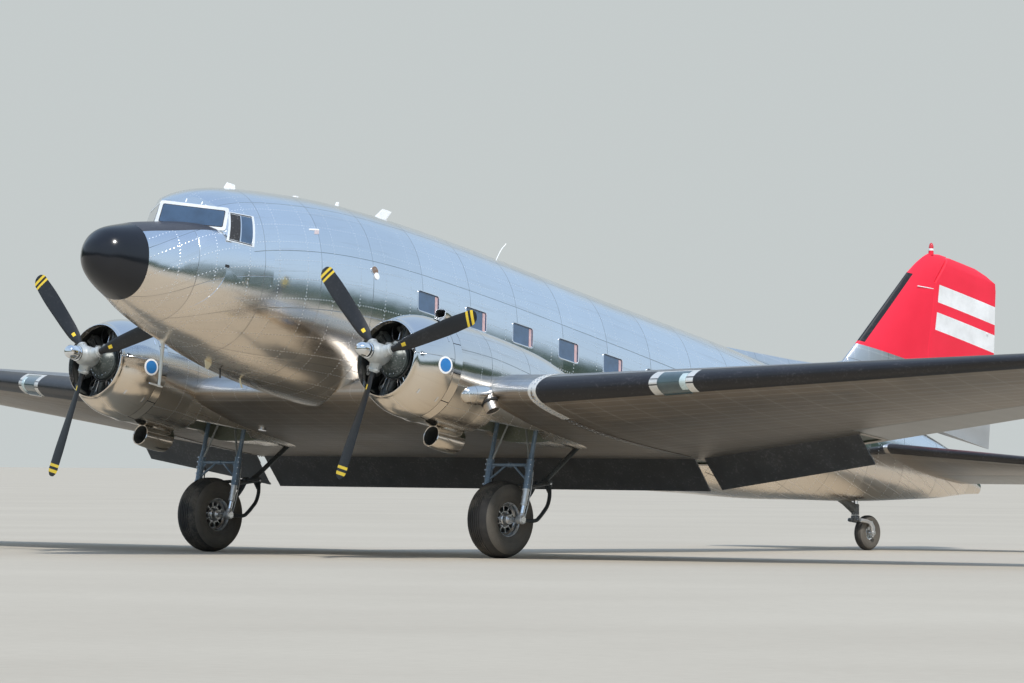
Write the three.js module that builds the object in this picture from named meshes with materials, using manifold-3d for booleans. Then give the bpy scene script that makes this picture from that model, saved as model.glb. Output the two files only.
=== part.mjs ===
// Twin-engined propeller airliner with a tail wheel, parked nose-up on its three wheels.
// All lengths are millimetres. In the airframe's own axes x runs to port, y runs aft from the
// nose datum and z runs up, with the cabin level. The outer group then sets the parked attitude.

import * as THREE from 'three';
import { mergeVertices } from 'three/addons/utils/BufferGeometryUtils.js';
import Module from 'manifold-3d';

const wasm = await Module();
wasm.setup();

// Parked attitude
const GROUND_ANGLE = THREE.MathUtils.degToRad(11.6);
const DATUM_HEIGHT = 4424;
const DATUM_Y = -9841.3;

// Height of an axle in the airframe's axes when its tyre stands on the floor
function floorAxle(y, radius) {
  return (radius - DATUM_HEIGHT + y * Math.sin(GROUND_ANGLE)) / Math.cos(GROUND_ANGLE);
}

// Clearances
const SEAT_GAP = 0.35;
const PIN_GAP = 0.8;
const SHAFT_GAP = 0.6;
const RUN_GAP = 7;
const COVE_GAP = 9;

// Fuselage sections: station, roof, widest level, belly, half width
const FUSELAGE = [
  [1050, 440, -330, -990, 745],
  [1180, 600, -330, -1025, 797],
  [1320, 735, -330, -1062, 848],
  [1500, 850, -330, -1105, 910],
  [1950, 1018, -320, -1190, 1030],
  [2400, 1113, -310, -1280, 1110],
  [3000, 1210, -300, -1370, 1180],
  [3800, 1310, -280, -1425, 1225],
  [5500, 1395, -250, -1440, 1245],
  [8000, 1370, -240, -1435, 1240],
  [9900, 1325, -200, -1385, 1210],
  [11200, 1310, -140, -1250, 1150],
  [12700, 1290, -50, -1020, 1010],
  [14200, 1240, 80, -790, 800],
  [15400, 1190, 200, -560, 620],
  [16400, 1150, 300, -375, 480],
  [17300, 1120, 390, -180, 370],
  [18000, 1060, 450, -15, 285],
  [18700, 960, 480, 155, 200],
  [19300, 790, 530, 330, 115],
  [19650, 580, 500, 410, 50],
];

// Nose sections below the windshield, with the fullness of the upper half
// Columns: station, hood, widest level, belly, half width, fullness
const NOSE = [
  [0, -220, -310, -410, 100, 2.1],
  [60, -110, -320, -530, 215, 2.1],
  [150, -5, -320, -625, 320, 2.1],
  [300, 85, -325, -725, 410, 2.1],
  [500, 160, -330, -810, 495, 2.15],
  [730, 240, -330, -885, 585, 2.25],
  [1050, 325, -330, -990, 745, 2.5],
  [1500, 425, -330, -1105, 910, 3.2],
  [1950, 470, -320, -1190, 1030, 3.4],
  [2400, 500, -310, -1280, 1110, 3.4],
];
const BODY_POWER = 2.15;
const BODY_SIDES = 28;

// Nose cone joint: a slanted plane from the upper edge back to the lower edge
const CONE_TOP = { y: 560, z: 210 };
const CONE_FOOT = { y: 640, z: -800 };

// Windshield panes: centre post foot and head, and the outer corner of the sill
const POST_FOOT = new THREE.Vector3(0, 1110, 330);
const POST_HEAD = new THREE.Vector3(0, 1180, 640);
const PANE_CORNER = new THREE.Vector3(750, 1650, 350);

// Entry door, port side aft, and the entry room behind it
const DOOR = { front: 12150, back: 12900, foot: -800, head: 620, thick: 60 };
const DOOR_HINGE = { x: 1068, y: 12147, radius: 12, heights: [-310, 0], length: 120, leaf: 70 };
const ENTRY = { front: 11800, back: 13100, floor: -800, head: 950, inner: -600, wall: 75 };

// Wing
const CENTRE_HALF = 4270;
const SEMI_SPAN = 14480;
const WING_LE = { y: 4397, z: -1273 };
const WING_CHORD = 4341;
const WING_INCIDENCE = THREE.MathUtils.degToRad(1.7);
const LE_SWEEP = 0.286;
const TE_SWEEP = -0.023;
const DIHEDRAL = 0.12;
const ROOT_THICK = 0.15;
const TIP_THICK = 0.06;
const CAMBER = 0.02;
const CAMBER_PLACE = 0.2;
const TIP_START = 13600;
const TIP_CHORD = 1320;

// Flat-faced pads for the jacks, under the centre wing inboard of the nacelles
const JACK_PAD = { x: 1900, y: 5600, z: -1590, radius: 60, length: 90 };

// Split flaps: hinge line, chord and deployed angle
const FLAP = {
  y: 7990, sweep: 0.0185, chord: 570, taper: 0.0165, barrel: 12, plate: 18, bay: 300, spare: 120,
};
const FLAP_DOWN = THREE.MathUtils.degToRad(45);
const CENTRE_FLAP_END = 4190;
const OUTER_FLAP = { inner: 4360, outer: 7000 };

// Ailerons
const AILERON = { inner: 7100, outer: 13450, hinge: 0.745, pin: 10, spare: 120 };

// Nacelles, cowls, engines and propellers
const THRUST_X = 2820;
const THRUST_Z = -1120;
const FIREWALL = 3790;
// Columns: station, top, widest level, foot, half width, fullness of the lower half
const NACELLE = [
  [3790, -435, -1140, -1845, 700, 2.1],
  [4370, -400, -1120, -1830, 690, 2.3],
  [4900, -400, -1120, -1780, 665, 3],
  [5140, -410, -1120, -1720, 650, 3.6],
  [5930, -480, -1130, -1665, 610, 4.5],
  [6600, -650, -1160, -1590, 540, 4.5],
  [7300, -880, -1230, -1500, 420, 4],
  [7850, -1130, -1290, -1440, 230, 3],
];
// The sides of the wheel opening end at this sloping sill
const SILL = [[4660, -2400], [4660, -1640], [5740, -1562], [5900, -1655], [5900, -2400]];
const COWL = {
  z: -1140, lip: 3030, lipRadius: 515, radius: 705, throat: 490, inner: 640, back: FIREWALL - SEAT_GAP,
};
const PROP_RADIUS = 1753;
const PROP_PLANE = 2895;
const HUB = { front: 2685, back: 3035, radius: 120, shaft: 55 };
const DOME_TIP = 2465;
const BLADE_ANGLES = { left: -47, right: -48 };
// Degrees from the disc, below nought where the leading edge lies ahead of it
const BLADE_PITCH_ROOT = -28;
const BLADE_PITCH_TIP = -6;

// Main gear
const WHEEL_RADIUS = 530;
const WHEEL_WIDTH = 420;
const BEAD = 235;
const AXLE = { y: 5730, z: floorAxle(5730, WHEEL_RADIUS), radius: 42, reach: 430 };
const LEG_X = 370;
const BEAM = { y: 5760, z: -2030 };
const LEG_TOP = { y: 5790, z: -1120 };
const SLEEVE_FOOT = -2318;
const STRUT_TOP = { y: 7130, z: -1447 };
const KNEE = { y: 6460, z: -2150, half: 130 };
const WELL = { front: 4640, back: 6020, half: 430, roof: -1120, floor: -2400 };

// Tail gear, given in the airframe's axes
const TAIL_WHEEL = { radius: 270, width: 150, bead: 105, y: 17058, z: floorAxle(17058, 270), axle: 22 };

// Tail surfaces. Fin sections: height, leading edge, rudder trailing edge, thickness
const FIN = [
  [900, 15100, 19810, 300],
  [1600, 15800, 19725, 290],
  [2120, 16200, 19660, 270],
  [2800, 16700, 19575, 230],
  [3440, 17170, 19460, 160],
  [3640, 17360, 19430, 130],
  [3760, 17500, 19390, 105],
  [3830, 17600, 19120, 80],
  [3880, 17860, 18800, 50],
];
const RUDDER_HINGE = 17820;
const RUDDER_FOOT = 1160;
// Above HORN.low the fin ends on a slanted edge, and the rudder's front edge is a vee that leans
// away from it, so the rudder's corners clear the fin when it turns
const HORN = { low: 3420, lead: 60, slope: 0.62, spare: 10, rudderSlope: 0.69, vee: 0.62 };
const FIN_REACH = 600;
const RUDDER_PIN = 18;
const STAB_LE = { y: 16530, z: 550 };
const STAB_TE = { y: 18990, z: 440 };
const STAB_SWEEP = 0.33;
const STAB_SEMI_SPAN = 4065;
const STAB_TIP = 3450;
const STAB_THICK = 0.115;
const ELEVATOR = { inner: 430, hinge: 18100 };

const ALUMINIUM = { color: 0xc4c8cc, roughness: 0.28, metalness: 0.9 };
const RED_PAINT = { color: 0xd8202f, roughness: 0.4, metalness: 0.0 };
const BLACK_PAINT = { color: 0x16171a, roughness: 0.5, metalness: 0.0 };
const GEAR_BLUE = { color: 0x70808f, roughness: 0.45, metalness: 0.5 };
const DARK_METAL = { color: 0x3a3a3c, roughness: 0.5, metalness: 0.7 };
const RUBBER = { color: 0x1b1b1c, roughness: 0.85, metalness: 0.0 };
const CHROME = { color: 0xd9dde0, roughness: 0.12, metalness: 1.0 };
const WHITE_PAINT = { color: 0xeeeeec, roughness: 0.4, metalness: 0.0 };

// Solid helpers

function toSolid(geometry) {
  const bare = geometry.clone();
  bare.deleteAttribute('normal');
  bare.deleteAttribute('uv');
  const merged = mergeVertices(bare, 1e-3);
  const data = {
    numProp: 3, vertProperties: merged.attributes.position.array, triVerts: merged.index.array,
  };
  return new wasm.Manifold(new wasm.Mesh(data));
}

function toGeometry(solid) {
  const mesh = solid.getMesh();
  const geometry = new THREE.BufferGeometry();
  geometry.setAttribute('position', new THREE.BufferAttribute(new Float32Array(mesh.vertProperties), 3));
  geometry.setIndex(new THREE.BufferAttribute(new Uint32Array(mesh.triVerts), 1));
  geometry.computeVertexNormals();
  return geometry;
}

function placed(geometry, position, rotation = [0, 0, 0]) {
  const matrix = new THREE.Matrix4().makeRotationFromEuler(new THREE.Euler(...rotation));
  matrix.setPosition(...position);
  return toSolid(geometry.applyMatrix4(matrix));
}

function box(low, high) {
  const size = high.map((value, i) => value - low[i]);
  const centre = high.map((value, i) => (value + low[i]) / 2);
  return placed(new THREE.BoxGeometry(...size), centre);
}

function union(solids) {
  return solids.reduce((whole, next) => whole.add(next));
}

// Closed body through rings of points, with a fan at each end
function loft(rings) {
  const count = rings[0].length;
  const points = rings.flat();
  const faces = [];
  for (let ring = 0; ring + 1 < rings.length; ring += 1) {
    for (let i = 0; i < count; i += 1) {
      const a = ring * count + i;
      const b = ring * count + ((i + 1) % count);
      faces.push([a, b, b + count], [a, b + count, a + count]);
    }
  }
  for (const [ring, turned] of [[0, true], [rings.length - 1, false]]) {
    const centre = points.length;
    const sum = rings[ring].reduce((total, point) => total.map((value, i) => value + point[i]), [0, 0, 0]);
    points.push(sum.map((value) => value / count));
    for (let i = 0; i < count; i += 1) {
      const a = ring * count + i;
      const b = ring * count + ((i + 1) % count);
      faces.push(turned ? [b, a, centre] : [a, b, centre]);
    }
  }
  const volume = faces.reduce((total, face) => {
    const [a, b, c] = face.map((index) => new THREE.Vector3(...points[index]));
    return total + a.dot(b.cross(c));
  }, 0);
  const outward = volume > 0 ? faces : faces.map(([a, b, c]) => [a, c, b]);
  const geometry = new THREE.BufferGeometry();
  geometry.setAttribute('position', new THREE.Float32BufferAttribute(points.flat(), 3));
  geometry.setIndex(outward.flat());
  return toSolid(geometry);
}

// Round bar from one point to another
function bar(from, to, radius, sides = 8, endRadius = radius) {
  const start = new THREE.Vector3(...from);
  const axis = new THREE.Vector3(...to).sub(start);
  const geometry = new THREE.CylinderGeometry(endRadius, radius, axis.length(), sides);
  const upright = new THREE.Vector3(0, 1, 0);
  const turn = new THREE.Quaternion().setFromUnitVectors(upright, axis.clone().normalize());
  const matrix = new THREE.Matrix4().makeRotationFromQuaternion(turn);
  matrix.setPosition(start.addScaledVector(axis, 0.5));
  return toSolid(geometry.applyMatrix4(matrix));
}

// Body turned round an axis that lies along x or y, from [radius, place] pairs. The profile runs
// anticlockwise with radius to the right and place upwards, so that its faces point out.
function turned(profile, segments, centre, axis, roll = 0) {
  const area = THREE.ShapeUtils.area(profile.map(([radius, place]) => ({ x: radius, y: place })));
  const ordered = area > 0 ? profile : [...profile].reverse();
  const points = ordered.map(([radius, place]) => new THREE.Vector2(radius, place));
  const geometry = new THREE.LatheGeometry(points, segments);
  return placed(geometry, centre, axis === 'x' ? [roll, 0, -Math.PI / 2] : [0, 0, 0]);
}

// Fuselage and nacelle rings are ellipses with a little extra fullness, in two halves

function roundedRing([y, top, waist, foot, half], grow, sides, powers, centreX = 0) {
  const ring = [];
  for (let i = 0; i < sides; i += 1) {
    const angle = (2 * Math.PI * i) / sides;
    const power = angle < Math.PI ? powers[0] : powers[1];
    const across = Math.sign(Math.cos(angle)) * Math.abs(Math.cos(angle)) ** (2 / power);
    const rise = Math.sign(Math.sin(angle)) * Math.abs(Math.sin(angle)) ** (2 / power);
    const reach = rise > 0 ? top - waist + grow : waist - foot + grow;
    ring.push([centreX + (half + grow) * across, y, waist + reach * rise]);
  }
  return ring;
}

function bodyLoft(table, grow = 0) {
  const rings = table.map((row) => {
    const [upper, lower] = [row[5] ?? BODY_POWER, BODY_POWER];
    return roundedRing(row.slice(0, 5), grow, BODY_SIDES, [upper, lower]);
  });
  return loft(rings);
}

// Everything on the far side of a plane, as a large block whose near face is the plane
function halfSpace(point, normal, size = 6000) {
  const direction = normal.clone().normalize();
  const turn = new THREE.Quaternion().setFromUnitVectors(new THREE.Vector3(0, 0, 1), direction);
  const matrix = new THREE.Matrix4().makeRotationFromQuaternion(turn);
  matrix.setPosition(point.clone().addScaledVector(direction, size / 2));
  return toSolid(new THREE.BoxGeometry(size, size, size).applyMatrix4(matrix));
}

function paneNormal(side) {
  const corner = PANE_CORNER.clone().setX(PANE_CORNER.x * side);
  const along = corner.sub(POST_FOOT);
  const up = POST_HEAD.clone().sub(POST_FOOT);
  const normal = along.cross(up);
  return normal.y < 0 ? normal : normal.negate();
}

// Wing sections

function camberLine(c) {
  const p = CAMBER_PLACE;
  const scale = c < p ? CAMBER / p ** 2 : CAMBER / (1 - p) ** 2;
  return scale * (c < p ? 2 * p * c - c ** 2 : 1 - 2 * p + 2 * p * c - c ** 2);
}

function halfThickness(c, thick) {
  const root = 0.2969 * Math.sqrt(c);
  return 5 * thick * (root - 0.126 * c - 0.3516 * c ** 2 + 0.2843 * c ** 3 - 0.1015 * c ** 4);
}

function sectionPoint(section, c, level) {
  const { x, y, z, chord, incidence } = section;
  const along = chord * c;
  const up = chord * level;
  const cos = Math.cos(incidence);
  const sin = Math.sin(incidence);
  return [x, y + along * cos + up * sin, z + up * cos - along * sin];
}

function sectionRing(section, grow = 0, steps = 11) {
  const extra = grow / section.chord;
  const camber = section.cambered ? camberLine : () => 0;
  const ring = [];
  for (let i = 0; i <= steps; i += 1) {
    const c = (1 + Math.cos((Math.PI * i) / steps)) / 2;
    const stretch = c * (1 + 2 * extra) - extra;
    ring.push(sectionPoint(section, stretch, camber(c) + halfThickness(c, section.thick) + extra));
  }
  for (let i = steps; i >= 0; i -= 1) {
    const c = (1 + Math.cos((Math.PI * i) / steps)) / 2;
    const stretch = c * (1 + 2 * extra) - extra;
    ring.push(sectionPoint(section, stretch, camber(c) - halfThickness(c, section.thick) - extra));
  }
  return ring;
}

function wingSection(x) {
  const out = Math.max(0, Math.abs(x) - CENTRE_HALF);
  const span = SEMI_SPAN - CENTRE_HALF;
  const back = WING_LE.y + WING_CHORD + TE_SWEEP * out;
  const front = WING_LE.y + LE_SWEEP * out;
  const plainChord = back - front;
  const tip = Math.max(0, (Math.abs(x) - TIP_START) / (SEMI_SPAN - TIP_START));
  const round = Math.sqrt(Math.max(0, 1 - tip ** 2));
  const chord = plainChord * Math.max(round, 0.12);
  return {
    x,
    y: front + (plainChord - chord) * 0.55,
    z: WING_LE.z + DIHEDRAL * out,
    chord,
    thick: (ROOT_THICK * WING_CHORD * (1 - out / span) + TIP_THICK * TIP_CHORD * (out / span)) / plainChord,
    incidence: WING_INCIDENCE,
    cambered: true,
  };
}

function wingLoft(stations, grow = 0) {
  return loft(stations.map((x) => sectionRing(wingSection(x), grow)));
}

function stabSection(x) {
  const out = Math.abs(x);
  const front = STAB_LE.y + STAB_SWEEP * out;
  const plainChord = STAB_TE.y - front;
  const tip = Math.max(0, (out - STAB_TIP) / (STAB_SEMI_SPAN - STAB_TIP));
  const chord = plainChord * Math.max(Math.sqrt(Math.max(0, 1 - tip ** 2)), 0.12);
  const incidence = Math.atan((STAB_LE.z - STAB_TE.z) / (STAB_TE.y - STAB_LE.y));
  const y = front + (plainChord - chord) * 0.6;
  const z = STAB_LE.z - (front - STAB_LE.y) * Math.tan(incidence);
  return { x, y, z, chord, thick: STAB_THICK, incidence };
}

// A hinged surface is the back of a section with a round nose about its hinge point

function hingeOf(section, c) {
  const middle = section.cambered ? camberLine(c) : 0;
  const point = sectionPoint(section, c, middle);
  return { point, radius: halfThickness(c, section.thick) * section.chord };
}

function hingedRing(section, c) {
  const { point, radius } = hingeOf(section, c);
  const camber = section.cambered ? camberLine : () => 0;
  const fractions = [1, 0.75, 0.5, 0.25].map((part) => c + (1 - c) * part);
  const upper = fractions.map((f) => sectionPoint(section, f, camber(f) + halfThickness(f, section.thick)));
  const lower = fractions.map((f) => sectionPoint(section, f, camber(f) - halfThickness(f, section.thick)));
  const nose = noseArc(point, radius, 7);
  return [...upper, ...nose, ...lower.reverse()];
}

// Half circle from above the hinge, round its front, to below it
function noseArc([x, y, z], radius, count) {
  const arc = [];
  for (let i = 0; i < count; i += 1) {
    const angle = Math.PI / 2 + (Math.PI * i) / (count - 1);
    arc.push([x, y + radius * Math.cos(angle), z + radius * Math.sin(angle)]);
  }
  return arc;
}

function coveRing(section, c, reach = 260) {
  const { point, radius } = hingeOf(section, c);
  const [x, y, z] = point;
  const back = section.y + section.chord + reach;
  const arc = noseArc(point, radius + COVE_GAP, 13);
  return [[x, back, z + reach], [x, y, z + reach], ...arc, [x, y, z - reach], [x, back, z - reach]];
}

// Pin on the hinge line that leaves an end of a hinged surface
function hingePin(from, to, radius, length, overlap) {
  const start = new THREE.Vector3(...from);
  const direction = start.clone().sub(new THREE.Vector3(...to)).normalize();
  const inside = start.clone().addScaledVector(direction, -overlap);
  const tip = start.clone().addScaledVector(direction, length);
  return bar(inside.toArray(), tip.toArray(), radius, 12);
}

// Slab between two planes that stand square to a hinge line at its ends, each moved out by a gap
function slabBetween(from, to, gap = 0) {
  const [start, end] = [new THREE.Vector3(...from), new THREE.Vector3(...to)];
  const along = end.clone().sub(start).normalize();
  const reach = 16000;
  const beyondStart = halfSpace(start.addScaledVector(along, -gap), along, reach);
  const beforeEnd = halfSpace(end.addScaledVector(along, gap), along.clone().negate(), reach);
  return beyondStart.intersect(beforeEnd);
}

// Aileron on one side, with the space it turns in and the holes for its pins
function buildAileron(side) {
  const { inner, outer, hinge, pin, spare } = AILERON;
  const ends = [inner, outer].map((x) => hingeOf(wingSection(side * x), hinge).point);
  const sections = [inner - spare, outer + spare].map((x) => wingSection(side * x));
  const body = loft(sections.map((section) => hingedRing(section, hinge))).intersect(slabBetween(...ends));
  const coveLoft = loft(sections.map((section) => coveRing(section, hinge)));
  const cove = coveLoft.intersect(slabBetween(...ends, RUN_GAP));
  const pins = [ends, [...ends].reverse()];
  const moving = union([body, ...pins.map(([a, b]) => hingePin(a, b, pin, 45, 40))]);
  const space = union([cove, ...pins.map(([a, b]) => hingePin(a, b, pin + PIN_GAP, 48, 40))]);
  return { moving, space };
}

// Flaps: a thin plate behind a hinge barrel that lies in the wing's lower skin

function flapHinge(x) {
  const section = wingSection(x);
  const out = Math.max(0, Math.abs(x) - CENTRE_HALF);
  const y = FLAP.y + FLAP.sweep * out;
  const c = (y - section.y) / section.chord;
  const skin = sectionPoint(section, c, camberLine(c) - halfThickness(c, section.thick));
  const chord = FLAP.chord - FLAP.taper * out;
  const end = (y + chord - section.y) / section.chord;
  const skinEnd = sectionPoint(section, end, camberLine(end) - halfThickness(end, section.thick));
  const rise = Math.atan2(skinEnd[2] - skin[2], skinEnd[1] - skin[1]);
  return { centre: [x, skin[1], skin[2] + FLAP.barrel], chord, rise };
}

function flapRing(x, down) {
  const { centre, chord, rise } = flapHinge(x);
  const angle = rise - down;
  const along = [Math.cos(angle), Math.sin(angle)];
  const up = [-Math.sin(angle), Math.cos(angle)];
  const at = (forward, level) => [
    x,
    centre[1] + along[0] * forward + up[0] * level,
    centre[2] + along[1] * forward + up[1] * level,
  ];
  const top = FLAP.plate - FLAP.barrel;
  const root = FLAP.barrel / 2;
  const foot = -FLAP.barrel;
  return [at(0, -root), at(2 * FLAP.barrel, foot), at(chord, foot), at(chord, top), at(0, top)];
}

// The rings lie a little past the two ends, on the straight line through the ends' hinge centres
function alongSpan(x0, x1, ringAt) {
  const [first, last] = [ringAt(x0), ringAt(x1)];
  const extra = FLAP.spare / Math.abs(x1 - x0);
  const past = (near, far) => near.map((point, i) => (
    point.map((value, k) => value + (value - far[i][k]) * extra)
  ));
  return loft([past(first, last), past(last, first)]);
}

function flap(x0, x1) {
  const plate = alongSpan(x0, x1, (x) => flapRing(x, FLAP_DOWN));
  const ends = [flapHinge(x0).centre, flapHinge(x1).centre];
  return plate.intersect(slabBetween(...ends)).add(bar(...ends, FLAP.barrel, 12));
}

function flapBay(x0, x1) {
  const margin = FLAP.barrel + PIN_GAP;
  const ringAt = (x) => {
    const { centre, chord, rise } = flapHinge(x);
    const [, y, z] = centre;
    const back = chord + RUN_GAP + 2;
    const far = [
      y + back * Math.cos(rise) - margin * Math.sin(rise),
      z + back * Math.sin(rise) + margin * Math.cos(rise),
    ];
    const arc = noseArc(centre, margin, 7);
    return [[x, ...far], ...arc, [x, y, z - FLAP.bay], [x, far[0], z - FLAP.bay]];
  };
  const ends = [flapHinge(x0).centre, flapHinge(x1).centre];
  return alongSpan(x0, x1, ringAt).intersect(slabBetween(...ends, RUN_GAP));
}

// Upright tail sections are symmetric about the plane x = 0

function finSection([z, front, back, thick], c) {
  const shape = halfThickness(Math.min(Math.max(c, 0), 1), 0.5) / halfThickness(0.3, 0.5);
  return [(thick / 2) * shape, front + (back - front) * c, z];
}

function finRing(row, steps = 9) {
  const ring = [];
  for (let i = 0; i <= steps; i += 1) {
    ring.push(finSection(row, (1 + Math.cos((Math.PI * i) / steps)) / 2));
  }
  const far = ring.map(([x, y, z]) => [-x, y, z]).reverse();
  return [...ring, ...far];
}

function finRow(z) {
  const index = Math.min(FIN.findIndex((row) => row[0] >= z) || 1, FIN.length - 1);
  const [low, high] = [FIN[index - 1], FIN[index]];
  const part = (z - low[0]) / (high[0] - low[0]);
  return low.map((value, i) => value + (high[i] - value) * part);
}

function rudderNose(row) {
  const [z, front, back] = row;
  const c = (RUDDER_HINGE - front) / (back - front);
  return { radius: finSection(row, c)[0], z };
}

function rudderRing(row) {
  const [z, front, back] = row;
  const { radius } = rudderNose(row);
  const c = (RUDDER_HINGE - front) / (back - front);
  const side = [1, 0.7, 0.4, 0.15].map((part) => finSection(row, c + (1 - c) * part));
  return [...side, ...rudderArc(radius, z, 7), ...side.map(([x, y, h]) => [-x, y, h]).reverse()];
}

// Half circle about the rudder's hinge line, from port round its front to starboard
function rudderArc(radius, z, count) {
  const arc = [];
  for (let i = 0; i < count; i += 1) {
    const angle = (Math.PI * i) / (count - 1);
    arc.push([radius * Math.cos(angle), RUDDER_HINGE - radius * Math.sin(angle), z]);
  }
  return arc;
}

// Fuselage with its entry room, doorway and the seats of the wing and tail

function buildFuselage() {
  const panes = [1, -1].map((side) => halfSpace(POST_FOOT, paneNormal(side)));
  const cabin = panes.reduce((solid, pane) => solid.subtract(pane), bodyLoft(FUSELAGE));
  const coneBack = conePlane(SEAT_GAP);
  const nose = bodyLoft(NOSE).subtract(coneBack);
  const room = bodyLoft(FUSELAGE, -ENTRY.wall);
  const entry = box([ENTRY.inner, ENTRY.front, ENTRY.floor], [1500, ENTRY.back, ENTRY.head]).intersect(room);
  const doorway = box(
    [500, DOOR.front - RUN_GAP, DOOR.foot - RUN_GAP],
    [1500, DOOR.back + RUN_GAP, DOOR.head + RUN_GAP],
  );
  return cabin.add(nose).subtract(entry).subtract(doorway);
}

// Space ahead of the nose cone's slanted back edge, with a gap on the fuselage's side
function conePlane(gap) {
  const slope = new THREE.Vector3(0, CONE_FOOT.z - CONE_TOP.z, CONE_TOP.y - CONE_FOOT.y);
  const forward = slope.y < 0 ? slope : slope.negate();
  const point = new THREE.Vector3(0, CONE_TOP.y + gap, CONE_TOP.z);
  return halfSpace(point, forward);
}

function buildDoor() {
  const panel = box([500, DOOR.front, DOOR.foot], [1500, DOOR.back, DOOR.head]);
  const outer = bodyLoft(FUSELAGE);
  const inner = bodyLoft(FUSELAGE, -DOOR.thick);
  const skin = panel.intersect(outer).subtract(inner);
  const { x, y, radius, heights, length, leaf } = DOOR_HINGE;
  const leaves = heights.map((z) => (
    box([x - leaf, DOOR.front, z], [x + radius / 2, DOOR.front + 25, z + length])
  ));
  return union([skin, ...leaves, ...doorBarrels(0)]);
}

// The two hinge barrels on the door's front edge
function doorBarrels(grow) {
  const { x, y, radius, heights, length } = DOOR_HINGE;
  return heights.map((z) => bar([x, y, z - 3 * grow], [x, y, z + length + 3 * grow], radius + grow, 12));
}

// Nacelle, cowl and engine on one side

function nacelleLoft(centreX, grow = 0) {
  return loft(NACELLE.map((row) => roundedRing(row.slice(0, 5), grow, 32, [2.1, row[5]], centreX)));
}

function wheelWell(centreX) {
  return box(
    [centreX - WELL.half, WELL.front, WELL.floor],
    [centreX + WELL.half, WELL.back, WELL.roof],
  );
}

function buildNacelle(side, wing) {
  const centreX = side * THRUST_X;
  const intake = bar([centreX, 3950, -345], [centreX, 4330, -480], 95, 12, 55);
  const sill = loft([-800, 800].map((out) => SILL.map(([y, z]) => [centreX + out, y, z])));
  const body = nacelleLoft(centreX).add(intake).subtract(wing);
  return body.subtract(wheelWell(centreX)).subtract(sill);
}

function buildCowl(side) {
  const { lip, lipRadius, radius, throat, inner, back } = COWL;
  const profile = [
    [inner, back], [inner, lip + 260], [throat + 90, lip + 130], [throat, lip + 60], [lipRadius, lip],
    [lipRadius + 28, lip + 8], [590, lip + 75], [645, lip + 190], [685, lip + 370],
    [radius, lip + 600], [radius, back], [inner, back],
  ];
  return turned(profile, 32, [side * THRUST_X, 0, COWL.z], 'y');
}

const CYLINDER = { foot: 180, head: 600, radius: 82 };

function buildEngine(side) {
  const centre = [side * THRUST_X, 0, THRUST_Z];
  const crankcase = turned(
    [[0, HUB.back + 12], [105, HUB.back + 12], [150, 3090], [235, 3190], [250, 3260], [250, 3640],
      [420, 3680], [420, FIREWALL - SEAT_GAP], [0, FIREWALL - SEAT_GAP]],
    20, centre, 'y',
  );
  const parts = [crankcase];
  const rows = [{ y: 3370, turn: 0 }, { y: 3560, turn: Math.PI / 7 }];
  for (const row of rows) {
    for (let i = 0; i < 7; i += 1) {
      const angle = row.turn + (2 * Math.PI * i) / 7;
      const at = (radius) => [
        centre[0] + radius * Math.sin(angle), row.y, centre[2] + radius * Math.cos(angle),
      ];
      parts.push(bar(at(CYLINDER.foot), at(CYLINDER.head), CYLINDER.radius, 8));
    }
  }
  parts.push(bar([centre[0], HUB.front + 120, centre[2]], [centre[0], 3100, centre[2]], HUB.shaft, 32));
  return union(parts);
}

function buildOilCooler(side, nacelle) {
  const x = side * THRUST_X;
  const outer = bar([x, 4125, -1972], [x, 4640, -1955], 148, 16, 172);
  const duct = bar([x, 4095, -1973], [x, 4690, -1953], 124, 16, 142);
  const pylon = box([x - 125, 4230, -1950], [x + 125, 4600, -1700]);
  return outer.add(pylon).subtract(duct).subtract(nacelle);
}

function buildExhaust(side, carriers) {
  const x = (out) => side * (THRUST_X + out);
  const shroud = bar([x(622), 4000, -1425], [x(640), 4640, -1308], 140, 14, 122);
  const stub = bar([x(650), 4360, -1310], [x(798), 4415, -1566], 98, 16);
  const bore = bar([x(706), 4381, -1407], [x(816), 4422, -1597], 86, 16);
  return carriers.reduce((solid, carrier) => solid.subtract(carrier), shroud.add(stub).subtract(bore));
}

// Propeller: three twisted blades on one hub, and its dome

function bladeRing(radius, chord, thick, pitch) {
  // Shares of the chord and of the thickness
  const profile = [
    [-0.5, 0], [-0.3, 0.42], [0, 0.5], [0.3, 0.3], [0.5, 0], [0.3, -0.22], [0, -0.3], [-0.3, -0.25],
  ];
  const angle = THREE.MathUtils.degToRad(pitch);
  return profile.map(([along, level]) => {
    const a = along * chord;
    const b = level * thick;
    return [a * Math.cos(angle) - b * Math.sin(angle), -a * Math.sin(angle) - b * Math.cos(angle), radius];
  });
}

function buildBlade(centre, turn) {
  // Columns: radius, chord, thickness
  const table = [
    [90, 90, 90], [260, 100, 88], [420, 152, 60], [700, 198, 40], [1050, 222, 27],
    [1400, 232, 18], [1620, 218, 12], [1710, 165, 8], [PROP_RADIUS, 60, 5],
  ];
  const rings = table.map(([radius, chord, thick]) => {
    const part = radius / PROP_RADIUS;
    return bladeRing(radius, chord, thick, BLADE_PITCH_ROOT + (BLADE_PITCH_TIP - BLADE_PITCH_ROOT) * part);
  });
  const angle = THREE.MathUtils.degToRad(turn);
  const placedRings = rings.map((ring) => ring.map(([t, y, r]) => [
    centre[0] + r * Math.sin(angle) + t * Math.cos(angle),
    centre[1] + y,
    centre[2] + r * Math.cos(angle) - t * Math.sin(angle),
  ]));
  return loft(placedRings);
}

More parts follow.
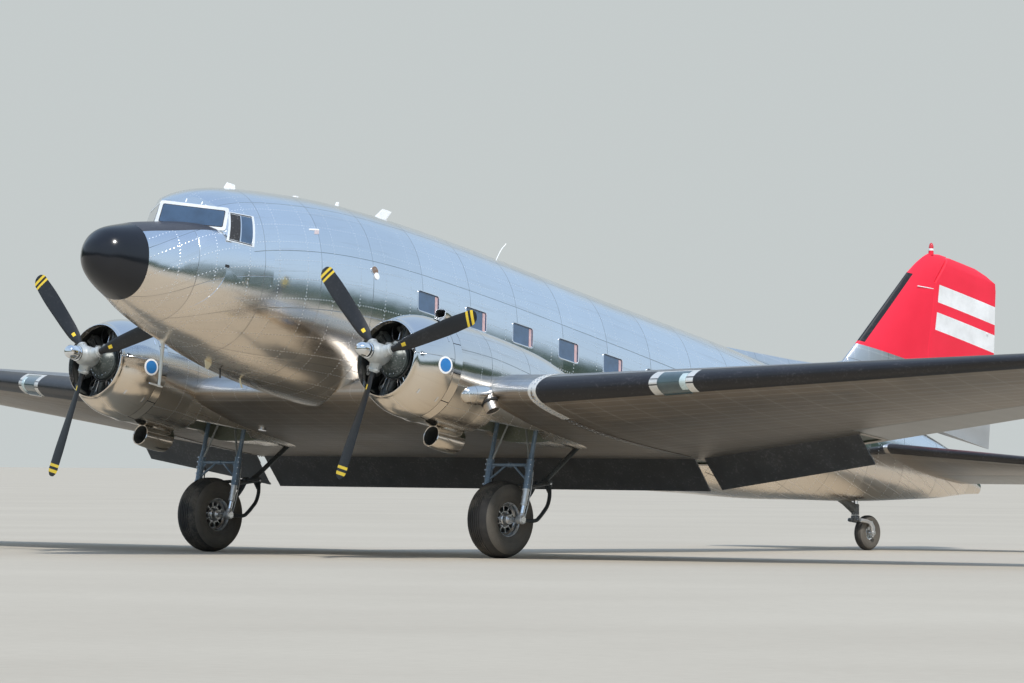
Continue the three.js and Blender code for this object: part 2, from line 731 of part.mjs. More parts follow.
function buildPropeller(side, firstAngle) {
  const x = side * THRUST_X;
  const centre = [x, PROP_PLANE, THRUST_Z];
  const hub = turned(
    [[0, HUB.front], [95, HUB.front], [HUB.radius, HUB.front + 60], [HUB.radius + 30, PROP_PLANE - 60],
      [HUB.radius + 30, PROP_PLANE + 60], [HUB.radius, HUB.back - 40], [95, HUB.back], [0, HUB.back]],
    16, [x, 0, THRUST_Z], 'y',
  );
  const blades = [0, 120, 240].map((turn) => buildBlade(centre, firstAngle + turn));
  const bore = bar([x, HUB.front + 100, THRUST_Z], [x, HUB.back + 50, THRUST_Z], HUB.shaft + SHAFT_GAP, 32);
  return union([hub, ...blades]).subtract(bore);
}

function buildDome(side) {
  const back = HUB.front - SEAT_GAP;
  return turned(
    [[0, DOME_TIP], [45, DOME_TIP + 12], [80, DOME_TIP + 50], [95, DOME_TIP + 110], [95, back], [0, back]],
    16, [side * THRUST_X, 0, THRUST_Z], 'y',
  );
}

// Main gear on one side

function buildTruss(side) {
  const x = (out) => side * THRUST_X + out;
  const top = LEG_TOP.z - SEAT_GAP;
  const parts = [
    bar([x(-LEG_X), BEAM.y, BEAM.z], [x(LEG_X), BEAM.y, BEAM.z], 24),
    bar([x(-LEG_X), LEG_TOP.y, LEG_TOP.z - 60], [x(LEG_X), LEG_TOP.y, LEG_TOP.z - 60], 40),
  ];
  for (const out of [-1, 1]) {
    const leg = x(out * LEG_X);
    parts.push(bar([leg, BEAM.y, BEAM.z], [leg, LEG_TOP.y, LEG_TOP.z - 30], 33));
    parts.push(bar([leg, BEAM.y, SLEEVE_FOOT], [leg, BEAM.y, BEAM.z + 80], 53));
    const bracket = x(out * 300);
    parts.push(box([bracket - 45, LEG_TOP.y - 60, LEG_TOP.z - 90], [bracket + 45, LEG_TOP.y + 60, top]));
    parts.push(bar([x(out * 70), LEG_TOP.y, LEG_TOP.z - 60], [x(out * 340), BEAM.y, BEAM.z + 70], 16, 8));
    parts.push(bar([x(out * 335), BEAM.y, BEAM.z + 70], [leg, BEAM.y, BEAM.z + 70], 16, 8));
    parts.push(bar([x(out * (LEG_X - 20)), BEAM.y, -2245], [x(out * 60), BEAM.y, BEAM.z], 16, 8));
  }
  return union(parts);
}

function buildOleo(side) {
  const x = (out) => side * THRUST_X + out;
  const foot = SLEEVE_FOOT - SEAT_GAP;
  const parts = [bar([x(-AXLE.reach), AXLE.y, AXLE.z], [x(AXLE.reach), AXLE.y, AXLE.z], AXLE.radius, 24)];
  for (const out of [-1, 1]) {
    const leg = x(out * LEG_X);
    const middle = { y: 5748, z: -2596 };
    parts.push(bar([leg, BEAM.y, foot], [leg, BEAM.y, foot - 40], 52));
    parts.push(bar([leg, BEAM.y, foot - 20], [leg, middle.y, middle.z], 45));
    parts.push(bar([leg, middle.y, middle.z + 20], [leg, AXLE.y, AXLE.z], 33));
    parts.push(bar([leg - 48, AXLE.y, AXLE.z], [leg + 48, AXLE.y, AXLE.z], 62, 12));
  }
  return union(parts);
}

function buildDragStrut(side, carriers) {
  const x = (out) => side * THRUST_X + out;
  const parts = [
    bar([x(0), STRUT_TOP.y, STRUT_TOP.z], [x(0), KNEE.y, KNEE.z], 36),
    bar([x(-KNEE.half - 20), KNEE.y, KNEE.z], [x(KNEE.half + 20), KNEE.y, KNEE.z], 30),
  ];
  // Each yoke arm, as distances out from the wheel's middle with y and z
  const arm = [
    [KNEE.half, KNEE.y, KNEE.z], [200, 6429, -2353], [290, 6255, -2584], [350, 6044, -2749],
    [LEG_X, AXLE.y + 71, AXLE.z + 3],
  ];
  for (const out of [-1, 1]) {
    const path = arm.map(([away, y, z]) => [x(out * away), y, z]);
    for (let i = 0; i + 1 < path.length; i += 1) {
      parts.push(bar(path[i], path[i + 1], 28, 6));
    }
    parts.push(bar(path[0], [x(out * LEG_X), BEAM.y + 60, -2330], 26, 6));
  }
  const strut = union(parts);
  return carriers.reduce((solid, carrier) => solid.subtract(carrier), strut);
}

function tyreProfile(radius, width, bead) {
  const half = width / 2;
  return [
    [bead, -half * 0.62], [radius * 0.62, -half * 0.97], [radius * 0.76, -half], [radius * 0.9, -half * 0.8],
    [radius, -half * 0.25], [radius, half * 0.25], [radius * 0.9, half * 0.8], [radius * 0.76, half],
    [radius * 0.62, half * 0.97], [bead, half * 0.62], [bead, -half * 0.62],
  ];
}

function buildTyre(centre, radius, width, bead, sides, roll) {
  return turned(tyreProfile(radius, width, bead), sides, centre, 'x', roll);
}

function buildRim(centre, bead, width, bore, sides, roll) {
  const rim = bead - SEAT_GAP;
  const edge = width * 0.31;
  return turned(
    [[bore, -edge], [rim * 0.4, -edge], [rim * 0.55, -edge * 0.5], [rim * 0.85, -edge * 0.5],
      [rim, -edge], [rim, edge], [rim * 0.85, edge * 0.5], [rim * 0.55, edge * 0.5],
      [rim * 0.4, edge], [bore, edge], [bore, -edge]],
    sides, centre, 'x', roll,
  );
}

// Assembly

const airframe = new THREE.Group();
airframe.rotation.x = -GROUND_ANGLE;
airframe.position.set(0, DATUM_Y, DATUM_HEIGHT);

function addPart(name, solid, look) {
  const mesh = new THREE.Mesh(toGeometry(solid), new THREE.MeshStandardMaterial(look));
  mesh.name = name;
  airframe.add(mesh);
}

const wingStations = [CENTRE_HALF + SEAT_GAP, TIP_START, 14000, 14250, 14400, SEMI_SPAN];
const SIDES = [['left', 1], ['right', -1]];
const wingCentreGrown = wingLoft([-CENTRE_HALF - 1, CENTRE_HALF + 1], SEAT_GAP);
const bodyGrown = bodyLoft(FUSELAGE, SEAT_GAP);

// Fuselage group
const flapCentreBay = flapBay(-CENTRE_FLAP_END, CENTRE_FLAP_END);
const torqueTube = (side, radius, reach) => {
  const { point } = hingeOf(stabSection(ELEVATOR.inner), elevatorFraction(stabSection(ELEVATOR.inner)));
  const [, y, z] = point;
  return bar([side * (ELEVATOR.inner + 30), y, z], [side * reach, y, z], radius, 14);
};
let fuselage = buildFuselage().subtract(wingCentreGrown).subtract(flapCentreBay);
fuselage = fuselage.subtract(rudderPin(PIN_GAP));
for (const [, side] of SIDES) {
  fuselage = fuselage.subtract(torqueTube(side, 22 + PIN_GAP, 100));
}
for (const barrel of doorBarrels(PIN_GAP)) {
  fuselage = fuselage.subtract(barrel);
}
addPart('fuselage', fuselage, ALUMINIUM);
addPart('nose_cone', bodyLoft(NOSE.slice(0, 7)).intersect(conePlane(0)), BLACK_PAINT);
addPart('door_entry', buildDoor(), ALUMINIUM);

// Fin and rudder
// Dorsal fillet, as station, foot, top and half width
const DORSAL = [
  [12800, 1180, 1290, 60],
  [14650, 1080, 1470, 130],
  [15400, 1000, 1560, 140],
  [15900, 900, 1730, 140],
];
const TAIL_END = 20200;
const FIN_TOP = 4000;
const FIN_AHEAD = 17000;

function dorsalRing([y, foot, top, half]) {
  const shoulder = top - 40;
  return [
    [half, y, foot], [half * 0.35, y, shoulder], [0, y, top], [-half * 0.35, y, shoulder], [-half, y, foot],
  ];
}

function finEdge(z) {
  return RUDDER_HINGE - HORN.lead + (z - HORN.low) * HORN.slope;
}

function rudderEdge(z) {
  return RUDDER_HINGE - HORN.lead + HORN.spare + (z - HORN.low) * HORN.rudderSlope;
}

function buildFin() {
  const solid = loft(FIN.map((row) => finRing(row))).add(loft(DORSAL.map(dorsalRing)));
  const coveRows = [850, 1600, 2120, 2800, HORN.low].map((z) => finRow(z));
  const cove = loft(coveRows.map((row) => {
    const { radius, z } = rudderNose(row);
    return [[FIN_REACH, TAIL_END, z], ...rudderArc(radius + COVE_GAP, z, 13), [-FIN_REACH, TAIL_END, z]];
  }));
  const hornCut = loft([HORN.low - 2, FIN_TOP].map((z) => {
    const front = finEdge(z);
    return [
      [FIN_REACH, front, z], [FIN_REACH, TAIL_END, z], [-FIN_REACH, TAIL_END, z], [-FIN_REACH, front, z],
    ];
  }));
  return solid.subtract(cove).subtract(hornCut);
}

function rudderPin(grow) {
  return bar([0, RUDDER_HINGE, 960 - 60 * grow], [0, RUDDER_HINGE, RUDDER_FOOT + 30], RUDDER_PIN + grow, 14);
}

function buildRudder() {
  const heights = [RUDDER_FOOT, 1600, 2120, 2800, 3440, 3640, 3760, 3830, 3875];
  const body = loft(heights.map((z) => rudderRing(finRow(z))));
  const ahead = loft([HORN.low - 20, FIN_TOP].map((z) => {
    const edge = rudderEdge(z);
    const side = edge + FIN_REACH * HORN.vee;
    return [
      [FIN_REACH, FIN_AHEAD, z], [FIN_REACH, side, z], [0, edge, z], [-FIN_REACH, side, z],
      [-FIN_REACH, FIN_AHEAD, z],
    ];
  }));
  return body.subtract(ahead).add(rudderPin(0));
}

addPart('fin', buildFin().subtract(bodyGrown), RED_PAINT);
addPart('rudder', buildRudder(), RED_PAINT);

// Tailplanes and elevators
function elevatorFraction(section) {
  return (ELEVATOR.hinge - section.y) / (section.chord * Math.cos(section.incidence));
}

for (const [name, side] of SIDES) {
  const stations = [100, 1800, STAB_TIP, 3750, 3930, 4030, STAB_SEMI_SPAN].map((x) => stabSection(side * x));
  const cove = loft([ELEVATOR.inner - RUN_GAP, 1800, STAB_TIP, 4200].map((x) => {
    const section = stabSection(side * Math.min(x, STAB_TIP));
    section.x = side * x;
    return coveRing(section, elevatorFraction(section));
  }));
  const full = loft(stations.map((section) => sectionRing(section)));
  const tube = torqueTube(side, 22 + PIN_GAP, 120);
  addPart(`tailplane_${name}`, full.subtract(cove).subtract(bodyGrown).subtract(tube), ALUMINIUM);
  const moving = [ELEVATOR.inner, 1800, STAB_TIP, 3750, 3900].map((x) => stabSection(side * x));
  const body = loft(moving.map((section) => hingedRing(section, elevatorFraction(section))));
  addPart(`elevator_${name}`, body.add(torqueTube(side, 22, 130)), ALUMINIUM);
}

// Wings, flaps and ailerons
const gearWells = SIDES.map(([, side]) => wheelWell(side * THRUST_X));
let wingCentre = wingLoft([-CENTRE_HALF, CENTRE_HALF]).subtract(flapCentreBay);
for (const well of gearWells) {
  wingCentre = wingCentre.subtract(well);
}
for (const [, side] of SIDES) {
  const { x, y, z, radius, length } = JACK_PAD;
  wingCentre = wingCentre.add(bar([side * x, y, z + length], [side * x, y, z], radius, 20));
}
addPart('wing_centre', wingCentre, ALUMINIUM);
addPart('flap_centre', flap(-CENTRE_FLAP_END, CENTRE_FLAP_END), ALUMINIUM);

for (const [name, side] of SIDES) {
  const aileron = buildAileron(side);
  const bay = flapBay(side * OUTER_FLAP.inner, side * OUTER_FLAP.outer);
  const wing = wingLoft(wingStations.map((x) => side * x)).subtract(aileron.space).subtract(bay);
  addPart(`wing_${name}`, wing, ALUMINIUM);
  addPart(`aileron_${name}`, aileron.moving, ALUMINIUM);
  addPart(`flap_${name}`, flap(side * OUTER_FLAP.inner, side * OUTER_FLAP.outer), ALUMINIUM);
}

// Engines and main gear
for (const [name, side] of SIDES) {
  const centreX = side * THRUST_X;
  const nacelleGrown = nacelleLoft(centreX, SEAT_GAP);
  addPart(`nacelle_${name}`, buildNacelle(side, wingCentreGrown).subtract(flapCentreBay), ALUMINIUM);
  addPart(`cowl_${name}`, buildCowl(side), ALUMINIUM);
  addPart(`engine_${name}`, buildEngine(side), DARK_METAL);
  addPart(`oil_cooler_${name}`, buildOilCooler(side, nacelleGrown), ALUMINIUM);
  addPart(`exhaust_${name}`, buildExhaust(side, [nacelleGrown, wingCentreGrown]), DARK_METAL);
  addPart(`propeller_${name}`, buildPropeller(side, BLADE_ANGLES[name]), BLACK_PAINT);
  addPart(`propeller_dome_${name}`, buildDome(side), CHROME);
  addPart(`gear_truss_${name}`, buildTruss(side), GEAR_BLUE);
  addPart(`gear_oleo_${name}`, buildOleo(side), GEAR_BLUE);
  addPart(`drag_strut_${name}`, buildDragStrut(side, [nacelleGrown, wingCentreGrown]), GEAR_BLUE);
  const hub = [centreX, AXLE.y, AXLE.z];
  const rimBore = AXLE.radius + PIN_GAP;
  addPart(`tyre_${name}`, buildTyre(hub, WHEEL_RADIUS, WHEEL_WIDTH, BEAD, 28, GROUND_ANGLE), RUBBER);
  addPart(`wheel_rim_${name}`, buildRim(hub, BEAD, WHEEL_WIDTH, rimBore, 28, GROUND_ANGLE), CHROME);
}

// Tail gear, built level with the ground and then turned into the airframe's axes
const tailGear = new THREE.Group();
tailGear.position.set(0, TAIL_WHEEL.y, TAIL_WHEEL.z);
tailGear.rotation.x = GROUND_ANGLE;
airframe.add(tailGear);

const SPINDLE_Y = -300;
const SPINDLE = { top: 440, collar: 270, radius: 38 };

function buildTailStrut() {
  const housing = bar([0, SPINDLE_Y, SPINDLE.collar + 8], [0, SPINDLE_Y, SPINDLE.top], 62, 14);
  const arm = bar([0, SPINDLE_Y, 370], [0, SPINDLE_Y - 480, 580], 55, 10, 85);
  const shock = bar([0, SPINDLE_Y + 10, 400], [0, SPINDLE_Y - 20, 640], 48, 12);
  const { collar, radius } = SPINDLE;
  const pin = bar([0, SPINDLE_Y, collar - 60], [0, SPINDLE_Y, collar + 20], radius, 20);
  return union([housing, arm, shock, pin]);
}

function buildTailFork() {
  const foot = SPINDLE.collar - 95;
  const crown = bar([0, SPINDLE_Y, foot], [0, SPINDLE_Y, SPINDLE.collar], 66, 16);
  const socket = [[0, SPINDLE_Y, SPINDLE.collar - 63], [0, SPINDLE_Y, SPINDLE.collar + 10]];
  const bore = bar(...socket, SPINDLE.radius + PIN_GAP, 20);
  const parts = [crown, bar([-112, SPINDLE_Y - 15, foot + 25], [112, SPINDLE_Y - 15, foot + 25], 30, 10)];
  for (const side of [-1, 1]) {
    parts.push(bar([side * 112, SPINDLE_Y - 15, foot + 25], [side * 112, -70, 150], 30, 10));
    parts.push(bar([side * 112, -70, 150], [side * 112, 0, 0], 30, 10, 24));
    parts.push(bar([side * 90, 0, 0], [side * 135, 0, 0], 40, 12));
  }
  parts.push(bar([-120, 0, 0], [120, 0, 0], TAIL_WHEEL.axle, 16));
  return union(parts).subtract(bore);
}

function addTail(name, solid, look) {
  const mesh = new THREE.Mesh(toGeometry(solid), new THREE.MeshStandardMaterial(look));
  mesh.name = name;
  tailGear.add(mesh);
}

const toTail = new THREE.Matrix4().makeRotationX(-GROUND_ANGLE);
toTail.multiply(new THREE.Matrix4().makeTranslation(0, -TAIL_WHEEL.y, -TAIL_WHEEL.z));
const bodyAtTail = toSolid(toGeometry(bodyGrown).applyMatrix4(toTail));
addTail('tail_strut', buildTailStrut().subtract(bodyAtTail), GEAR_BLUE);
addTail('tail_fork', buildTailFork(), GEAR_BLUE);
const { radius: tailRadius, width: tailWidth, bead: tailBead } = TAIL_WHEEL;
const tailBore = TAIL_WHEEL.axle + PIN_GAP;
addTail('tail_tyre', buildTyre([0, 0, 0], tailRadius, tailWidth, tailBead, 20, 0), RUBBER);
addTail('tail_rim', buildRim([0, 0, 0], tailBead, tailWidth, tailBore, 20, 0), CHROME);

// Roof antennas, fin beacon and the air-speed mast under the nose
const BLADE_HALF = 14;

function blade(y, foot, height, length, rake) {
  const outline = [
    [y - length / 2, foot],
    [y + length / 2, foot],
    [y + length / 2 + rake, foot + height],
    [y - length / 4 + rake, foot + height],
  ];
  return loft([-BLADE_HALF, BLADE_HALF].map((x) => outline.map(([a, b]) => [x, a, b])));
}

addPart('antenna_front', blade(2390, 1050, 140, 170, 0).subtract(bodyGrown), WHITE_PAINT);
addPart('antenna_rear', blade(5300, 1320, 250, 250, 175).subtract(bodyGrown), WHITE_PAINT);
const finGrown = loft(FIN.map(([z, front, back, thick]) => (
  finRing([z, front - SEAT_GAP, back + SEAT_GAP, thick + 2 * SEAT_GAP])
)));
addPart('beacon', bar([0, 17700, 3780], [0, 17660, 4030], 45, 12, 30).subtract(finGrown), RED_PAINT);
const MAST = { x: -300, top: [1875, -1000], foot: [1944, -1771] };
const MAST_TUBE = { level: -1757, front: 1754, back: 2004 };
const mast = bar([MAST.x, ...MAST.top], [MAST.x, ...MAST.foot], 30, 10, 22);
const { level, front, back } = MAST_TUBE;
const tube = bar([MAST.x, front, level], [MAST.x, back, level], 14, 8);
addPart('airspeed_mast', mast.add(tube).subtract(bodyGrown), CHROME);

const airliner = new THREE.Group();
airliner.add(airframe);

export default airliner;
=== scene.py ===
"""Looks for the propeller airliner. Lengths are millimetres in the airframe's own axes, with x to
port, y aft from the nose datum and z up, unless a name or a comment says otherwise."""
import math

import bmesh
import bpy
import numpy as np
from mathutils import Matrix, Vector


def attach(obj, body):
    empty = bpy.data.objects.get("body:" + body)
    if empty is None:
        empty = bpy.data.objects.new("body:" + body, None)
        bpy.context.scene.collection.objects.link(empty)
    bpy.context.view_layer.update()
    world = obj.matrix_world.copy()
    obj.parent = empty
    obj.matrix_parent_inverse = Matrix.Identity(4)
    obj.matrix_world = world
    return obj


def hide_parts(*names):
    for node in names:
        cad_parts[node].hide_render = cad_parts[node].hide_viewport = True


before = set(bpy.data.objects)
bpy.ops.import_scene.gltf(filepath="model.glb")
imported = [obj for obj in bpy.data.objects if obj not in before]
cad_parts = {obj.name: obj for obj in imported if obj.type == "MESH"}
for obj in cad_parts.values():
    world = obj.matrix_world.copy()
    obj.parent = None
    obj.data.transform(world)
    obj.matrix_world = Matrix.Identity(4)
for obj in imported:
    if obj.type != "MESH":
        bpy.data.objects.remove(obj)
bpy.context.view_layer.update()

# Parked attitude

GROUND_ANGLE = math.radians(11.6)
DATUM_Y = -9841.3
DATUM_HEIGHT = 4424.0
COS, SIN = math.cos(GROUND_ANGLE), math.sin(GROUND_ANGLE)


def to_ground(points):
    """Airframe millimetres to metres on the floor."""
    p = np.atleast_2d(np.asarray(points, float))
    y = p[:, 1] * COS + p[:, 2] * SIN + DATUM_Y
    z = -p[:, 1] * SIN + p[:, 2] * COS + DATUM_HEIGHT
    return np.stack([p[:, 0], y, z], 1) / 1000


def ground_point(point):
    return Vector(to_ground([point])[0])


def floor_axle(y, radius):
    return (radius - DATUM_HEIGHT + y * SIN) / COS


# Camera. Angles are degrees, the focal length is in pixels of a picture of the given width, and
# the place is in metres with its second value from the nose datum
CAMERA = {"azimuth": 42.293, "pitch": 1.191, "roll": 0.477, "focal": 5838.8, "width": 1024,
          "place": (56.742, -54.02, 1.305)}
FILM_WIDTH = 36
FAR_CLIP = 2000


def add_camera():
    azimuth, pitch, roll = (math.radians(CAMERA[name]) for name in ("azimuth", "pitch", "roll"))
    forward = Vector((
        -math.sin(azimuth) * math.cos(pitch), math.cos(azimuth) * math.cos(pitch), math.sin(pitch)
    ))
    right = Vector((math.cos(azimuth), math.sin(azimuth), 0))
    up = right.cross(forward)
    r = right * math.cos(roll) + up * math.sin(roll)
    u = up * math.cos(roll) - right * math.sin(roll)
    data = bpy.data.cameras.new("camera")
    data.sensor_width = FILM_WIDTH
    data.lens = CAMERA["focal"] / CAMERA["width"] * FILM_WIDTH
    data.clip_end = FAR_CLIP
    camera = bpy.data.objects.new("camera", data)
    bpy.context.scene.collection.objects.link(camera)
    rotation = Matrix((r, u, -forward)).transposed().to_4x4()
    x, y, z = CAMERA["place"]
    camera.matrix_world = Matrix.Translation((x, y + DATUM_Y / 1000, z)) @ rotation
    bpy.context.scene.camera = camera


add_camera()


# Materials

class Nodes:
    """Short calls that add and link shader nodes."""

    def __init__(self, name):
        self.material = bpy.data.materials.new(name)
        self.material.use_nodes = True
        self.tree = self.material.node_tree
        self.shader = self.tree.nodes["Principled BSDF"]

    def set(self, socket, value):
        if hasattr(value, "is_output"):
            self.tree.links.new(value, socket)
        elif isinstance(value, tuple) and len(value) == 3 and socket.type == "RGBA":
            socket.default_value = (*value, 1)
        else:
            socket.default_value = value

    def add(self, kind, inputs=(), output=0, **options):
        node = self.tree.nodes.new(kind)
        for key, value in options.items():
            setattr(node, key, value)
        pairs = inputs.items() if isinstance(inputs, dict) else enumerate(inputs)
        for key, value in pairs:
            self.set(node.inputs[key], value)
        return node.outputs[output]

    def math(self, operation, *values):
        return self.add("ShaderNodeMath", values, operation=operation)

    def plus(self, a, b):
        return self.math("ADD", a, b)

    def minus(self, a, b):
        return self.math("SUBTRACT", a, b)

    def times(self, a, b):
        return self.math("MULTIPLY", a, b)

    def mix(self, factor, a, b):
        return self.add(
            "ShaderNodeMix", {0: factor, 6: a, 7: b}, output=2, data_type="RGBA", clamp_factor=True
        )

    def ramp(self, value, low, high, start=0.0, end=1.0):
        return self.add(
            "ShaderNodeMapRange", {0: value, 1: low, 2: high, 3: start, 4: end}, clamp=True
        )

    def noise(self, vector, scale, detail=3.0, rough=0.55):
        return self.add(
            "ShaderNodeTexNoise", {"Vector": vector, "Scale": scale, "Detail": detail, "Roughness": rough}
        )

    def place(self):
        return self.add("ShaderNodeTexCoord", output=3)

    def parts(self, vector):
        """The three parts of a vector."""
        node = self.tree.nodes.new("ShaderNodeSeparateXYZ")
        self.set(node.inputs[0], vector)
        return node.outputs[0], node.outputs[1], node.outputs[2]

    def facing(self):
        """1 on faces that look up and -1 on those that look down."""
        return self.parts(self.add("ShaderNodeNewGeometry", output=1))[2]

    def stretch(self, vector, scale):
        return self.add("ShaderNodeMapping", {"Vector": vector, "Scale": scale})

    def bump(self, height, distance, strength=1.0, normal=None):
        inputs = {"Height": height, "Distance": distance, "Strength": strength}
        if normal is not None:
            inputs["Normal"] = normal
        return self.add("ShaderNodeBump", inputs)

    def finish(self, **values):
        for key, value in values.items():
            self.set(self.shader.inputs[key.replace("_", " ")], value)
        return self.material


# Heights of the normal over which faces that look down turn to a painted ground reflection and shade
GROUND_REFLECTION_EDGE = (0.06, -0.16)


def seam_distance(n, value, pitch, offset=0.0):
    """Distance in metres from the nearest of a row of lines."""
    shifted = n.plus(n.math("DIVIDE", value, pitch), 0.5 - offset / pitch)
    return n.times(n.math("ABSOLUTE", n.minus(n.math("FRACT", shifted), 0.5)), pitch)


def rivet_row(n, across, along, spacing, size):
    """1 on the heads of a row of rivets: across is the distance from the row's line."""
    step = n.minus(n.math("FRACT", n.math("DIVIDE", along, spacing)), 0.5)
    run = n.times(step, spacing)
    reach = n.math("SQRT", n.plus(n.times(run, run), n.times(across, across)))
    return n.ramp(reach, size, size * 0.5)


def sheet_metal(
    name, tint, ground_reflection, frames, stringers, rough=0.2, stain=0.25, sheet=(2, 3), spacing=0.03, size=0.008,
    top_shade=0.0
):
    """Bare riveted sheet: painted ground reflection and shade where it faces down, painted shade where it
    faces up.

    Frames and stringers are the pitch of the rivet rows in metres, along the body and round it. A
    sheet is that many frames long and stringers wide. The UV map is in metres."""
    n = Nodes(name)
    facing = n.facing()
    # Where a face looks down, the tint gives way to a painted brown ground reflection and shade
    below = n.ramp(facing, *GROUND_REFLECTION_EDGE)
    light = n.mix(below, tint, ground_reflection)
    dark = n.mix(below, tuple(c * 0.86 for c in tint), tuple(c * 0.8 for c in ground_reflection))
    uv = n.add("ShaderNodeUVMap", uv_map="metres")
    u, v, _ = n.parts(uv)
    du = seam_distance(n, u, frames)
    dv = seam_distance(n, v, stringers)
    rivets = n.math("MAXIMUM", rivet_row(n, du, v, spacing, size), rivet_row(n, dv, u, spacing, size))
    seam_u = seam_distance(n, u, frames * sheet[0], frames * 0.5)
    seam_v = seam_distance(n, v, stringers * sheet[1], stringers * 0.5)
    seam = n.ramp(n.math("MINIMUM", seam_u, seam_v), 0.006, 0.002)
    place = n.place()
    cell_u = n.math("FLOOR", n.math("DIVIDE", n.minus(u, frames * 0.5), frames * sheet[0]))
    cell_v = n.math("FLOOR", n.math("DIVIDE", n.minus(v, stringers * 0.5), stringers * sheet[1]))
    cell = n.add("ShaderNodeCombineXYZ", (cell_u, cell_v, 0.0))
    panel = n.add("ShaderNodeTexWhiteNoise", {"Vector": cell}, noise_dimensions="3D")
    grain = n.noise(n.stretch(uv, (3.0, 60.0, 1.0)), 6.0, 4.0, 0.6)
    patches = n.noise(place, 1.3, 5.0, 0.6)
    streaks = n.noise(n.stretch(uv, (0.5, 9.0, 1.0)), 1.4, 4.0, 0.65)
    shade = n.plus(n.times(panel, 0.10), n.times(patches, 0.16))
    base = n.mix(n.ramp(shade, 0.02, 0.24), dark, light)
    dirt = n.times(n.ramp(streaks, 0.55, 0.8), stain)
    base = n.mix(dirt, base, (0.33, 0.27, 0.21))
    # Faces that look up are darkened towards grey: painted shade that dims their highlights
    above = n.times(n.ramp(facing, 0.80, 0.96), top_shade)
    base = n.mix(above, base, (0.15, 0.16, 0.17))
    base = n.mix(n.times(seam, 0.55), base, (0.20, 0.20, 0.20))
    # Rivet heads are painted near white: painted glints
    base = n.mix(n.times(rivets, 0.6), base, (1.0, 1.0, 1.0))
    roughness = n.plus(n.times(patches, 0.14), n.times(panel, 0.08))
    roughness = n.plus(roughness, n.plus(n.times(dirt, 0.5), rough - 0.11))
    roughness = n.plus(roughness, n.times(rivets, 0.3))
    roughness = n.plus(roughness, n.times(below, 0.06))
    height = n.minus(n.times(rivets, 1.0), n.times(seam, 1.2))
    soft = n.noise(n.stretch(uv, (1.0, 1.0, 1.0)), 2.2, 2.0, 0.4)
    normal = n.bump(soft, 0.012, 0.35)
    normal = n.bump(n.times(panel, n.noise(place, 1.1, 1.0)), 0.02, 0.3, normal)
    normal = n.bump(grain, 0.0004, 0.4, normal)
    normal = n.bump(height, 0.0013, 0.8, normal)
    return n.finish(Base_Color=base, Metallic=1.0, Roughness=roughness, Normal=normal)


def paint(
    name, colour, rough=0.35, metal=0.0, wear=0.1, scale=3.0, bump=0.0006, worn=(0.55, 0.55, 0.56),
    spread=0.18
):
    """Painted or plain surface with slight unevenness of shade, wear and gloss."""
    n = Nodes(name)
    place = n.place()
    broad = n.noise(place, scale, 5.0, 0.6)
    fine = n.noise(place, scale * 14, 4.0, 0.6)
    base = n.mix(
        n.ramp(broad, 0.3, 0.7), tuple(c * (1 - spread) for c in colour),
        tuple(min(1.0, c * 1.1) for c in colour)
    )
    chips = n.times(n.ramp(n.plus(fine, n.times(broad, 0.4)), 0.78, 0.86), wear)
    base = n.mix(chips, base, worn)
    roughness = n.plus(n.times(broad, 0.2), rough - 0.1)
    return n.finish(
        Base_Color=base, Metallic=metal, Roughness=roughness, Normal=n.bump(fine, bump, 0.5)
    )


def glass_material(name, colour):
    """Dark glossy glass with faint smears."""
    n = Nodes(name)
    smear = n.noise(n.place(), 5.0, 4.0)
    base = n.mix(n.ramp(smear, 0.35, 0.75), colour, tuple(c * 1.5 for c in colour))
    roughness = n.plus(n.times(smear, 0.08), 0.04)
    return n.finish(
        Base_Color=base, Roughness=roughness, IOR=1.6, Coat_Weight=1.0, Coat_Roughness=0.03,
        Normal=n.bump(smear, 0.002, 0.1)
    )


SKY_TINT = (0.80, 0.84, 0.88)
WARM_TINT = (0.80, 0.79, 0.77)
BODY_METAL = sheet_metal(
    "body_metal", SKY_TINT, (0.88, 0.78, 0.67), 0.5, 0.27, rough=0.16, spacing=0.05, size=0.010
)
WING_METAL = sheet_metal(
    "wing_metal", (0.58, 0.59, 0.60), (0.41, 0.35, 0.29), 0.45, 0.17, rough=0.40, stain=0.4, top_shade=0.55
)
TAIL_METAL = sheet_metal(
    "tail_metal", (0.68, 0.70, 0.72), (0.50, 0.44, 0.38), 0.4, 0.3, rough=0.34, stain=0.2, top_shade=0.55
)
NACELLE_METAL = sheet_metal(
    "nacelle_metal", WARM_TINT, (0.80, 0.71, 0.60), 0.42, 0.33, rough=0.17, stain=0.5, spacing=0.035
)
COWL_METAL = sheet_metal(
    "cowl_metal", WARM_TINT, (0.90, 0.79, 0.66), 5.0, 2.0, rough=0.13, stain=0.2, sheet=(1, 1)
)
ANTI_GLARE = paint(
    "deck_paint", (0.045, 0.047, 0.058), rough=0.4, wear=0.12, scale=2.0, worn=(0.2, 0.2, 0.22)
)
WINDOW_GLASS = glass_material("window_glass", (0.035, 0.07, 0.13))
BLACK = paint("black_paint", (0.010, 0.011, 0.015), rough=0.17, wear=0.0)
MATT_BLACK = paint("matt_black", (0.02, 0.02, 0.022), rough=0.6, wear=0.15)
BOOT_RUBBER = paint(
    "boot_rubber", (0.013, 0.012, 0.014), rough=0.36, wear=0.25, scale=2.0, worn=(0.12, 0.11, 0.12)
)
RED = paint("red_paint", (1.0, 0.022, 0.058), rough=0.33, wear=0.0, scale=1.5, spread=0.07)
WHITE = paint("white_paint", (0.96, 0.96, 0.95), rough=0.35, wear=0.03)
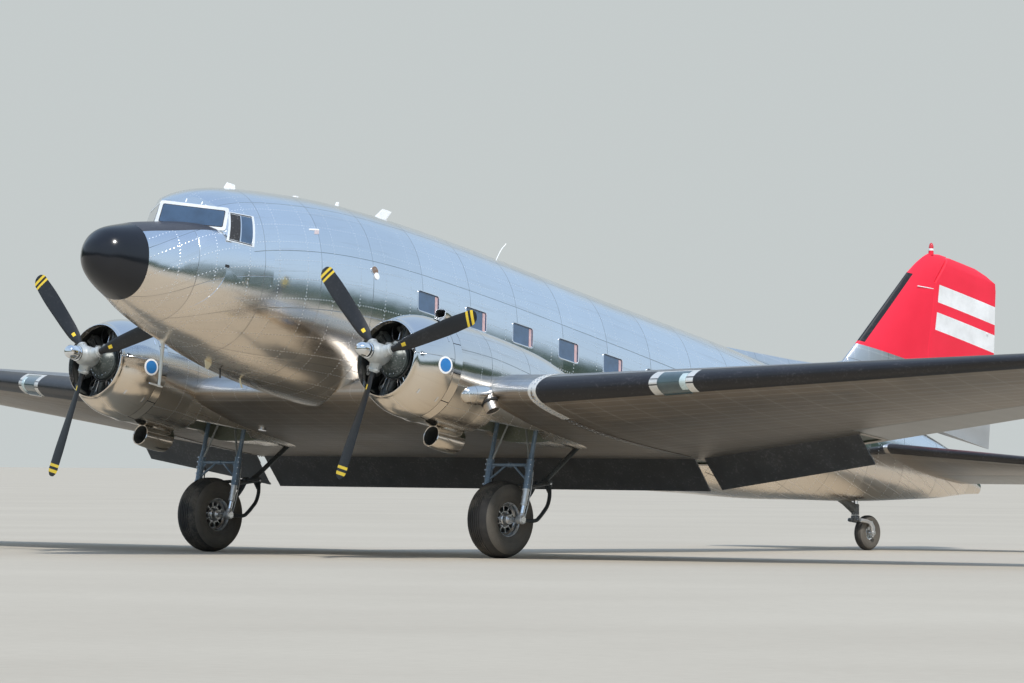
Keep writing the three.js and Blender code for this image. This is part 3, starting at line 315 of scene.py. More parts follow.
# Also lines the hinge coves of fin and tailplane, where its darkness is painted shade in the gap
DARK_STEEL_AND_GAP_SHADE = paint("dark_steel_and_gap_shade", (0.09, 0.085, 0.08), rough=0.45, metal=0.8, wear=0.3)
BRIGHT = paint("bright_metal", (0.83, 0.84, 0.86), rough=0.16, metal=1.0, wear=0.05)
CAST_GREY = paint("cast_grey", (0.34, 0.35, 0.34), rough=0.45, metal=0.5, wear=0.3)
YELLOW = paint("yellow_paint", (0.85, 0.60, 0.04), rough=0.4, wear=0.05)


# Mesh helpers

SIDES = ((1, "left"), (-1, "right"))
PORT, AFT = (1, 0, 0), (0, 1, 0)
WELD = 2e-5


def turns(count):
    """Angles that share a whole turn, in radians."""
    return 2 * math.pi * np.arange(count) / count


def finish_object(obj, body, smooth, node=None):
    """Shades a piece, sharp above an angle in degrees, puts it under its body and hides the imported part of
    the node it stands for.
    """
    obj.data.shade_smooth()
    obj.data.set_sharp_from_angle(angle=math.radians(smooth))
    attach(obj, body)
    if node:
        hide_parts(node)


def raw_object(name, points, faces, materials, uvs=None, ground=False):
    """Object from airframe points, or from metres on the floor if ground is set."""
    mesh = bpy.data.meshes.new(name)
    where = np.asarray(points, float) if ground else to_ground(points)
    mesh.from_pydata([tuple(p) for p in where], [], [tuple(f) for f in faces])
    if uvs is not None:
        layer = mesh.uv_layers.new(name="metres")
        flat = [value for face in uvs for corner in face for value in corner]
        layer.data.foreach_set("uv", flat)
    for material in materials:
        mesh.materials.append(material)
    obj = bpy.data.objects.new(name, mesh)
    bpy.context.scene.collection.objects.link(obj)
    return obj


def boolean(obj, cutter, operation="DIFFERENCE"):
    """Cuts with a second object, or joins it, and then deletes that object."""
    modifier = obj.modifiers.new("cut", "BOOLEAN")
    modifier.operation = operation
    modifier.solver = "MANIFOLD"
    modifier.material_mode = "TRANSFER"
    modifier.object = cutter
    evaluated = obj.evaluated_get(bpy.context.evaluated_depsgraph_get())
    mesh = bpy.data.meshes.new_from_object(evaluated)
    old = obj.data
    obj.modifiers.remove(modifier)
    obj.data = mesh
    bpy.data.meshes.remove(old)
    drop(cutter)
    return obj


def mark_slots(obj, rule):
    """Gives each face the number of its material by a rule on the face's place in the mesh."""
    for index, face in enumerate(obj.data.polygons):
        face.material_index = rule(index)


def drop(obj):
    data = obj.data
    bpy.data.objects.remove(obj)
    bpy.data.meshes.remove(data)


def grid_faces(rings, count, caps=True):
    """Faces of a loft of rings with count points each."""
    faces = []
    for i in range(rings - 1):
        for j in range(count):
            a, b = i * count + j, i * count + (j + 1) % count
            faces.append((a, b, b + count, a + count))
    if caps:
        faces += [
            tuple(reversed(range(count))),
            tuple(range((rings - 1) * count, rings * count)),
        ]
    return faces


def loft(name, rings, materials, caps=True, along=None, round_=None):
    """Skin through rings of equal count. The UV map holds metres along and round the skin."""
    rings = [np.asarray(ring, float) for ring in rings]
    count = len(rings[0])
    points = np.concatenate(rings)
    if along is None:
        centres = np.array([ring.mean(0) for ring in rings])
        along = np.concatenate([[0], np.cumsum(np.linalg.norm(np.diff(centres, axis=0), axis=1))]) / 1000
    if round_ is None:
        round_ = []
        for ring in rings:
            step = np.linalg.norm(np.diff(np.vstack([ring, ring[:1]]), axis=0), axis=1)
            round_.append(np.concatenate([[0], np.cumsum(step)]) / 1000)
    faces, uvs = [], []
    for i in range(len(rings) - 1):
        for j in range(count):
            a, b = i * count + j, i * count + (j + 1) % count
            faces.append((a, b, b + count, a + count))
            uvs.append([
                (along[i], round_[i][j]), (along[i], round_[i][j + 1]),
                (along[i + 1], round_[i + 1][j + 1]), (along[i + 1], round_[i + 1][j]),
            ])
    if caps:
        for ring, order in ((0, range(count - 1, -1, -1)), (len(rings) - 1, range(count))):
            faces.append(tuple(ring * count + j for j in order))
            uvs.append([(along[ring], round_[ring][j]) for j in order])
    middle = points.mean(0)
    volume = 0.0
    for f in faces:
        p0 = points[f[0]] - middle
        for k in range(1, len(f) - 1):
            volume += np.dot(p0, np.cross(points[f[k]] - middle, points[f[k + 1]] - middle))
    if volume < 0:
        faces = [tuple(reversed(f)) for f in faces]
        uvs = [list(reversed(u)) for u in uvs]
    return raw_object(name, points, faces, materials, uvs)


def spline(table, column, places):
    """Natural cubic spline through one column of a table, at the given places."""
    x = np.array([row[0] for row in table], float)
    y = np.array([row[column] for row in table], float)
    count = len(x)
    h = np.diff(x)
    a = np.zeros((count, count))
    rhs = np.zeros(count)
    a[0, 0] = a[-1, -1] = 1
    for i in range(1, count - 1):
        a[i, i - 1], a[i, i], a[i, i + 1] = h[i - 1], 2 * (h[i - 1] + h[i]), h[i]
        rhs[i] = 6 * ((y[i + 1] - y[i]) / h[i] - (y[i] - y[i - 1]) / h[i - 1])
    m = np.linalg.solve(a, rhs)
    out = []
    for place in np.atleast_1d(places):
        i = int(np.clip(np.searchsorted(x, place) - 1, 0, count - 2))
        d0, d1 = place - x[i], x[i + 1] - place
        out.append(
            (m[i] * d1 ** 3 + m[i + 1] * d0 ** 3) / (6 * h[i])
            + (y[i] / h[i] - m[i] * h[i] / 6) * d1 + (y[i + 1] / h[i] - m[i + 1] * h[i] / 6) * d0
        )
    return np.array(out)


# Fuselage and nose. Columns: station, roof, widest level, belly, half width
FUSELAGE = [
    (1050, 440, -330, -990, 745),
    (1180, 600, -330, -1025, 797),
    (1320, 735, -330, -1062, 848),
    (1500, 850, -330, -1105, 910),
    (1950, 1018, -320, -1190, 1030),
    (2400, 1113, -310, -1280, 1110),
    (3000, 1210, -300, -1370, 1180),
    (3800, 1310, -280, -1425, 1225),
    (5500, 1395, -250, -1440, 1245),
    (8000, 1370, -240, -1435, 1240),
    (9900, 1325, -200, -1385, 1210),
    (11200, 1310, -140, -1250, 1150),
    (12700, 1290, -50, -1020, 1010),
    (14200, 1240, 80, -790, 800),
    (15400, 1190, 200, -560, 620),
    (16400, 1150, 300, -375, 480),
    (17300, 1120, 390, -180, 370),
    (18000, 1060, 450, -15, 285),
    (18700, 960, 480, 155, 200),
    (19300, 790, 530, 330, 115),
    (19650, 580, 500, 410, 50),
]
# Columns: station, hood, widest level, belly, half width, fullness of the upper half
NOSE = [
    (0, -220, -310, -410, 100, 2.1),
    (60, -110, -320, -530, 215, 2.1),
    (150, -5, -320, -625, 320, 2.1),
    (300, 85, -325, -725, 410, 2.1),
    (500, 160, -330, -810, 495, 2.15),
    (730, 240, -330, -885, 585, 2.25),
    (1050, 325, -330, -990, 745, 2.5),
    (1500, 425, -330, -1105, 910, 3.2),
    (1950, 470, -320, -1190, 1030, 3.4),
    (2400, 500, -310, -1280, 1110, 3.4),
]
NOSE_TIP = 12.0
CABIN_STATIONS = [*np.arange(1052, 19650, 75), 19650]
NOSE_STATIONS = [*(560 * (i / 40) ** 2 - NOSE_TIP for i in range(41)), *np.arange(640, 2400, 40), 2400]
# Behind this station the nose sinks a little inside the cabin below the shared waist
NOSE_JOIN = {"station": 1050, "waist": -330, "run": 40, "sink": 4 / 900}
BODY_POWER = 2.15
BODY_SIDES = 112
CONE_TOP, CONE_FOOT = (560, 210), (640, -800)
CONE_GAP = 3
POST_FOOT = Vector((0, 1110, 330))
POST_HEAD = Vector((0, 1180, 640))
PANE_CORNER = Vector((750, 1650, 350))
WINDOWS = {"first": 5150, "pitch": 1000, "width": 430, "foot": 30, "head": 320, "corner": 35, "count": 7}
DOOR = {"front": 12150, "back": 12900, "foot": -800, "head": 620, "thick": 60}
ENTRY = {"front": 11800, "back": 13100, "floor": -800, "head": 950, "inner": -600, "wall": 75}
BODY_INNER, BODY_REACH = 500, 1500
DOOR_HINGE = {"x": 1068, "y": 12147, "radius": 12, "heights": (-310, 0), "length": 120, "leaf": 70}
RUN_GAP = 7


def super_ring(y, top, waist, foot, half, power_up, power_down, sides=BODY_SIDES, grow=0.0, x=0.0):
    """Ring that starts at the foot and runs up the port side."""
    angles = -math.pi / 2 + 2 * math.pi * np.arange(sides) / sides
    co, si = np.cos(angles), np.sin(angles)
    power = np.where(si >= 0, power_up, power_down)
    across = np.sign(co) * np.abs(co) ** (2 / power)
    rise = np.sign(si) * np.abs(si) ** (2 / power)
    reach = np.where(si >= 0, top - waist + grow, waist - foot + grow)
    return np.stack([x + (half + grow) * across, np.full(sides, float(y)), waist + reach * rise], 1)


def ring_arc(ring):
    """Metres round a ring, with zero half way round, at its top."""
    step = np.linalg.norm(np.diff(np.vstack([ring, ring[:1]]), axis=0), axis=1)
    total = np.concatenate([[0], np.cumsum(step)])
    return (total - total[-1] / 2) / 1000


def cabin_row(y):
    return [float(spline(FUSELAGE, column, y)[0]) for column in (1, 2, 3, 4)]


def cabin_rings(places, grow=0.0):
    columns = [spline(FUSELAGE, column, places) for column in (1, 2, 3, 4)]
    return [
        super_ring(y, *row, BODY_POWER, BODY_POWER, BODY_SIDES, grow) for y, *row in zip(places, *columns)
    ]


def nose_rings(places):
    """The nose is smooth in the square root of the distance from its tip."""
    table = [(0.0, -310.0, -310.0, -310.0, 0.0, 2.1)]
    table += [(math.sqrt(row[0] + NOSE_TIP), *row[1:]) for row in NOSE]
    rings = []
    for y in places:
        t = math.sqrt(y + NOSE_TIP)
        top, waist, foot, half, power = (float(spline(table, k, t)[0]) for k in range(1, 6))
        rings.append(super_ring(y, top, waist, foot, max(half, 0.5), power, BODY_POWER))
    return rings


def body_skin(name, places, rings, materials):
    return loft(name, rings, materials, along=np.array(places) / 1000, round_=[ring_arc(r) for r in rings])


def turn_outward(obj, weld=None):
    """Turns the faces outwards, after merging points that lie within a distance in metres."""
    mesh = bmesh.new()
    mesh.from_mesh(obj.data)
    if weld:
        bmesh.ops.remove_doubles(mesh, verts=mesh.verts, dist=weld)
    bmesh.ops.recalc_face_normals(mesh, faces=mesh.faces)
    mesh.to_mesh(obj.data)
    mesh.free()
    return obj


def solid(name, points, faces, materials):
    """Closed body whose faces are turned outwards."""
    return turn_outward(raw_object(name, points, faces, materials))


def block(name, low, high, materials):
    points = [(x, y, z) for x in (low[0], high[0]) for y in (low[1], high[1]) for z in (low[2], high[2])]
    faces = [(0, 1, 3, 2), (4, 6, 7, 5), (0, 4, 5, 1), (2, 3, 7, 6), (0, 2, 6, 4), (1, 5, 7, 3)]
    return solid(name, points, faces, materials)


def pane_normal(side):
    corner = Vector((PANE_CORNER.x * side, PANE_CORNER.y, PANE_CORNER.z))
    normal = (corner - POST_FOOT).cross(POST_HEAD - POST_FOOT)
    return normal if normal.y < 0 else -normal


def skin_point(y, z, side=1):
    """Point on the cabin skin at a station and level, and its outward normal."""
    def at(yy, zz):
        top, waist, foot, half = cabin_row(yy)
        reach = top - waist if zz >= waist else waist - foot
        part = min(abs(zz - waist) / reach, 1.0)
        return Vector((side * half * (1 - part ** BODY_POWER) ** (1 / BODY_POWER), yy, zz))
    here = at(y, z)
    normal = (at(y + 40, z) - here).cross(at(y, z + 20) - here).normalized()
    return here, normal if normal.x * side > 0 else -normal


def rounded_outline(width, height, radius):
    steps = 5
    points = []
    for cx, cy, start in ((1, 1, 0), (-1, 1, 90), (-1, -1, 180), (1, -1, 270)):
        for i in range(steps + 1):
            angle = math.radians(start + 90 * i / steps)
            points.append((
                cx * (width / 2 - radius) + radius * math.cos(angle),
                cy * (height / 2 - radius) + radius * math.sin(angle),
            ))
    return points


def window_frame_axes(y, z, side):
    point, normal = skin_point(y, z, side)
    along = Vector(AFT) - normal * normal.y
    along.normalize()
    return point, normal, along, normal.cross(along) * (1 if normal.cross(along).z > 0 else -1)


def outline_prism(name, centre, along, up, normal, outline, low, high, materials=()):
    points, faces = [], []
    count = len(outline)
    for depth in (low, high):
        points += [Vector(centre) + along * a + up * b + normal * depth for a, b in outline]
    for i in range(count):
        faces.append((i, (i + 1) % count, count + (i + 1) % count, count + i))
    faces += [tuple(range(count)), tuple(range(count, 2 * count))]
    return solid(name, points, faces, materials)


def join(name, objects):
    """One object of several, keeping their materials."""
    mesh = bmesh.new()
    materials = []
    for obj in objects:
        slots = []
        for material in obj.data.materials:
            if material not in materials:
                materials.append(material)
            slots.append(materials.index(material))
        start = len(mesh.faces)
        mesh.from_mesh(obj.data)
        mesh.faces.ensure_lookup_table()
        for face in mesh.faces[start:]:
            face.material_index = slots[face.material_index] if slots else 0
    data = bpy.data.meshes.new(name)
    mesh.to_mesh(data)
    mesh.free()
    for material in materials:
        data.materials.append(material)
    joined = bpy.data.objects.new(name, data)
    bpy.context.scene.collection.objects.link(joined)
    for obj in objects:
        drop(obj)
    return joined


def bisect(obj, point, normal, keep_front=False):
    """Cuts off what lies on the far side of a plane given in airframe axes, and closes the cut."""
    place = ground_point(point)
    direction = (ground_point(Vector(point) + Vector(normal)) - place).normalized()
    mesh = bmesh.new()
    mesh.from_mesh(obj.data)
    geometry = mesh.verts[:] + mesh.edges[:] + mesh.faces[:]
    cut = bmesh.ops.bisect_plane(
        mesh, geom=geometry, plane_co=place, plane_no=direction,
        clear_outer=not keep_front, clear_inner=keep_front,
    )
    edges = [e for e in cut["geom_cut"] if isinstance(e, bmesh.types.BMEdge)]
    bmesh.ops.holes_fill(mesh, edges=edges, sides=0)
    mesh.to_mesh(obj.data)
    mesh.free()
    return obj


# Dull paint ahead of the windscreen: its last station, and its middle and half spread in degrees
DECK_END = 1600
DECK_MIDDLE = 88.4
DECK_SPREAD = 43


def build_fuselage():
    """Cabin and nose as one skin, and the nose cone as its own piece."""
    cabin = body_skin("fuselage_skin", CABIN_STATIONS, cabin_rings(CABIN_STATIONS), [BODY_METAL])
    for side, _ in SIDES:
        cabin = bisect(cabin, POST_FOOT, pane_normal(side))
    rings = nose_rings(NOSE_STATIONS)
    waist = NOSE_JOIN["waist"]
    for y, ring in zip(NOSE_STATIONS, rings):
        if y > NOSE_JOIN["station"]:
            low = ring[:, 2] < waist
            sink = min((y - NOSE_JOIN["station"]) / NOSE_JOIN["run"], 1) * NOSE_JOIN["sink"]
            ring[low] += (np.array([0, y, waist]) - ring[low]) * sink
    nose = body_skin("nose_skin", NOSE_STATIONS, rings, [BODY_METAL, ANTI_GLARE])

    def deck(index):
        ring, place = divmod(index, BODY_SIDES)
        if ring >= len(NOSE_STATIONS) - 1 or NOSE_STATIONS[ring] >= DECK_END:
            return 0
        lift = 360 * place / BODY_SIDES - 90
        return int(abs(lift - DECK_MIDDLE) < DECK_SPREAD)
    mark_slots(nose, deck)
    slope = Vector((0, CONE_FOOT[1] - CONE_TOP[1], CONE_TOP[0] - CONE_FOOT[0]))
    ahead = slope if slope.y < 0 else -slope
    edge = (0, CONE_TOP[0], CONE_TOP[1])
    cone = raw_copy(nose, "nose_cone_skin")
    bisect(cone, edge, ahead, keep_front=True)
    bisect(nose, (0, CONE_TOP[0] + CONE_GAP, CONE_TOP[1]), ahead)
    boolean(cabin, nose, "UNION")
    cone.data.materials.clear()
    cone.data.materials.append(BLACK)
    finish_object(cone, "airframe", 40, "nose_cone")
    return cabin


def raw_copy(obj, name):
    copy = bpy.data.objects.new(name, obj.data.copy())
    bpy.context.scene.collection.objects.link(copy)
    return copy


def cabin_window(y, side, name):
    """Cutter, pane, gasket and curtain of one cabin window."""
    middle = (WINDOWS["foot"] + WINDOWS["head"]) / 2
    point, normal, along, up = window_frame_axes(y, middle, side)
    width, height = WINDOWS["width"], WINDOWS["head"] - WINDOWS["foot"]
    axes = along, up, normal
    corner = WINDOWS["corner"]
    cutter = outline_prism(name + "_cut", point, *axes, rounded_outline(width, height, corner), -26, 60)
    shape = rounded_outline(width - 2, height - 2, corner - 1)
    pane = outline_prism(name, point, *axes, shape, -24, -16, [WINDOW_GLASS])
    cloth = rounded_outline(52, height - 24, 10)
    place = Vector(point) + along * (width / 2 - 42)
    curtain = outline_prism(name + "_curtain", place, *axes, cloth, -15, -13, [CURTAIN])
    ring = ring_frame(name + "_frame", point, *axes, width + 6, height + 6, corner + 3, 12, -14, 3)
    return cutter, [pane, curtain, ring]


def ring_frame(name, point, along, up, normal, width, height, radius, band, low, high):
    """Flat frame round an opening."""
    outer = rounded_outline(width + band, height + band, radius + band / 2)
    inner = rounded_outline(width - band, height - band, max(radius - band / 2, 4))
    count = len(outer)
    points, faces = [], []
    for outline, depth in ((outer, low), (outer, high), (inner, high), (inner, low)):
        points += [Vector(point) + along * a + up * b + normal * depth for a, b in outline]
    for k in range(4):
        for i in range(count):
            j = (i + 1) % count
            m = (k + 1) % 4
            faces.append((k * count + i, k * count + j, m * count + j, m * count + i))
    return solid(name, points, faces, [BRIGHT])


CURTAIN = paint("curtain_cloth", (0.62, 0.42, 0.42), rough=0.8, wear=0.0, scale=20)


def dress_fuselage():
    """Skin with its window openings, doorway and entry room."""
    skin = build_fuselage()
    cutters, trims = [], []
    for side, word in SIDES:
        for i in range(WINDOWS["count"]):
            y = WINDOWS["first"] + WINDOWS["pitch"] * i + WINDOWS["width"] / 2
            cutter, pieces = cabin_window(y, side, f"window_{word}_{i + 1}")
            cutters.append(cutter)
            trims += pieces
    boolean(skin, join("window_cutters", cutters))
    room_places = list(np.arange(ENTRY["front"] - 200, ENTRY["back"] + 201, 100))
    room = body_skin("room", room_places, cabin_rings(room_places, -ENTRY["wall"]), [CABIN_WALL])
    hall = block("hall", (ENTRY["inner"], ENTRY["front"], ENTRY["floor"]),
                 (BODY_REACH, ENTRY["back"], ENTRY["head"]), [CABIN_WALL])
    boolean(room, hall, "INTERSECT")
    boolean(skin, room)
    doorway = block("doorway", (BODY_INNER, DOOR["front"] - RUN_GAP, DOOR["foot"] - RUN_GAP),
                    (BODY_REACH, DOOR["back"] + RUN_GAP, DOOR["head"] + RUN_GAP), [CABIN_WALL])
    boolean(skin, doorway)
    finish_object(skin, "airframe", 30, "fuselage")
    trim = join("cabin_windows", trims)
    finish_object(trim, "airframe", 40)


CABIN_WALL = paint("cabin_wall", (0.60, 0.58, 0.53), rough=0.7, wear=0.0)


def dress_door():
    """Entry door with its window, handle and hinges."""
    places = list(np.arange(DOOR["front"] - 100, DOOR["back"] + 101, 50))
    outer = body_skin("entry_door_skin", places, cabin_rings(places), [BODY_METAL])
    inner = body_skin("door_inner", places, cabin_rings(places, -DOOR["thick"]), [CABIN_WALL])
    panel = block("door_panel", (BODY_INNER, DOOR["front"], DOOR["foot"]),
                  (BODY_REACH, DOOR["back"], DOOR["head"]), [BODY_METAL])
    boolean(outer, panel, "INTERSECT")
    boolean(outer, inner)
    y = (DOOR["front"] + DOOR["back"]) / 2
    cutter, pieces = cabin_window(y, 1, "door_window")
    boolean(outer, cutter)
    finish_object(outer, "entry_door", 30, "door_entry")
    point, normal = skin_point(DOOR["back"] - 110, -150)
    along = Vector(AFT)
    up = normal.cross(along) * (1 if normal.cross(along).z > 0 else -1)
    handle, cup = rounded_outline(130, 26, 12), rounded_outline(170, 60, 28)
    pieces += [
        outline_prism("door_handle", point, along, up, normal, handle, 4, 22, [BRIGHT]),
        outline_prism("door_cup", point, along, up, normal, cup, 0, 4, [DARK_STEEL_AND_GAP_SHADE]),
    ]
    x, y, leaf = DOOR_HINGE["x"], DOOR_HINGE["y"], DOOR_HINGE["leaf"]
    for z in DOOR_HINGE["heights"]:
        head = z + DOOR_HINGE["length"]
        pieces.append(rod("door_hinge", (x, y, z), (x, y, head), DOOR_HINGE["radius"], BRIGHT))
        near, far = (x - leaf, DOOR["front"], z), (x + 6, DOOR["front"] + 25, head)
        pieces.append(block("hinge_leaf", near, far, [BRIGHT]))
    fittings = join("door_fittings", pieces)
    finish_object(fittings, "entry_door", 40)


def circle_axes(start, end):
    axis = (Vector(end) - Vector(start)).normalized()
    side = axis.orthogonal().normalized()
    return axis, side, axis.cross(side)


def rod(name, start, end, radius, material, sides=20, end_radius=None, rim=0.12):
    """Round rod with slightly rounded ends."""
    axis, side, other = circle_axes(start, end)
    length = (Vector(end) - Vector(start)).length
    end_radius = radius if end_radius is None else end_radius
    bevel = min(radius, end_radius, length / 2) * rim
    rows = [(0, radius - bevel), (bevel, radius), (length - bevel, end_radius), (length, end_radius - bevel)]
    points = []
    for place, r in rows:
        points += [
            Vector(start) + axis * place + (side * math.cos(a) + other * math.sin(a)) * r
            for a in turns(sides)
        ]
    return solid(name, points, grid_faces(len(rows), sides), [material])


def lathe(name, profile, start, axis, material, sides, closed=False):
    """Turns [place, radius] pairs round an axis that starts at a point. Closed joins the ends."""
    axis = Vector(axis).normalized()
    side = axis.orthogonal().normalized()
    other = axis.cross(side)
    points = []
    for place, radius in profile:
        reach = max(radius, 0.01)
        points += [Vector(start) + axis * place + (side * math.cos(a) + other * math.sin(a)) * reach
                   for a in turns(sides)]
    rows = len(profile)
    faces = grid_faces(rows, sides, caps=not closed)
    if closed:
        faces += [
            ((rows - 1) * sides + i, (rows - 1) * sides + (i + 1) % sides, (i + 1) % sides, i)
            for i in range(sides)
        ]
    return turn_outward(raw_object(name, points, faces, [material]), WELD)


dress_fuselage()
dress_door()


# Wing
CENTRE_HALF = 4270
SEMI_SPAN = 14480
WING_LE = (4397, -1273)
WING_CHORD = 4341
WING_INCIDENCE = math.radians(1.7)
LE_SWEEP = 0.286
TE_SWEEP = -0.023
DIHEDRAL = 0.12
ROOT_THICK = 0.15
TIP_THICK = 0.06
CAMBER = 0.02
CAMBER_PLACE = 0.2
TIP_START = 13600
TIP_CHORD = 1320
FLAP = {"y": 7990, "sweep": 0.0185, "chord": 570, "taper": 0.0165, "barrel": 12, "plate": 18, "bay": 300}
FLAP_DOWN = math.radians(45)
FLAP_RIB = {"half": 12, "deep": 10}
FLAP_SPARE = 120
CENTRE_FLAP_END = 4190
OUTER_FLAP = (4360, 7000)
AILERON = {"inner": 7100, "outer": 13450, "hinge": 0.745, "pin": 10, "spare": 120}
COVE_GAP = 9
COVE_REACH = 260
SLAB_HALF = 16000
PIN_GAP = 0.8
THRUST_X = 2820
THRUST_Z = -1120
BOOT_REACH = 175.0
BOOT_LIMIT = 0.4
BOOT_LIP = 5.0
BACK_STEPS, NOSE_STEPS = 22, 10
NOSE_CROWDING = 1.8
BOOT_START = 4335
LAMP = {"inner": 5950, "outer": 6500}
JACK_PAD = {"x": 1900, "y": 5600, "z": -1590, "radius": 60, "length": 90}
JOINT_BAND = {"half": 58, "high": 7, "bolts": 34, "row": 24}


def camber_line(c):
    p = CAMBER_PLACE
    front = CAMBER / p ** 2 * (2 * p * c - c ** 2)
    back = CAMBER / (1 - p) ** 2 * (1 - 2 * p + 2 * p * c - c ** 2)
    return np.where(c < p, front, back)


def half_thickness(c, thick):
    c = np.maximum(c, 0)
    return 5 * thick * (0.2969 * np.sqrt(c) - 0.126 * c - 0.3516 * c ** 2 + 0.2843 * c ** 3 - 0.1015 * c ** 4)


def wing_section(x):
    out = max(0.0, abs(x) - CENTRE_HALF)
    span = SEMI_SPAN - CENTRE_HALF
    back = WING_LE[0] + WING_CHORD + TE_SWEEP * out
    front = WING_LE[0] + LE_SWEEP * out
    plain = back - front
    tip = max(0.0, (abs(x) - TIP_START) / (SEMI_SPAN - TIP_START))
    chord = plain * max(math.sqrt(max(0.0, 1 - tip ** 2)), 0.12)
    thick = (ROOT_THICK * WING_CHORD * (1 - out / span) + TIP_THICK * TIP_CHORD * out / span) / plain
    return {"x": x, "y": front + (plain - chord) * 0.55, "z": WING_LE[1] + DIHEDRAL * out, "chord": chord,
            "thick": thick, "incidence": WING_INCIDENCE, "cambered": True}


def section_point(section, c, level):
    along, up = section["chord"] * np.asarray(c, float), section["chord"] * np.asarray(level, float)
    co, si = math.cos(section["incidence"]), math.sin(section["incidence"])
    x = np.full(np.shape(along), float(section["x"]))
    return np.stack([x, section["y"] + along * co + up * si, section["z"] + up * co - along * si], -1)


def chord_places(section, boot):
    """Fractions from the trailing edge to the front, with a pair of lines at the boot's edge."""
    edge = min(boot / section["chord"], BOOT_LIMIT)
    rear = edge + (1 - edge) * (1 - (np.arange(BACK_STEPS + 1) / BACK_STEPS) ** 1.15)
    front = edge * (np.arange(NOSE_STEPS, -1, -1) / NOSE_STEPS) ** NOSE_CROWDING
    lip = BOOT_LIP / section["chord"]
    return np.concatenate([rear[:-1], [edge + lip], front])


def section_ring(section, boot=BOOT_REACH, raised=0.0):
    """Ring from the trailing edge over the top to the front and back below."""
    c = chord_places(section, boot)
    camber = camber_line(c) if section["cambered"] else 0 * c
    half = half_thickness(c, section["thick"])
    edge = c[BACK_STEPS + 1]
    grow = np.where(c <= edge + 1e-9, raised / section["chord"], 0)
    top = section_point(section, c, camber + half + grow)
    bottom = section_point(section, c[::-1], (camber - half - grow)[::-1])
    top[:, 1] -= grow * section["chord"] * (c < 0.004)
    bottom[:, 1] -= grow[::-1] * section["chord"] * (c[::-1] < 0.004)
    return np.concatenate([top, bottom[1:]])


def ring_from_front(ring, front_index):
    """Metres round a ring measured from its leading edge."""
    step = np.linalg.norm(np.diff(np.vstack([ring, ring[:1]]), axis=0), axis=1)
    total = np.concatenate([[0], np.cumsum(step)])
    return (total - total[front_index]) / 1000


FRONT_INDEX = BACK_STEPS + 1 + NOSE_STEPS


def surface_loft(name, sections, skin, boot=None, boot_from=0.0, raised=4.0, reach=BOOT_REACH):
    """Wing or tail skin. Faces ahead of the boot's edge and outboard of boot_from take its material."""
    rings = []
    for section in sections:
        up = raised if boot and abs(section["x"]) >= boot_from else 0.0
        rings.append(section_ring(section, reach, up))
    along = np.array([abs(s["x"]) for s in sections]) / 1000
    obj = loft(name, rings, [skin] + ([boot] if boot else []), along=along,
               round_=[ring_from_front(r, FRONT_INDEX) for r in rings])
    if boot:
        count = len(rings[0])
        for index, face in enumerate(obj.data.polygons):
            ring, place = divmod(index, count)
            if ring >= len(rings) - 1:
                continue
            inner = min(abs(sections[ring]["x"]), abs(sections[ring + 1]["x"]))
            if BACK_STEPS < place < count - BACK_STEPS - 2 and inner >= boot_from - 1:
                face.material_index = 1
    return obj


def nose_arc(point, radius, count):
    angles = math.pi / 2 + math.pi * np.arange(count) / (count - 1)
    x = np.full(count, float(point[0]))
    return np.stack([x, point[1] + radius * np.cos(angles), point[2] + radius * np.sin(angles)], 1)


def hinge_of(section, c):
    middle = float(camber_line(np.array(c))) if section["cambered"] else 0.0
    point = section_point(section, c, middle)
    return point, float(half_thickness(np.array(c), section["thick"])) * section["chord"]


def hinged_ring(section, c, dip):
    point, radius = hinge_of(section, c)
    f = c + (1 - c) * np.linspace(1, 0.06, 16)
    camber = camber_line(f) if section["cambered"] else 0 * f
    sag = dip / section["chord"] * np.sin(np.pi * np.clip((f - c) / (1 - c), 0, 1)) ** 0.5
    half = np.maximum(half_thickness(f, section["thick"]) - sag, 0.5 / section["chord"])
    upper, lower = section_point(section, f, camber + half), section_point(section, f, camber - half)
    return np.concatenate([upper, nose_arc(point, radius, 17), lower[::-1]])


def cove_ring(section, c):
    """Round hollow ahead of a hinged surface, open to the back."""
    point, radius = hinge_of(section, c)
    x, y, z = point
    back, high, low = section["y"] + section["chord"] + COVE_REACH, z + COVE_REACH, z - COVE_REACH
    ends = [(x, back, high), (x, y, high)], [(x, y, low), (x, back, low)]
    return np.concatenate([ends[0], nose_arc(point, radius + COVE_GAP, 25), ends[1]])


def slab(start, end, gap=0.0):
    """Large block between two planes square to a line, each moved out by a gap."""
    a, b = Vector(start), Vector(end)
    axis = (b - a).normalized()
    side = axis.orthogonal().normalized()
    other = axis.cross(side)
    points = []
    for centre in (a - axis * gap, b + axis * gap):
        for p, q in ((-1, -1), (1, -1), (1, 1), (-1, 1)):
            points.append(centre + (side * p + other * q) * SLAB_HALF)
    faces = [(3, 2, 1, 0), (4, 5, 6, 7), (0, 1, 5, 4), (1, 2, 6, 5), (2, 3, 7, 6), (3, 0, 4, 7)]
    return solid("slab", points, faces, [])


def plain_loft(name, rings, material):
    return loft(name, rings, [material])


def fabric_surface(name, sections, c, ends):
    """Fabric skin that sags between its ribs, cut square to its hinge line at both ends."""
    rings = [hinged_ring(section, c, section["dip"]) for section in sections]
    obj = loft(name, rings, [FABRIC], along=[abs(s["x"]) / 1000 for s in sections])
    return boolean(obj, slab(*ends), "INTERSECT")


def ribbed(make, x0, x1, pitch, depth, side):
    """Sections along a span, at the ribs and between them, with the sag of each."""
    count = max(2, round(abs(x1 - x0) / pitch))
    sections = []
    for i in range(count * 4 + 1):
        section = make(side * (x0 + (x1 - x0) * i / (count * 4)))
        section["dip"] = depth * math.sin(math.pi * (i % 4) / 4) ** 0.7 if i % 4 else 0.0
        sections.append(section)
    return sections


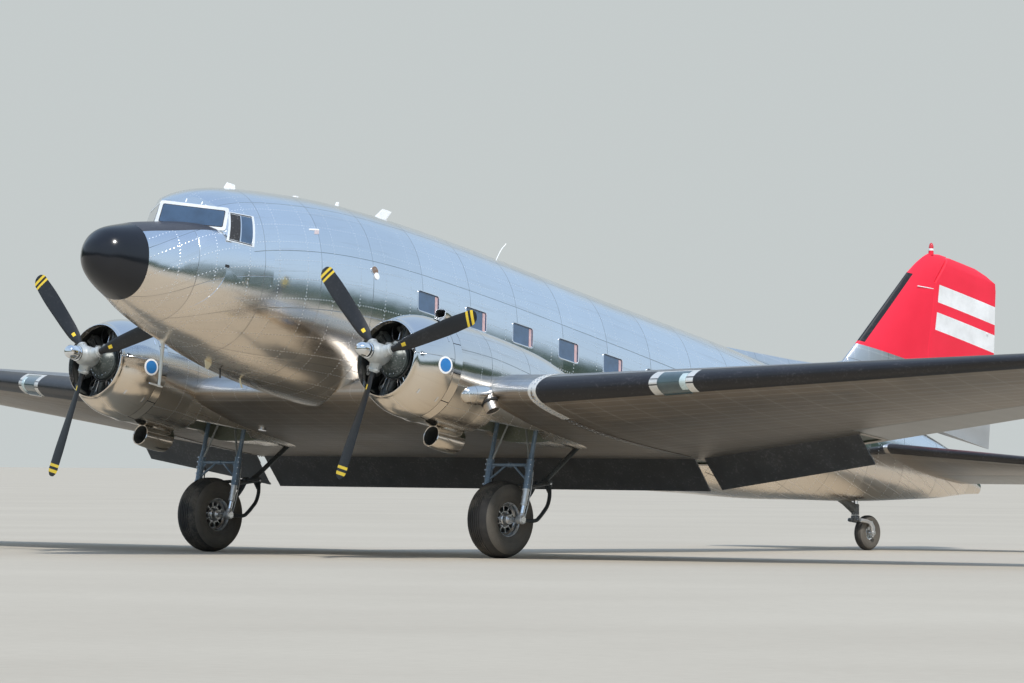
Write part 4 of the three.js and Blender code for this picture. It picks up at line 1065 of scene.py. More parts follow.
def flap_hinge(x):
    section = wing_section(x)
    out = max(0.0, abs(x) - CENTRE_HALF)
    y = FLAP["y"] + FLAP["sweep"] * out
    c = np.array((y - section["y"]) / section["chord"])
    skin = section_point(section, c, camber_line(c) - half_thickness(c, section["thick"]))
    chord = FLAP["chord"] - FLAP["taper"] * out
    end = np.array((y + chord - section["y"]) / section["chord"])
    far = section_point(section, end, camber_line(end) - half_thickness(end, section["thick"]))
    rise = math.atan2(far[2] - skin[2], far[1] - skin[1])
    return np.array([x, skin[1], skin[2] + FLAP["barrel"]]), chord, rise


def along_span(name, x0, x1, ring_at, material):
    first, last = np.asarray(ring_at(x0), float), np.asarray(ring_at(x1), float)
    extra = FLAP_SPARE / abs(x1 - x0)
    rings = [first + (first - last) * extra, last + (last - first) * extra]
    return loft(name, rings, [material])


def flap_bay(x0, x1):
    margin = FLAP["barrel"] + PIN_GAP

    def ring_at(x):
        centre, chord, rise = flap_hinge(x)
        back = chord + RUN_GAP + 2
        far = (x, centre[1] + back * math.cos(rise) - margin * math.sin(rise),
               centre[2] + back * math.sin(rise) + margin * math.cos(rise))
        arc = nose_arc(centre, margin, 9)
        low = centre[2] - FLAP["bay"]
        return np.concatenate([[far], arc, [(x, centre[1], low), (x, far[1], low)]])
    bay = along_span("flap_bay", x0, x1, ring_at, BAY_PAINT)
    ends = (flap_hinge(x0)[0], flap_hinge(x1)[0])
    return boolean(bay, slab(*ends, RUN_GAP), "INTERSECT")


def build_flap(x0, x1, node, body):
    """Split flap: a plate behind a hinge barrel, with pockets between ribs on its upper side."""
    top, root, foot = FLAP["plate"] - FLAP["barrel"], FLAP["barrel"] / 2, -FLAP["barrel"]

    def at(x, forward, level):
        centre, chord, rise = flap_hinge(x)
        angle = rise - FLAP_DOWN
        forward = chord if forward is None else forward
        return (x, centre[1] + math.cos(angle) * forward - math.sin(angle) * level,
                centre[2] + math.sin(angle) * forward + math.cos(angle) * level)

    def ring_at(x):
        places = [(0, -root), (-2 * foot, foot), (None, foot), (None, top), (0, top)]
        return [at(x, forward, level) for forward, level in places]
    # The flap plate takes the near-black painted shade
    plate = along_span("flap_plate", x0, x1, ring_at, FLAP_PAINTED_SHADE)
    ends = (flap_hinge(x0)[0], flap_hinge(x1)[0])
    boolean(plate, slab(*ends), "INTERSECT")
    boolean(plate, rod("barrel", ends[0], ends[1], FLAP["barrel"], BRIGHT, 20, rim=0.0), "UNION")
    pockets = []
    count = max(4, round(abs(x1 - x0) / 400))
    edges = np.linspace(x0, x1, count + 1)
    rib = math.copysign(FLAP_RIB["half"], x1 - x0)
    floor, lip = top - FLAP_RIB["deep"], top + 5
    for near, far in zip(edges[:-1] + rib, edges[1:] - rib):
        for start, end in ((0.08, 0.48), (0.53, 0.93)):
            rings = []
            for x in (near, far):
                chord = flap_hinge(x)[1]
                corners = ((start, floor), (end, floor), (end, lip), (start, lip))
                rings.append(np.array([at(x, share * chord, level) for share, level in corners]))
            pockets.append(loft("pocket", rings, [BAY_PAINT]))
    boolean(plate, join("pockets", pockets))
    flap = join(f"{node}_assembly", [plate])
    finish_object(flap, body, 32, node)


def outline_plate(name, corners, direction, thick, material):
    """Flat plate with the given corners, thickened both ways along a direction."""
    d = Vector(direction).normalized() * thick / 2
    count = len(corners)
    points = [Vector(c) - d for c in corners] + [Vector(c) + d for c in corners]
    faces = [tuple(range(count)), tuple(range(count, 2 * count))]
    faces += [(i, (i + 1) % count, count + (i + 1) % count, count + i) for i in range(count)]
    return solid(name, points, faces, [material])


BAY_PAINT = paint("bay_primer", (0.20, 0.21, 0.16), rough=0.6, wear=0.2)
# The flaps are painted near black: painted shade on their faces that turn forward and down
FLAP_PAINTED_SHADE = paint(
    "flap_painted_shade", (0.16, 0.16, 0.165), rough=0.36, metal=0.7, wear=0.3, scale=2.0, worn=(0.4, 0.4, 0.4)
)


def pin(start, end, radius, length, overlap):
    a = Vector(start)
    direction = (a - Vector(end)).normalized()
    return rod("pin", a - direction * overlap, a + direction * length, radius, BRIGHT, 12, rim=0.0)


def fabric_material():
    """Silver dope on a fine weave, with a painted ground reflection and shade where it faces down."""
    n = Nodes("doped_fabric")
    place = n.place()
    broad = n.noise(place, 1.6, 5.0)
    weave = n.noise(place, 260.0, 2.0)
    base = n.mix(n.ramp(broad, 0.3, 0.7), (0.52, 0.54, 0.56), (0.64, 0.66, 0.68))
    # Faces that look down turn brown: painted ground reflection and shade
    base = n.mix(n.ramp(n.facing(), *GROUND_REFLECTION_EDGE, 0.0, 0.85), base, (0.34, 0.31, 0.27))
    roughness = n.plus(n.times(broad, 0.15), 0.34)
    return n.finish(Base_Color=base, Metallic=0.55, Roughness=roughness, Normal=n.bump(weave, 0.0004, 0.4))


FABRIC = fabric_material()
LAMP_GLASS = glass_material("lamp_glass", (0.035, 0.06, 0.065))
LENS_SILVER = paint("lens_silver", (0.62, 0.74, 0.74), rough=0.25, metal=0.3, wear=0.1)


def wing_stations(side):
    places = [CENTRE_HALF + 0.35, BOOT_START - 1, BOOT_START]
    places += list(np.linspace(4700, 5900, 5)) + [LAMP["inner"], LAMP["outer"]]
    places += list(np.linspace(6800, 13400, 20)) + [TIP_START]
    places += [TIP_START + (SEMI_SPAN - TIP_START) * math.sin(a) for a in np.linspace(0.15, math.pi / 2, 12)]
    return [side * x for x in sorted(places)]


def build_wing(side, word):
    sections = [wing_section(x) for x in wing_stations(side)]
    wing = surface_loft(f"wing_skin_{word}", sections, WING_METAL, BOOT_RUBBER, BOOT_START)
    ends = [
        hinge_of(wing_section(side * x), AILERON["hinge"])[0]
        for x in (AILERON["inner"], AILERON["outer"])
    ]
    spare = [
        wing_section(side * x)
        for x in (AILERON["inner"] - AILERON["spare"], AILERON["outer"] + AILERON["spare"])
    ]
    cove = plain_loft("cove", [cove_ring(s, AILERON["hinge"]) for s in spare], BAY_PAINT)
    boolean(cove, slab(*ends, RUN_GAP), "INTERSECT")
    boolean(wing, cove)
    for a, b in (ends, ends[::-1]):
        boolean(wing, pin(a, b, AILERON["pin"] + PIN_GAP, 48, 40))
    boolean(wing, flap_bay(side * OUTER_FLAP[0], side * OUTER_FLAP[1]))
    finish_object(wing, "airframe", 32, f"wing_{word}")

    c = AILERON["hinge"]
    make = ribbed(
        wing_section, AILERON["inner"] - AILERON["spare"], AILERON["outer"] + AILERON["spare"], 330, 5.0,
        side
    )
    aileron = fabric_surface(f"aileron_skin_{word}", make, c, ends)
    for a, b in (ends, ends[::-1]):
        boolean(aileron, pin(a, b, AILERON["pin"], 45, 40), "UNION")
    finish_object(aileron, f"aileron_body_{word}", 32, f"aileron_{word}")


def build_centre_wing():
    sections = [wing_section(x) for x in np.linspace(-CENTRE_HALF, CENTRE_HALF, 29)]
    wing = surface_loft("wing_centre_skin", sections, WING_METAL)
    boolean(wing, flap_bay(-CENTRE_FLAP_END, CENTRE_FLAP_END))
    cabin = boolean(bpy.data.objects["fuselage_skin"], flap_bay(-CENTRE_FLAP_END, CENTRE_FLAP_END))
    cabin.data.set_sharp_from_angle(angle=math.radians(32))
    pad = JACK_PAD
    for side in (1, -1):
        boolean(wing, wheel_well(side))
        foot = (side * pad["x"], pad["y"], pad["z"])
        top = (foot[0], foot[1], pad["z"] + pad["length"])
        boolean(wing, rod("jack_pad", top, foot, pad["radius"], BRIGHT, 32, rim=0.0), "UNION")
    finish_object(wing, "airframe", 32, "wing_centre")


WELL = {"front": 4640, "back": 6020, "half": 430, "roof": -1120, "floor": -2400}


def wheel_well(side):
    x = side * THRUST_X
    return block("well", (x - WELL["half"], WELL["front"], WELL["floor"]),
                 (x + WELL["half"], WELL["back"], WELL["roof"]), [BAY_PAINT])


def surface_strip(name, x0, x1, reach, heights, materials, steps):
    """Plate on a wing between two spanwise places, from one place round the section to another.

    Places run from -1 at the lower trailing edge through 0 at the front to 1 at the upper one."""
    places = np.linspace(*reach, steps + 1)
    points = []
    for x in (x0, x1):
        section = wing_section(x)
        for grow in heights:
            c = np.abs(places) ** 1.7
            camber = camber_line(c) if section["cambered"] else 0 * c
            lift = grow / section["chord"] * (0.4 + 0.6 * np.minimum(c * 30, 1))
            half = half_thickness(c, section["thick"]) + lift
            ring = section_point(section, c, camber + np.sign(places) * half)
            ring[:, 1] -= grow * np.exp(-c * 90)
            points.append(ring)
    count = len(places)
    flat = np.concatenate(points)
    faces = []
    for a, b in ((0, 1), (1, 3), (3, 2), (2, 0)):
        faces += [
            (a * count + j, a * count + j + 1, b * count + j + 1, b * count + j) for j in range(count - 1)
        ]
    faces += [(0, count, 3 * count, 2 * count), (count - 1, 2 * count - 1, 4 * count - 1, 3 * count - 1)]
    return solid(name, flat, faces, materials)


# Darker brown copy of the band metal for the band's lower rear part: painted shade
BAND_DARK = paint("band_dark", (0.17, 0.145, 0.12), rough=0.36, metal=0.6, wear=0.3, worn=(0.5, 0.45, 0.4))
BAND_METAL = paint(
    "band_metal", (0.80, 0.78, 0.74), rough=0.36, metal=0.55, wear=0.2, scale=2.0, worn=(0.5, 0.45, 0.4)
)
# Strips round the leading edge. Columns: name, inner and outer place along the span, start and end
# round the section, height of foot and face, look, steps
NOSE_STRIPS = [
    ("boot_edge", BOOT_START - 26, BOOT_START, -0.17, 0.17, -2, 6, BAND_METAL, 30),
    ("lamp_frame", LAMP["inner"] - 30, LAMP["outer"] + 30, -0.165, 0.15, -2, 5, BAND_METAL, 30),
    ("lamp_glass", LAMP["inner"] + 85, LAMP["outer"] - 70, -0.18, 0.13, 0, 7, LAMP_GLASS, 30),
    ("lamp_lens", LAMP["outer"] - 155, LAMP["outer"] - 70, -0.115, 0.085, 0, 9, LENS_SILVER, 24),
]
# Columns: start and end of the joint band round the section, look
# The lower rear part of the band takes the darker copy: painted shade
BAND_PARTS = [(0.0, 0.93, BAND_METAL), (-0.36, 0.0, BAND_METAL), (-0.86, -0.36, BAND_DARK)]


def build_wing_trim(side, word):
    """Joint band over the wing root with its bolts, the boot's root edge and the landing lamp."""
    band = JOINT_BAND
    pieces = []
    inner, outer = side * (CENTRE_HALF - band["half"]), side * (CENTRE_HALF + band["half"])
    for start, end, look in BAND_PARTS:
        strip = surface_strip("joint_band", inner, outer, (start, end), (-3, band["high"]), [look], 60)
        pieces.append(strip)
    section = wing_section(side * CENTRE_HALF)
    for level in (1, -1):
        for i in range(1, band["bolts"]):
            c = np.array((i / band["bolts"] * 0.9) ** 1.4)
            mid, half = camber_line(c), half_thickness(c, section["thick"])
            for across in (-band["row"], band["row"]):
                here = section_point(section, c, mid + level * half) + (across, 0, 0)
                there = here + (0, 0, level * (band["high"] + 5))
                pieces.append(rod("band_bolt", here, there, 9, BRIGHT, 8))
    for name, x0, x1, start, end, low, high, look, steps in NOSE_STRIPS:
        strip = surface_strip(name, side * x0, side * x1, (start, end), (low, high), [look], steps)
        pieces.append(strip)
    trim = join(f"wing_trim_{word}", pieces)
    finish_object(trim, "airframe", 35)


build_centre_wing()
build_flap(-CENTRE_FLAP_END, CENTRE_FLAP_END, "flap_centre", "flap_body_centre")
for side, word in SIDES:
    build_wing(side, word)
    build_wing_trim(side, word)
    build_flap(side * OUTER_FLAP[0], side * OUTER_FLAP[1], f"flap_{word}", f"flap_body_{word}")


# Tail. Fin rows: height, leading edge, rudder trailing edge, thickness
FIN = [
    (900, 15100, 19810, 300),
    (1600, 15800, 19725, 290),
    (2120, 16200, 19660, 270),
    (2800, 16700, 19575, 230),
    (3440, 17170, 19460, 160),
    (3640, 17360, 19430, 130),
    (3760, 17500, 19390, 105),
    (3830, 17600, 19120, 80),
    (3880, 17860, 18800, 50),
]
DORSAL = [
    (12800, 1180, 1290, 60), (14650, 1080, 1470, 130), (15400, 1000, 1560, 140), (15900, 900, 1730, 140)
]
RUDDER_HINGE = 17820
RUDDER_FOOT = 1160
RUDDER_PIN = 18
HORN = {"low": 3420, "lead": 60, "slope": 0.62, "spare": 10, "rudder_slope": 0.69, "vee": 0.62}
FIN_REACH, TAIL_END, FIN_TOP, FIN_AHEAD = 600, 20200, 4000, 17000
STAB_LE = (16530, 550)
STAB_TE = (18990, 440)
STAB_SWEEP = 0.33
STAB_SEMI_SPAN = 4065
STAB_TIP = 3450
STAB_THICK = 0.115
ELEVATOR = {"inner": 430, "hinge": 18100}
TAIL_BOOT = 110.0
FIN_BOOT = 125.0
PAINT_EDGE = 2060
BOOT_ENDS = (2115, 3425)


def fin_row(z):
    rows = np.array(FIN, float)
    return [z] + [float(np.interp(z, rows[:, 0], rows[:, k])) for k in (1, 2, 3)]


def fin_half(c, thick):
    return thick / 2 * half_thickness(np.clip(c, 0, 1), 0.5) / half_thickness(np.array(0.3), 0.5)


def fin_ring(row):
    z, front, back, thick = row
    chord = back - front
    edge = min(FIN_BOOT / chord, BOOT_LIMIT)
    c = np.concatenate([edge + (1 - edge) * (1 - np.arange(16) / 16), [edge + 3 / chord],
                        edge * (np.arange(8, -1, -1) / 8) ** NOSE_CROWDING])
    half = fin_half(c, thick)
    port = np.stack([half, front + chord * c, np.full(len(c), z)], 1)
    far = port[::-1] * (-1, 1, 1)
    return np.concatenate([port, far[1:]])


def rudder_arc(radius, z, count):
    angles = math.pi * np.arange(count) / (count - 1)
    return np.stack([radius * np.cos(angles), RUDDER_HINGE - radius * np.sin(angles), np.full(count, z)], 1)


def rudder_ring(row, dip=0.0):
    z, front, back, thick = row
    c = (RUDDER_HINGE - front) / (back - front)
    f = c + (1 - c) * np.linspace(1, 0.05, 16)
    sag = dip * np.sin(np.pi * np.clip((f - c) / (1 - c), 0, 1)) ** 0.5
    half = np.maximum(fin_half(f, thick) - sag, 1.0)
    port = np.stack([half, front + (back - front) * f, np.full(16, z)], 1)
    radius = float(fin_half(np.array(c), thick))
    return np.concatenate([port, rudder_arc(radius, z, 17), port[::-1] * (-1, 1, 1)])


def fin_edge(z):
    return RUDDER_HINGE - HORN["lead"] + (z - HORN["low"]) * HORN["slope"]


def rudder_edge(z):
    return RUDDER_HINGE - HORN["lead"] + HORN["spare"] + (z - HORN["low"]) * HORN["rudder_slope"]


def build_fin():
    heights = [
        900, 1200, 1600, 1900, PAINT_EDGE - 1, PAINT_EDGE, BOOT_ENDS[0], 2300, 2550, 2800, 3100,
        BOOT_ENDS[1], 3540, 3640, 3700, 3760, 3795, 3830, 3855, 3880
    ]
    rings = [fin_ring(fin_row(z)) for z in heights]
    fin = loft("fin_skin", rings, [RED, TAIL_METAL, BOOT_RUBBER], along=[z / 1000 for z in heights])
    count = len(rings[0])
    for index, face in enumerate(fin.data.polygons):
        ring, place = divmod(index, count)
        if ring >= len(heights) - 1:
            face.material_index = 1 if index == (len(heights) - 1) * count else 0
            continue
        low, high = heights[ring], heights[ring + 1]
        if high <= PAINT_EDGE:
            face.material_index = 1
        elif low >= BOOT_ENDS[0] and high <= BOOT_ENDS[1] and 17 < place < count - 18:
            face.material_index = 2
    dorsal_rings = []
    for y in np.linspace(DORSAL[0][0], DORSAL[-1][0], 14):
        foot, top, half = (
            float(np.interp(y, [r[0] for r in DORSAL], [r[k] for r in DORSAL])) for k in (1, 2, 3)
        )
        angles = np.linspace(0, math.pi, 13)
        ring = np.stack(
            [half * np.cos(angles) ** 3, np.full(13, y), top - (top - foot) * (1 - np.sin(angles)) ** 1.4],
            1
        )
        dorsal_rings.append(ring)
    dorsal = loft("dorsal", dorsal_rings, [TAIL_METAL], along=np.linspace(12.8, 15.9, 14))
    boolean(fin, dorsal, "UNION")
    cove_rings = []
    for z in (850, 1600, 2120, 2800, HORN["low"]):
        row = fin_row(z)
        radius = float(fin_half(np.array((RUDDER_HINGE - row[1]) / (row[2] - row[1])), row[3]))
        ends = np.array([(FIN_REACH, TAIL_END, z)]), np.array([(-FIN_REACH, TAIL_END, z)])
        cove_rings.append(np.concatenate([ends[0], rudder_arc(radius + COVE_GAP, z, 25), ends[1]]))
    # The cove's cut faces are dark: painted shade in the gap ahead of the rudder
    boolean(fin, loft("cove", cove_rings, [DARK_STEEL_AND_GAP_SHADE]))
    cut = [[(FIN_REACH, fin_edge(z), z), (FIN_REACH, TAIL_END, z), (-FIN_REACH, TAIL_END, z),
            (-FIN_REACH, fin_edge(z), z)] for z in (HORN["low"] - 2, FIN_TOP)]
    boolean(fin, loft("horn_cut", cut, [RED]))
    finish_object(fin, "airframe", 32, "fin")


BANDS = [(2680, 2960), (3120, 3400)]
LAMP_PLACE = (19329, 2934)


def build_rudder():
    ribs = [RUDDER_FOOT, 1450, 1750, PAINT_EDGE, 2370, *BANDS[0], *BANDS[1], 3640, 3760, 3830, 3875]
    heights, rings = [], []
    for low, high in zip(ribs, ribs[1:]):
        for part in (0, 0.25, 0.5, 0.75):
            z = low + (high - low) * part
            heights.append(z)
            rings.append(rudder_ring(fin_row(z), 4.0 * math.sin(math.pi * part) if z < 3640 else 0.0))
    heights.append(ribs[-1])
    rings.append(rudder_ring(fin_row(ribs[-1])))
    rudder = loft("rudder_skin", rings, [RED_FABRIC, FABRIC, WHITE], along=[z / 1000 for z in heights])
    count = len(rings[0])
    for index, face in enumerate(rudder.data.polygons):
        ring, place = divmod(index, count)
        if ring >= len(heights) - 1:
            face.material_index = 1 if index == (len(heights) - 1) * count else 0
        elif heights[ring + 1] <= PAINT_EDGE:
            face.material_index = 1
        elif any(
            low <= heights[ring] and heights[ring + 1] <= high for low, high in BANDS
        ) and (place < 15 or place > 32):
            face.material_index = 2
    ahead = []
    for z in (HORN["low"] - 20, FIN_TOP):
        edge = rudder_edge(z)
        wing = edge + FIN_REACH * HORN["vee"]
        ahead.append([(FIN_REACH, FIN_AHEAD, z), (FIN_REACH, wing, z), (0, edge, z), (-FIN_REACH, wing, z),
                      (-FIN_REACH, FIN_AHEAD, z)])
    boolean(rudder, loft("ahead", ahead, [RED_FABRIC]))
    foot, head = (0, RUDDER_HINGE, 960), (0, RUDDER_HINGE, RUDDER_FOOT + 30)
    boolean(rudder, rod("rudder_pin", foot, head, RUDDER_PIN, BRIGHT, 14, rim=0.0), "UNION")
    finish_object(rudder, "rudder_body", 32, "rudder")


def build_tail_fittings():
    """Thin rails by the horn on both sides, and a small lamp on the rudder."""
    for side, word in SIDES:
        rail = [(side * 92, 17355, 3253), (side * 88, 17560, 3278), (side * 80, 17770, 3303)]
        piece = tube(f"fin_rail_{word}", curve_through(rail, 4), 8, WHITE, 10)
        finish_object(piece, "airframe", 35)
        rail = [(side * 78, 17860, 3314), (side * 72, 18030, 3335), (side * 64, 18205, 3356)]
        piece = tube(f"rudder_rail_{word}", curve_through(rail, 4), 8, WHITE, 10)
        finish_object(piece, "rudder_body", 35)
    y, z = LAMP_PLACE
    lamp = rod("rudder_lamp", (-34, y, z), (34, y, z), 22, WHITE, 24)
    finish_object(lamp, "rudder_body", 35)


def stab_section(x):
    out = abs(x)
    front = STAB_LE[0] + STAB_SWEEP * out
    plain = STAB_TE[0] - front
    tip = max(0.0, (out - STAB_TIP) / (STAB_SEMI_SPAN - STAB_TIP))
    chord = plain * max(math.sqrt(max(0.0, 1 - tip ** 2)), 0.12)
    incidence = math.atan((STAB_LE[1] - STAB_TE[1]) / (STAB_TE[0] - STAB_LE[0]))
    z = STAB_LE[1] - (front - STAB_LE[0]) * math.tan(incidence)
    return {"x": x, "y": front + (plain - chord) * 0.6, "z": z, "chord": chord, "thick": STAB_THICK,
            "incidence": incidence, "cambered": False}


def elevator_fraction(section):
    return (ELEVATOR["hinge"] - section["y"]) / (section["chord"] * math.cos(section["incidence"]))


def torque_tube(side, radius, reach):
    section = stab_section(ELEVATOR["inner"])
    point = hinge_of(section, elevator_fraction(section))[0]
    return rod(
        "torque_tube", (side * (ELEVATOR["inner"] + 30), point[1], point[2]),
        (side * reach, point[1], point[2]), radius, BRIGHT, 14, rim=0.0
    )


def build_stabilizer(side, word):
    places = [100, 300, 470, 800, 1200, 1600, 2000, 2400, 2800, 3200, STAB_TIP]
    places += [
        STAB_TIP + (STAB_SEMI_SPAN - STAB_TIP) * math.sin(a) for a in np.linspace(0.2, math.pi / 2, 10)
    ]
    sections = [stab_section(side * x) for x in places]
    skin = surface_loft(f"tailplane_skin_{word}", sections, TAIL_METAL, BOOT_RUBBER, 470, 3.0, TAIL_BOOT)
    rings = []
    for x in (ELEVATOR["inner"] - RUN_GAP, 1800, STAB_TIP, 4200):
        section = stab_section(side * min(x, STAB_TIP))
        section["x"] = side * x
        rings.append(cove_ring(section, elevator_fraction(section)))
    # The cove's cut faces are dark: painted shade in the gap ahead of the elevator
    boolean(skin, loft("cove", rings, [DARK_STEEL_AND_GAP_SHADE]))
    boolean(skin, torque_tube(side, 22 + PIN_GAP, 120))
    finish_object(skin, "airframe", 32, f"tailplane_{word}")

    sections = ribbed(stab_section, ELEVATOR["inner"], STAB_TIP, 300, 4.0, side)
    for x in (3560, 3650, 3750, 3830, 3900):
        section = stab_section(side * x)
        section["dip"] = 0.0
        sections.append(section)
    rings = [hinged_ring(s, elevator_fraction(s), s["dip"]) for s in sections]
    elevator = loft(f"elevator_skin_{word}", rings, [FABRIC], along=[abs(s["x"]) / 1000 for s in sections])
    boolean(elevator, torque_tube(side, 22, 130), "UNION")
    finish_object(elevator, f"elevator_body_{word}", 32, f"elevator_{word}")


RED_FABRIC = paint("red_fabric", (1.0, 0.022, 0.058), rough=0.38, wear=0.0, scale=1.5, spread=0.07)
build_fin()
build_rudder()
for side, word in SIDES:
    build_stabilizer(side, word)


# Power plants. Nacelle rows: station, top, widest level, foot, half width, power of the lower half
NACELLE = [
    (3790, -435, -1140, -1845, 700, 2.1),
    (4370, -400, -1120, -1830, 690, 2.3),
    (4900, -400, -1120, -1780, 665, 3.0),
    (5140, -410, -1120, -1720, 650, 3.6),
    (5930, -480, -1130, -1665, 610, 4.5),
    (6600, -650, -1160, -1590, 540, 4.5),
    (7300, -880, -1230, -1500, 420, 4.0),
    (7850, -1130, -1290, -1440, 230, 3.0),
]
SILL = [(4660, -2400), (4660, -1640), (5740, -1562), (5900, -1655), (5900, -2400)]
NACELLE_POWER = 2.1
NACELLE_SIDES = 72
COWL = {"z": -1140, "lip": 3030, "lip_radius": 515, "radius": 705, "throat": 490, "inner": 640}
LIP = {"deep": 60, "high": 25, "run": 540, "power": 2.3}
COWL_FLAPS = {
    "front": 3642, "back": 3780, "count": 9, "start": 28, "end": 332, "gap": 1.0, "open": 12, "thick": 6
}
# Profiles turned round an axis: place along it and radius
COWL_CORE = [(3600, 622), (3786, 668), (3786, 600), (3600, 600)]
LATCH = {"stations": (3250, 3560), "turns": (58, 130), "half": 12, "spread": 3.2}
CYLINDERS = {"foot": 180, "rows": ((3370, 0.0), (3560, math.pi / 7)), "count": 7}
PROP = {"radius": 1753, "plane": 2895, "front": 2685, "dome": 2465, "shaft": 55}
BLADE_TURN = {"left": -47, "right": -48}
PITCH = (-28, -6)
BLADE = [
    (90, 90, 90), (260, 100, 88), (420, 152, 60), (700, 198, 40), (1050, 222, 27), (1400, 232, 18),
    (1620, 218, 12), (1710, 165, 8), (1753, 60, 5),
]
TIP_STRIPES = (1575, 1615, 1655, 1700)
DISC = {"station": 3480, "radius": 118, "rim": 26, "low": -0.03}
BLADE_BAND = (430, 500)


def nacelle_rings(places, x):
    rings = []
    columns = [spline(NACELLE, k, places) for k in (1, 2, 3, 4)]
    powers = np.interp(places, [r[0] for r in NACELLE], [r[5] for r in NACELLE])
    for i, y in enumerate(places):
        top, waist, foot, half = (column[i] for column in columns)
        rings.append(super_ring(y, top, waist, foot, half, NACELLE_POWER, powers[i], NACELLE_SIDES, x=x))
    return rings


def build_nacelle(side, word):
    x = side * THRUST_X
    places = list(np.arange(3792, 7850, 62)) + [7850]
    nacelle = body_skin(f"nacelle_skin_{word}", places, nacelle_rings(places, x), [NACELLE_METAL])
    intake = scoop(f"scoop_{word}", x)
    boolean(nacelle, wheel_well(side))
    wing = plain_loft(
        "wing_space", [section_ring(wing_section(s)) for s in np.linspace(-CENTRE_HALF, CENTRE_HALF, 9)],
        NACELLE_METAL
    )
    boolean(nacelle, wing)
    sill = [[(x + out, y, z) for y, z in SILL] for out in (-800, 800)]
    boolean(nacelle, plain_loft("sill_cut", sill, NACELLE_METAL))
    boolean(nacelle, intake, "UNION")
    # The hollow cut into the scoop is lined black: painted shade inside its mouth
    mouth = [scoop_ring(x, 3940, -315, 88, 53), scoop_ring(x, 4120, -345, 80, 46)]
    boolean(nacelle, plain_loft("mouth", mouth, MATT_BLACK))
    finish_object(nacelle, "airframe", 35, f"nacelle_{word}")


def scoop_ring(x, y, z, wide, high):
    """Rounded oblong, a little narrower at its foot."""
    angles = turns(40)
    co, si = np.cos(angles), np.sin(angles)
    across = np.sign(co) * np.abs(co) ** 0.6 * (1 + 0.12 * si)
    return np.stack([x + wide * across, np.full(40, float(y)), z + high * np.sign(si) * np.abs(si) ** 0.6], 1)


def scoop(name, x):
    """Air scoop that sinks back into the nacelle's roof."""
    rings = [scoop_ring(x, 3949, -345, 94, 90), scoop_ring(x, 3953, -345, 99, 95)]
    for part in np.linspace(0.04, 1, 12):
        rings.append(scoop_ring(
            x, 3950 + 380 * part, -345 - 135 * part ** 1.5, 101 - 40 * part ** 2, 96 - 40 * part ** 1.6
        ))
    return loft(name, rings, [COWL_METAL])


def curved_plate(name, x, z, front, back, angles, radii, thick, materials):
    """Plate bent round an axis along y, between two angles from straight up."""
    steps = max(4, int(abs(angles[1] - angles[0]) / 3))
    points = []
    rows = [(front, radii[0]), (back, radii[1]), (back, radii[1] - thick), (front, radii[0] - thick)]
    for y, radius in rows:
        for i in range(steps + 1):
            angle = math.radians(angles[0] + (angles[1] - angles[0]) * i / steps)
            points.append((x + radius * math.sin(angle), y, z + radius * math.cos(angle)))
    n = steps + 1
    faces = [
        (r * n + i, r * n + i + 1, (r + 1) % 4 * n + i + 1, (r + 1) % 4 * n + i) for r in range(4)
        for i in range(steps)
    ]
    faces += [(0, n, 2 * n, 3 * n), (n - 1, 2 * n - 1, 3 * n - 1, 4 * n - 1)]
    return solid(name, points, faces, materials)


def cowl_radius(y):
    """Outer radius of the cowl behind its round lip."""
    part = min(max((y - COWL["lip"] - LIP["deep"]) / LIP["run"], 0), 1)
    return COWL["radius"] - (COWL["radius"] - COWL["lip_radius"] - LIP["high"]) * (1 - part) ** LIP["power"]


def cowl_profile():
    """Station and radius of each point, round the lip, along the outside and back inside."""
    front = COWL["lip"] + LIP["deep"]
    angles = np.linspace(math.pi, math.pi / 2, 15)
    arc = [
        (front + LIP["deep"] * math.cos(a), COWL["lip_radius"] + LIP["high"] * math.sin(a))
        for a in angles
    ]
    outer = [(y, cowl_radius(y)) for y in np.linspace(front, front + LIP["run"], 17)[1:]]
    back = COWL_FLAPS["front"] - 6
    return arc + outer + [(back, COWL["radius"]), (back, COWL["inner"] + 30)] + [
        (COWL["lip"] + 300, COWL["inner"] + 20), (COWL["lip"] + 150, COWL["throat"] + 95),
        (COWL["lip"] + 70, COWL["throat"] + 12)]


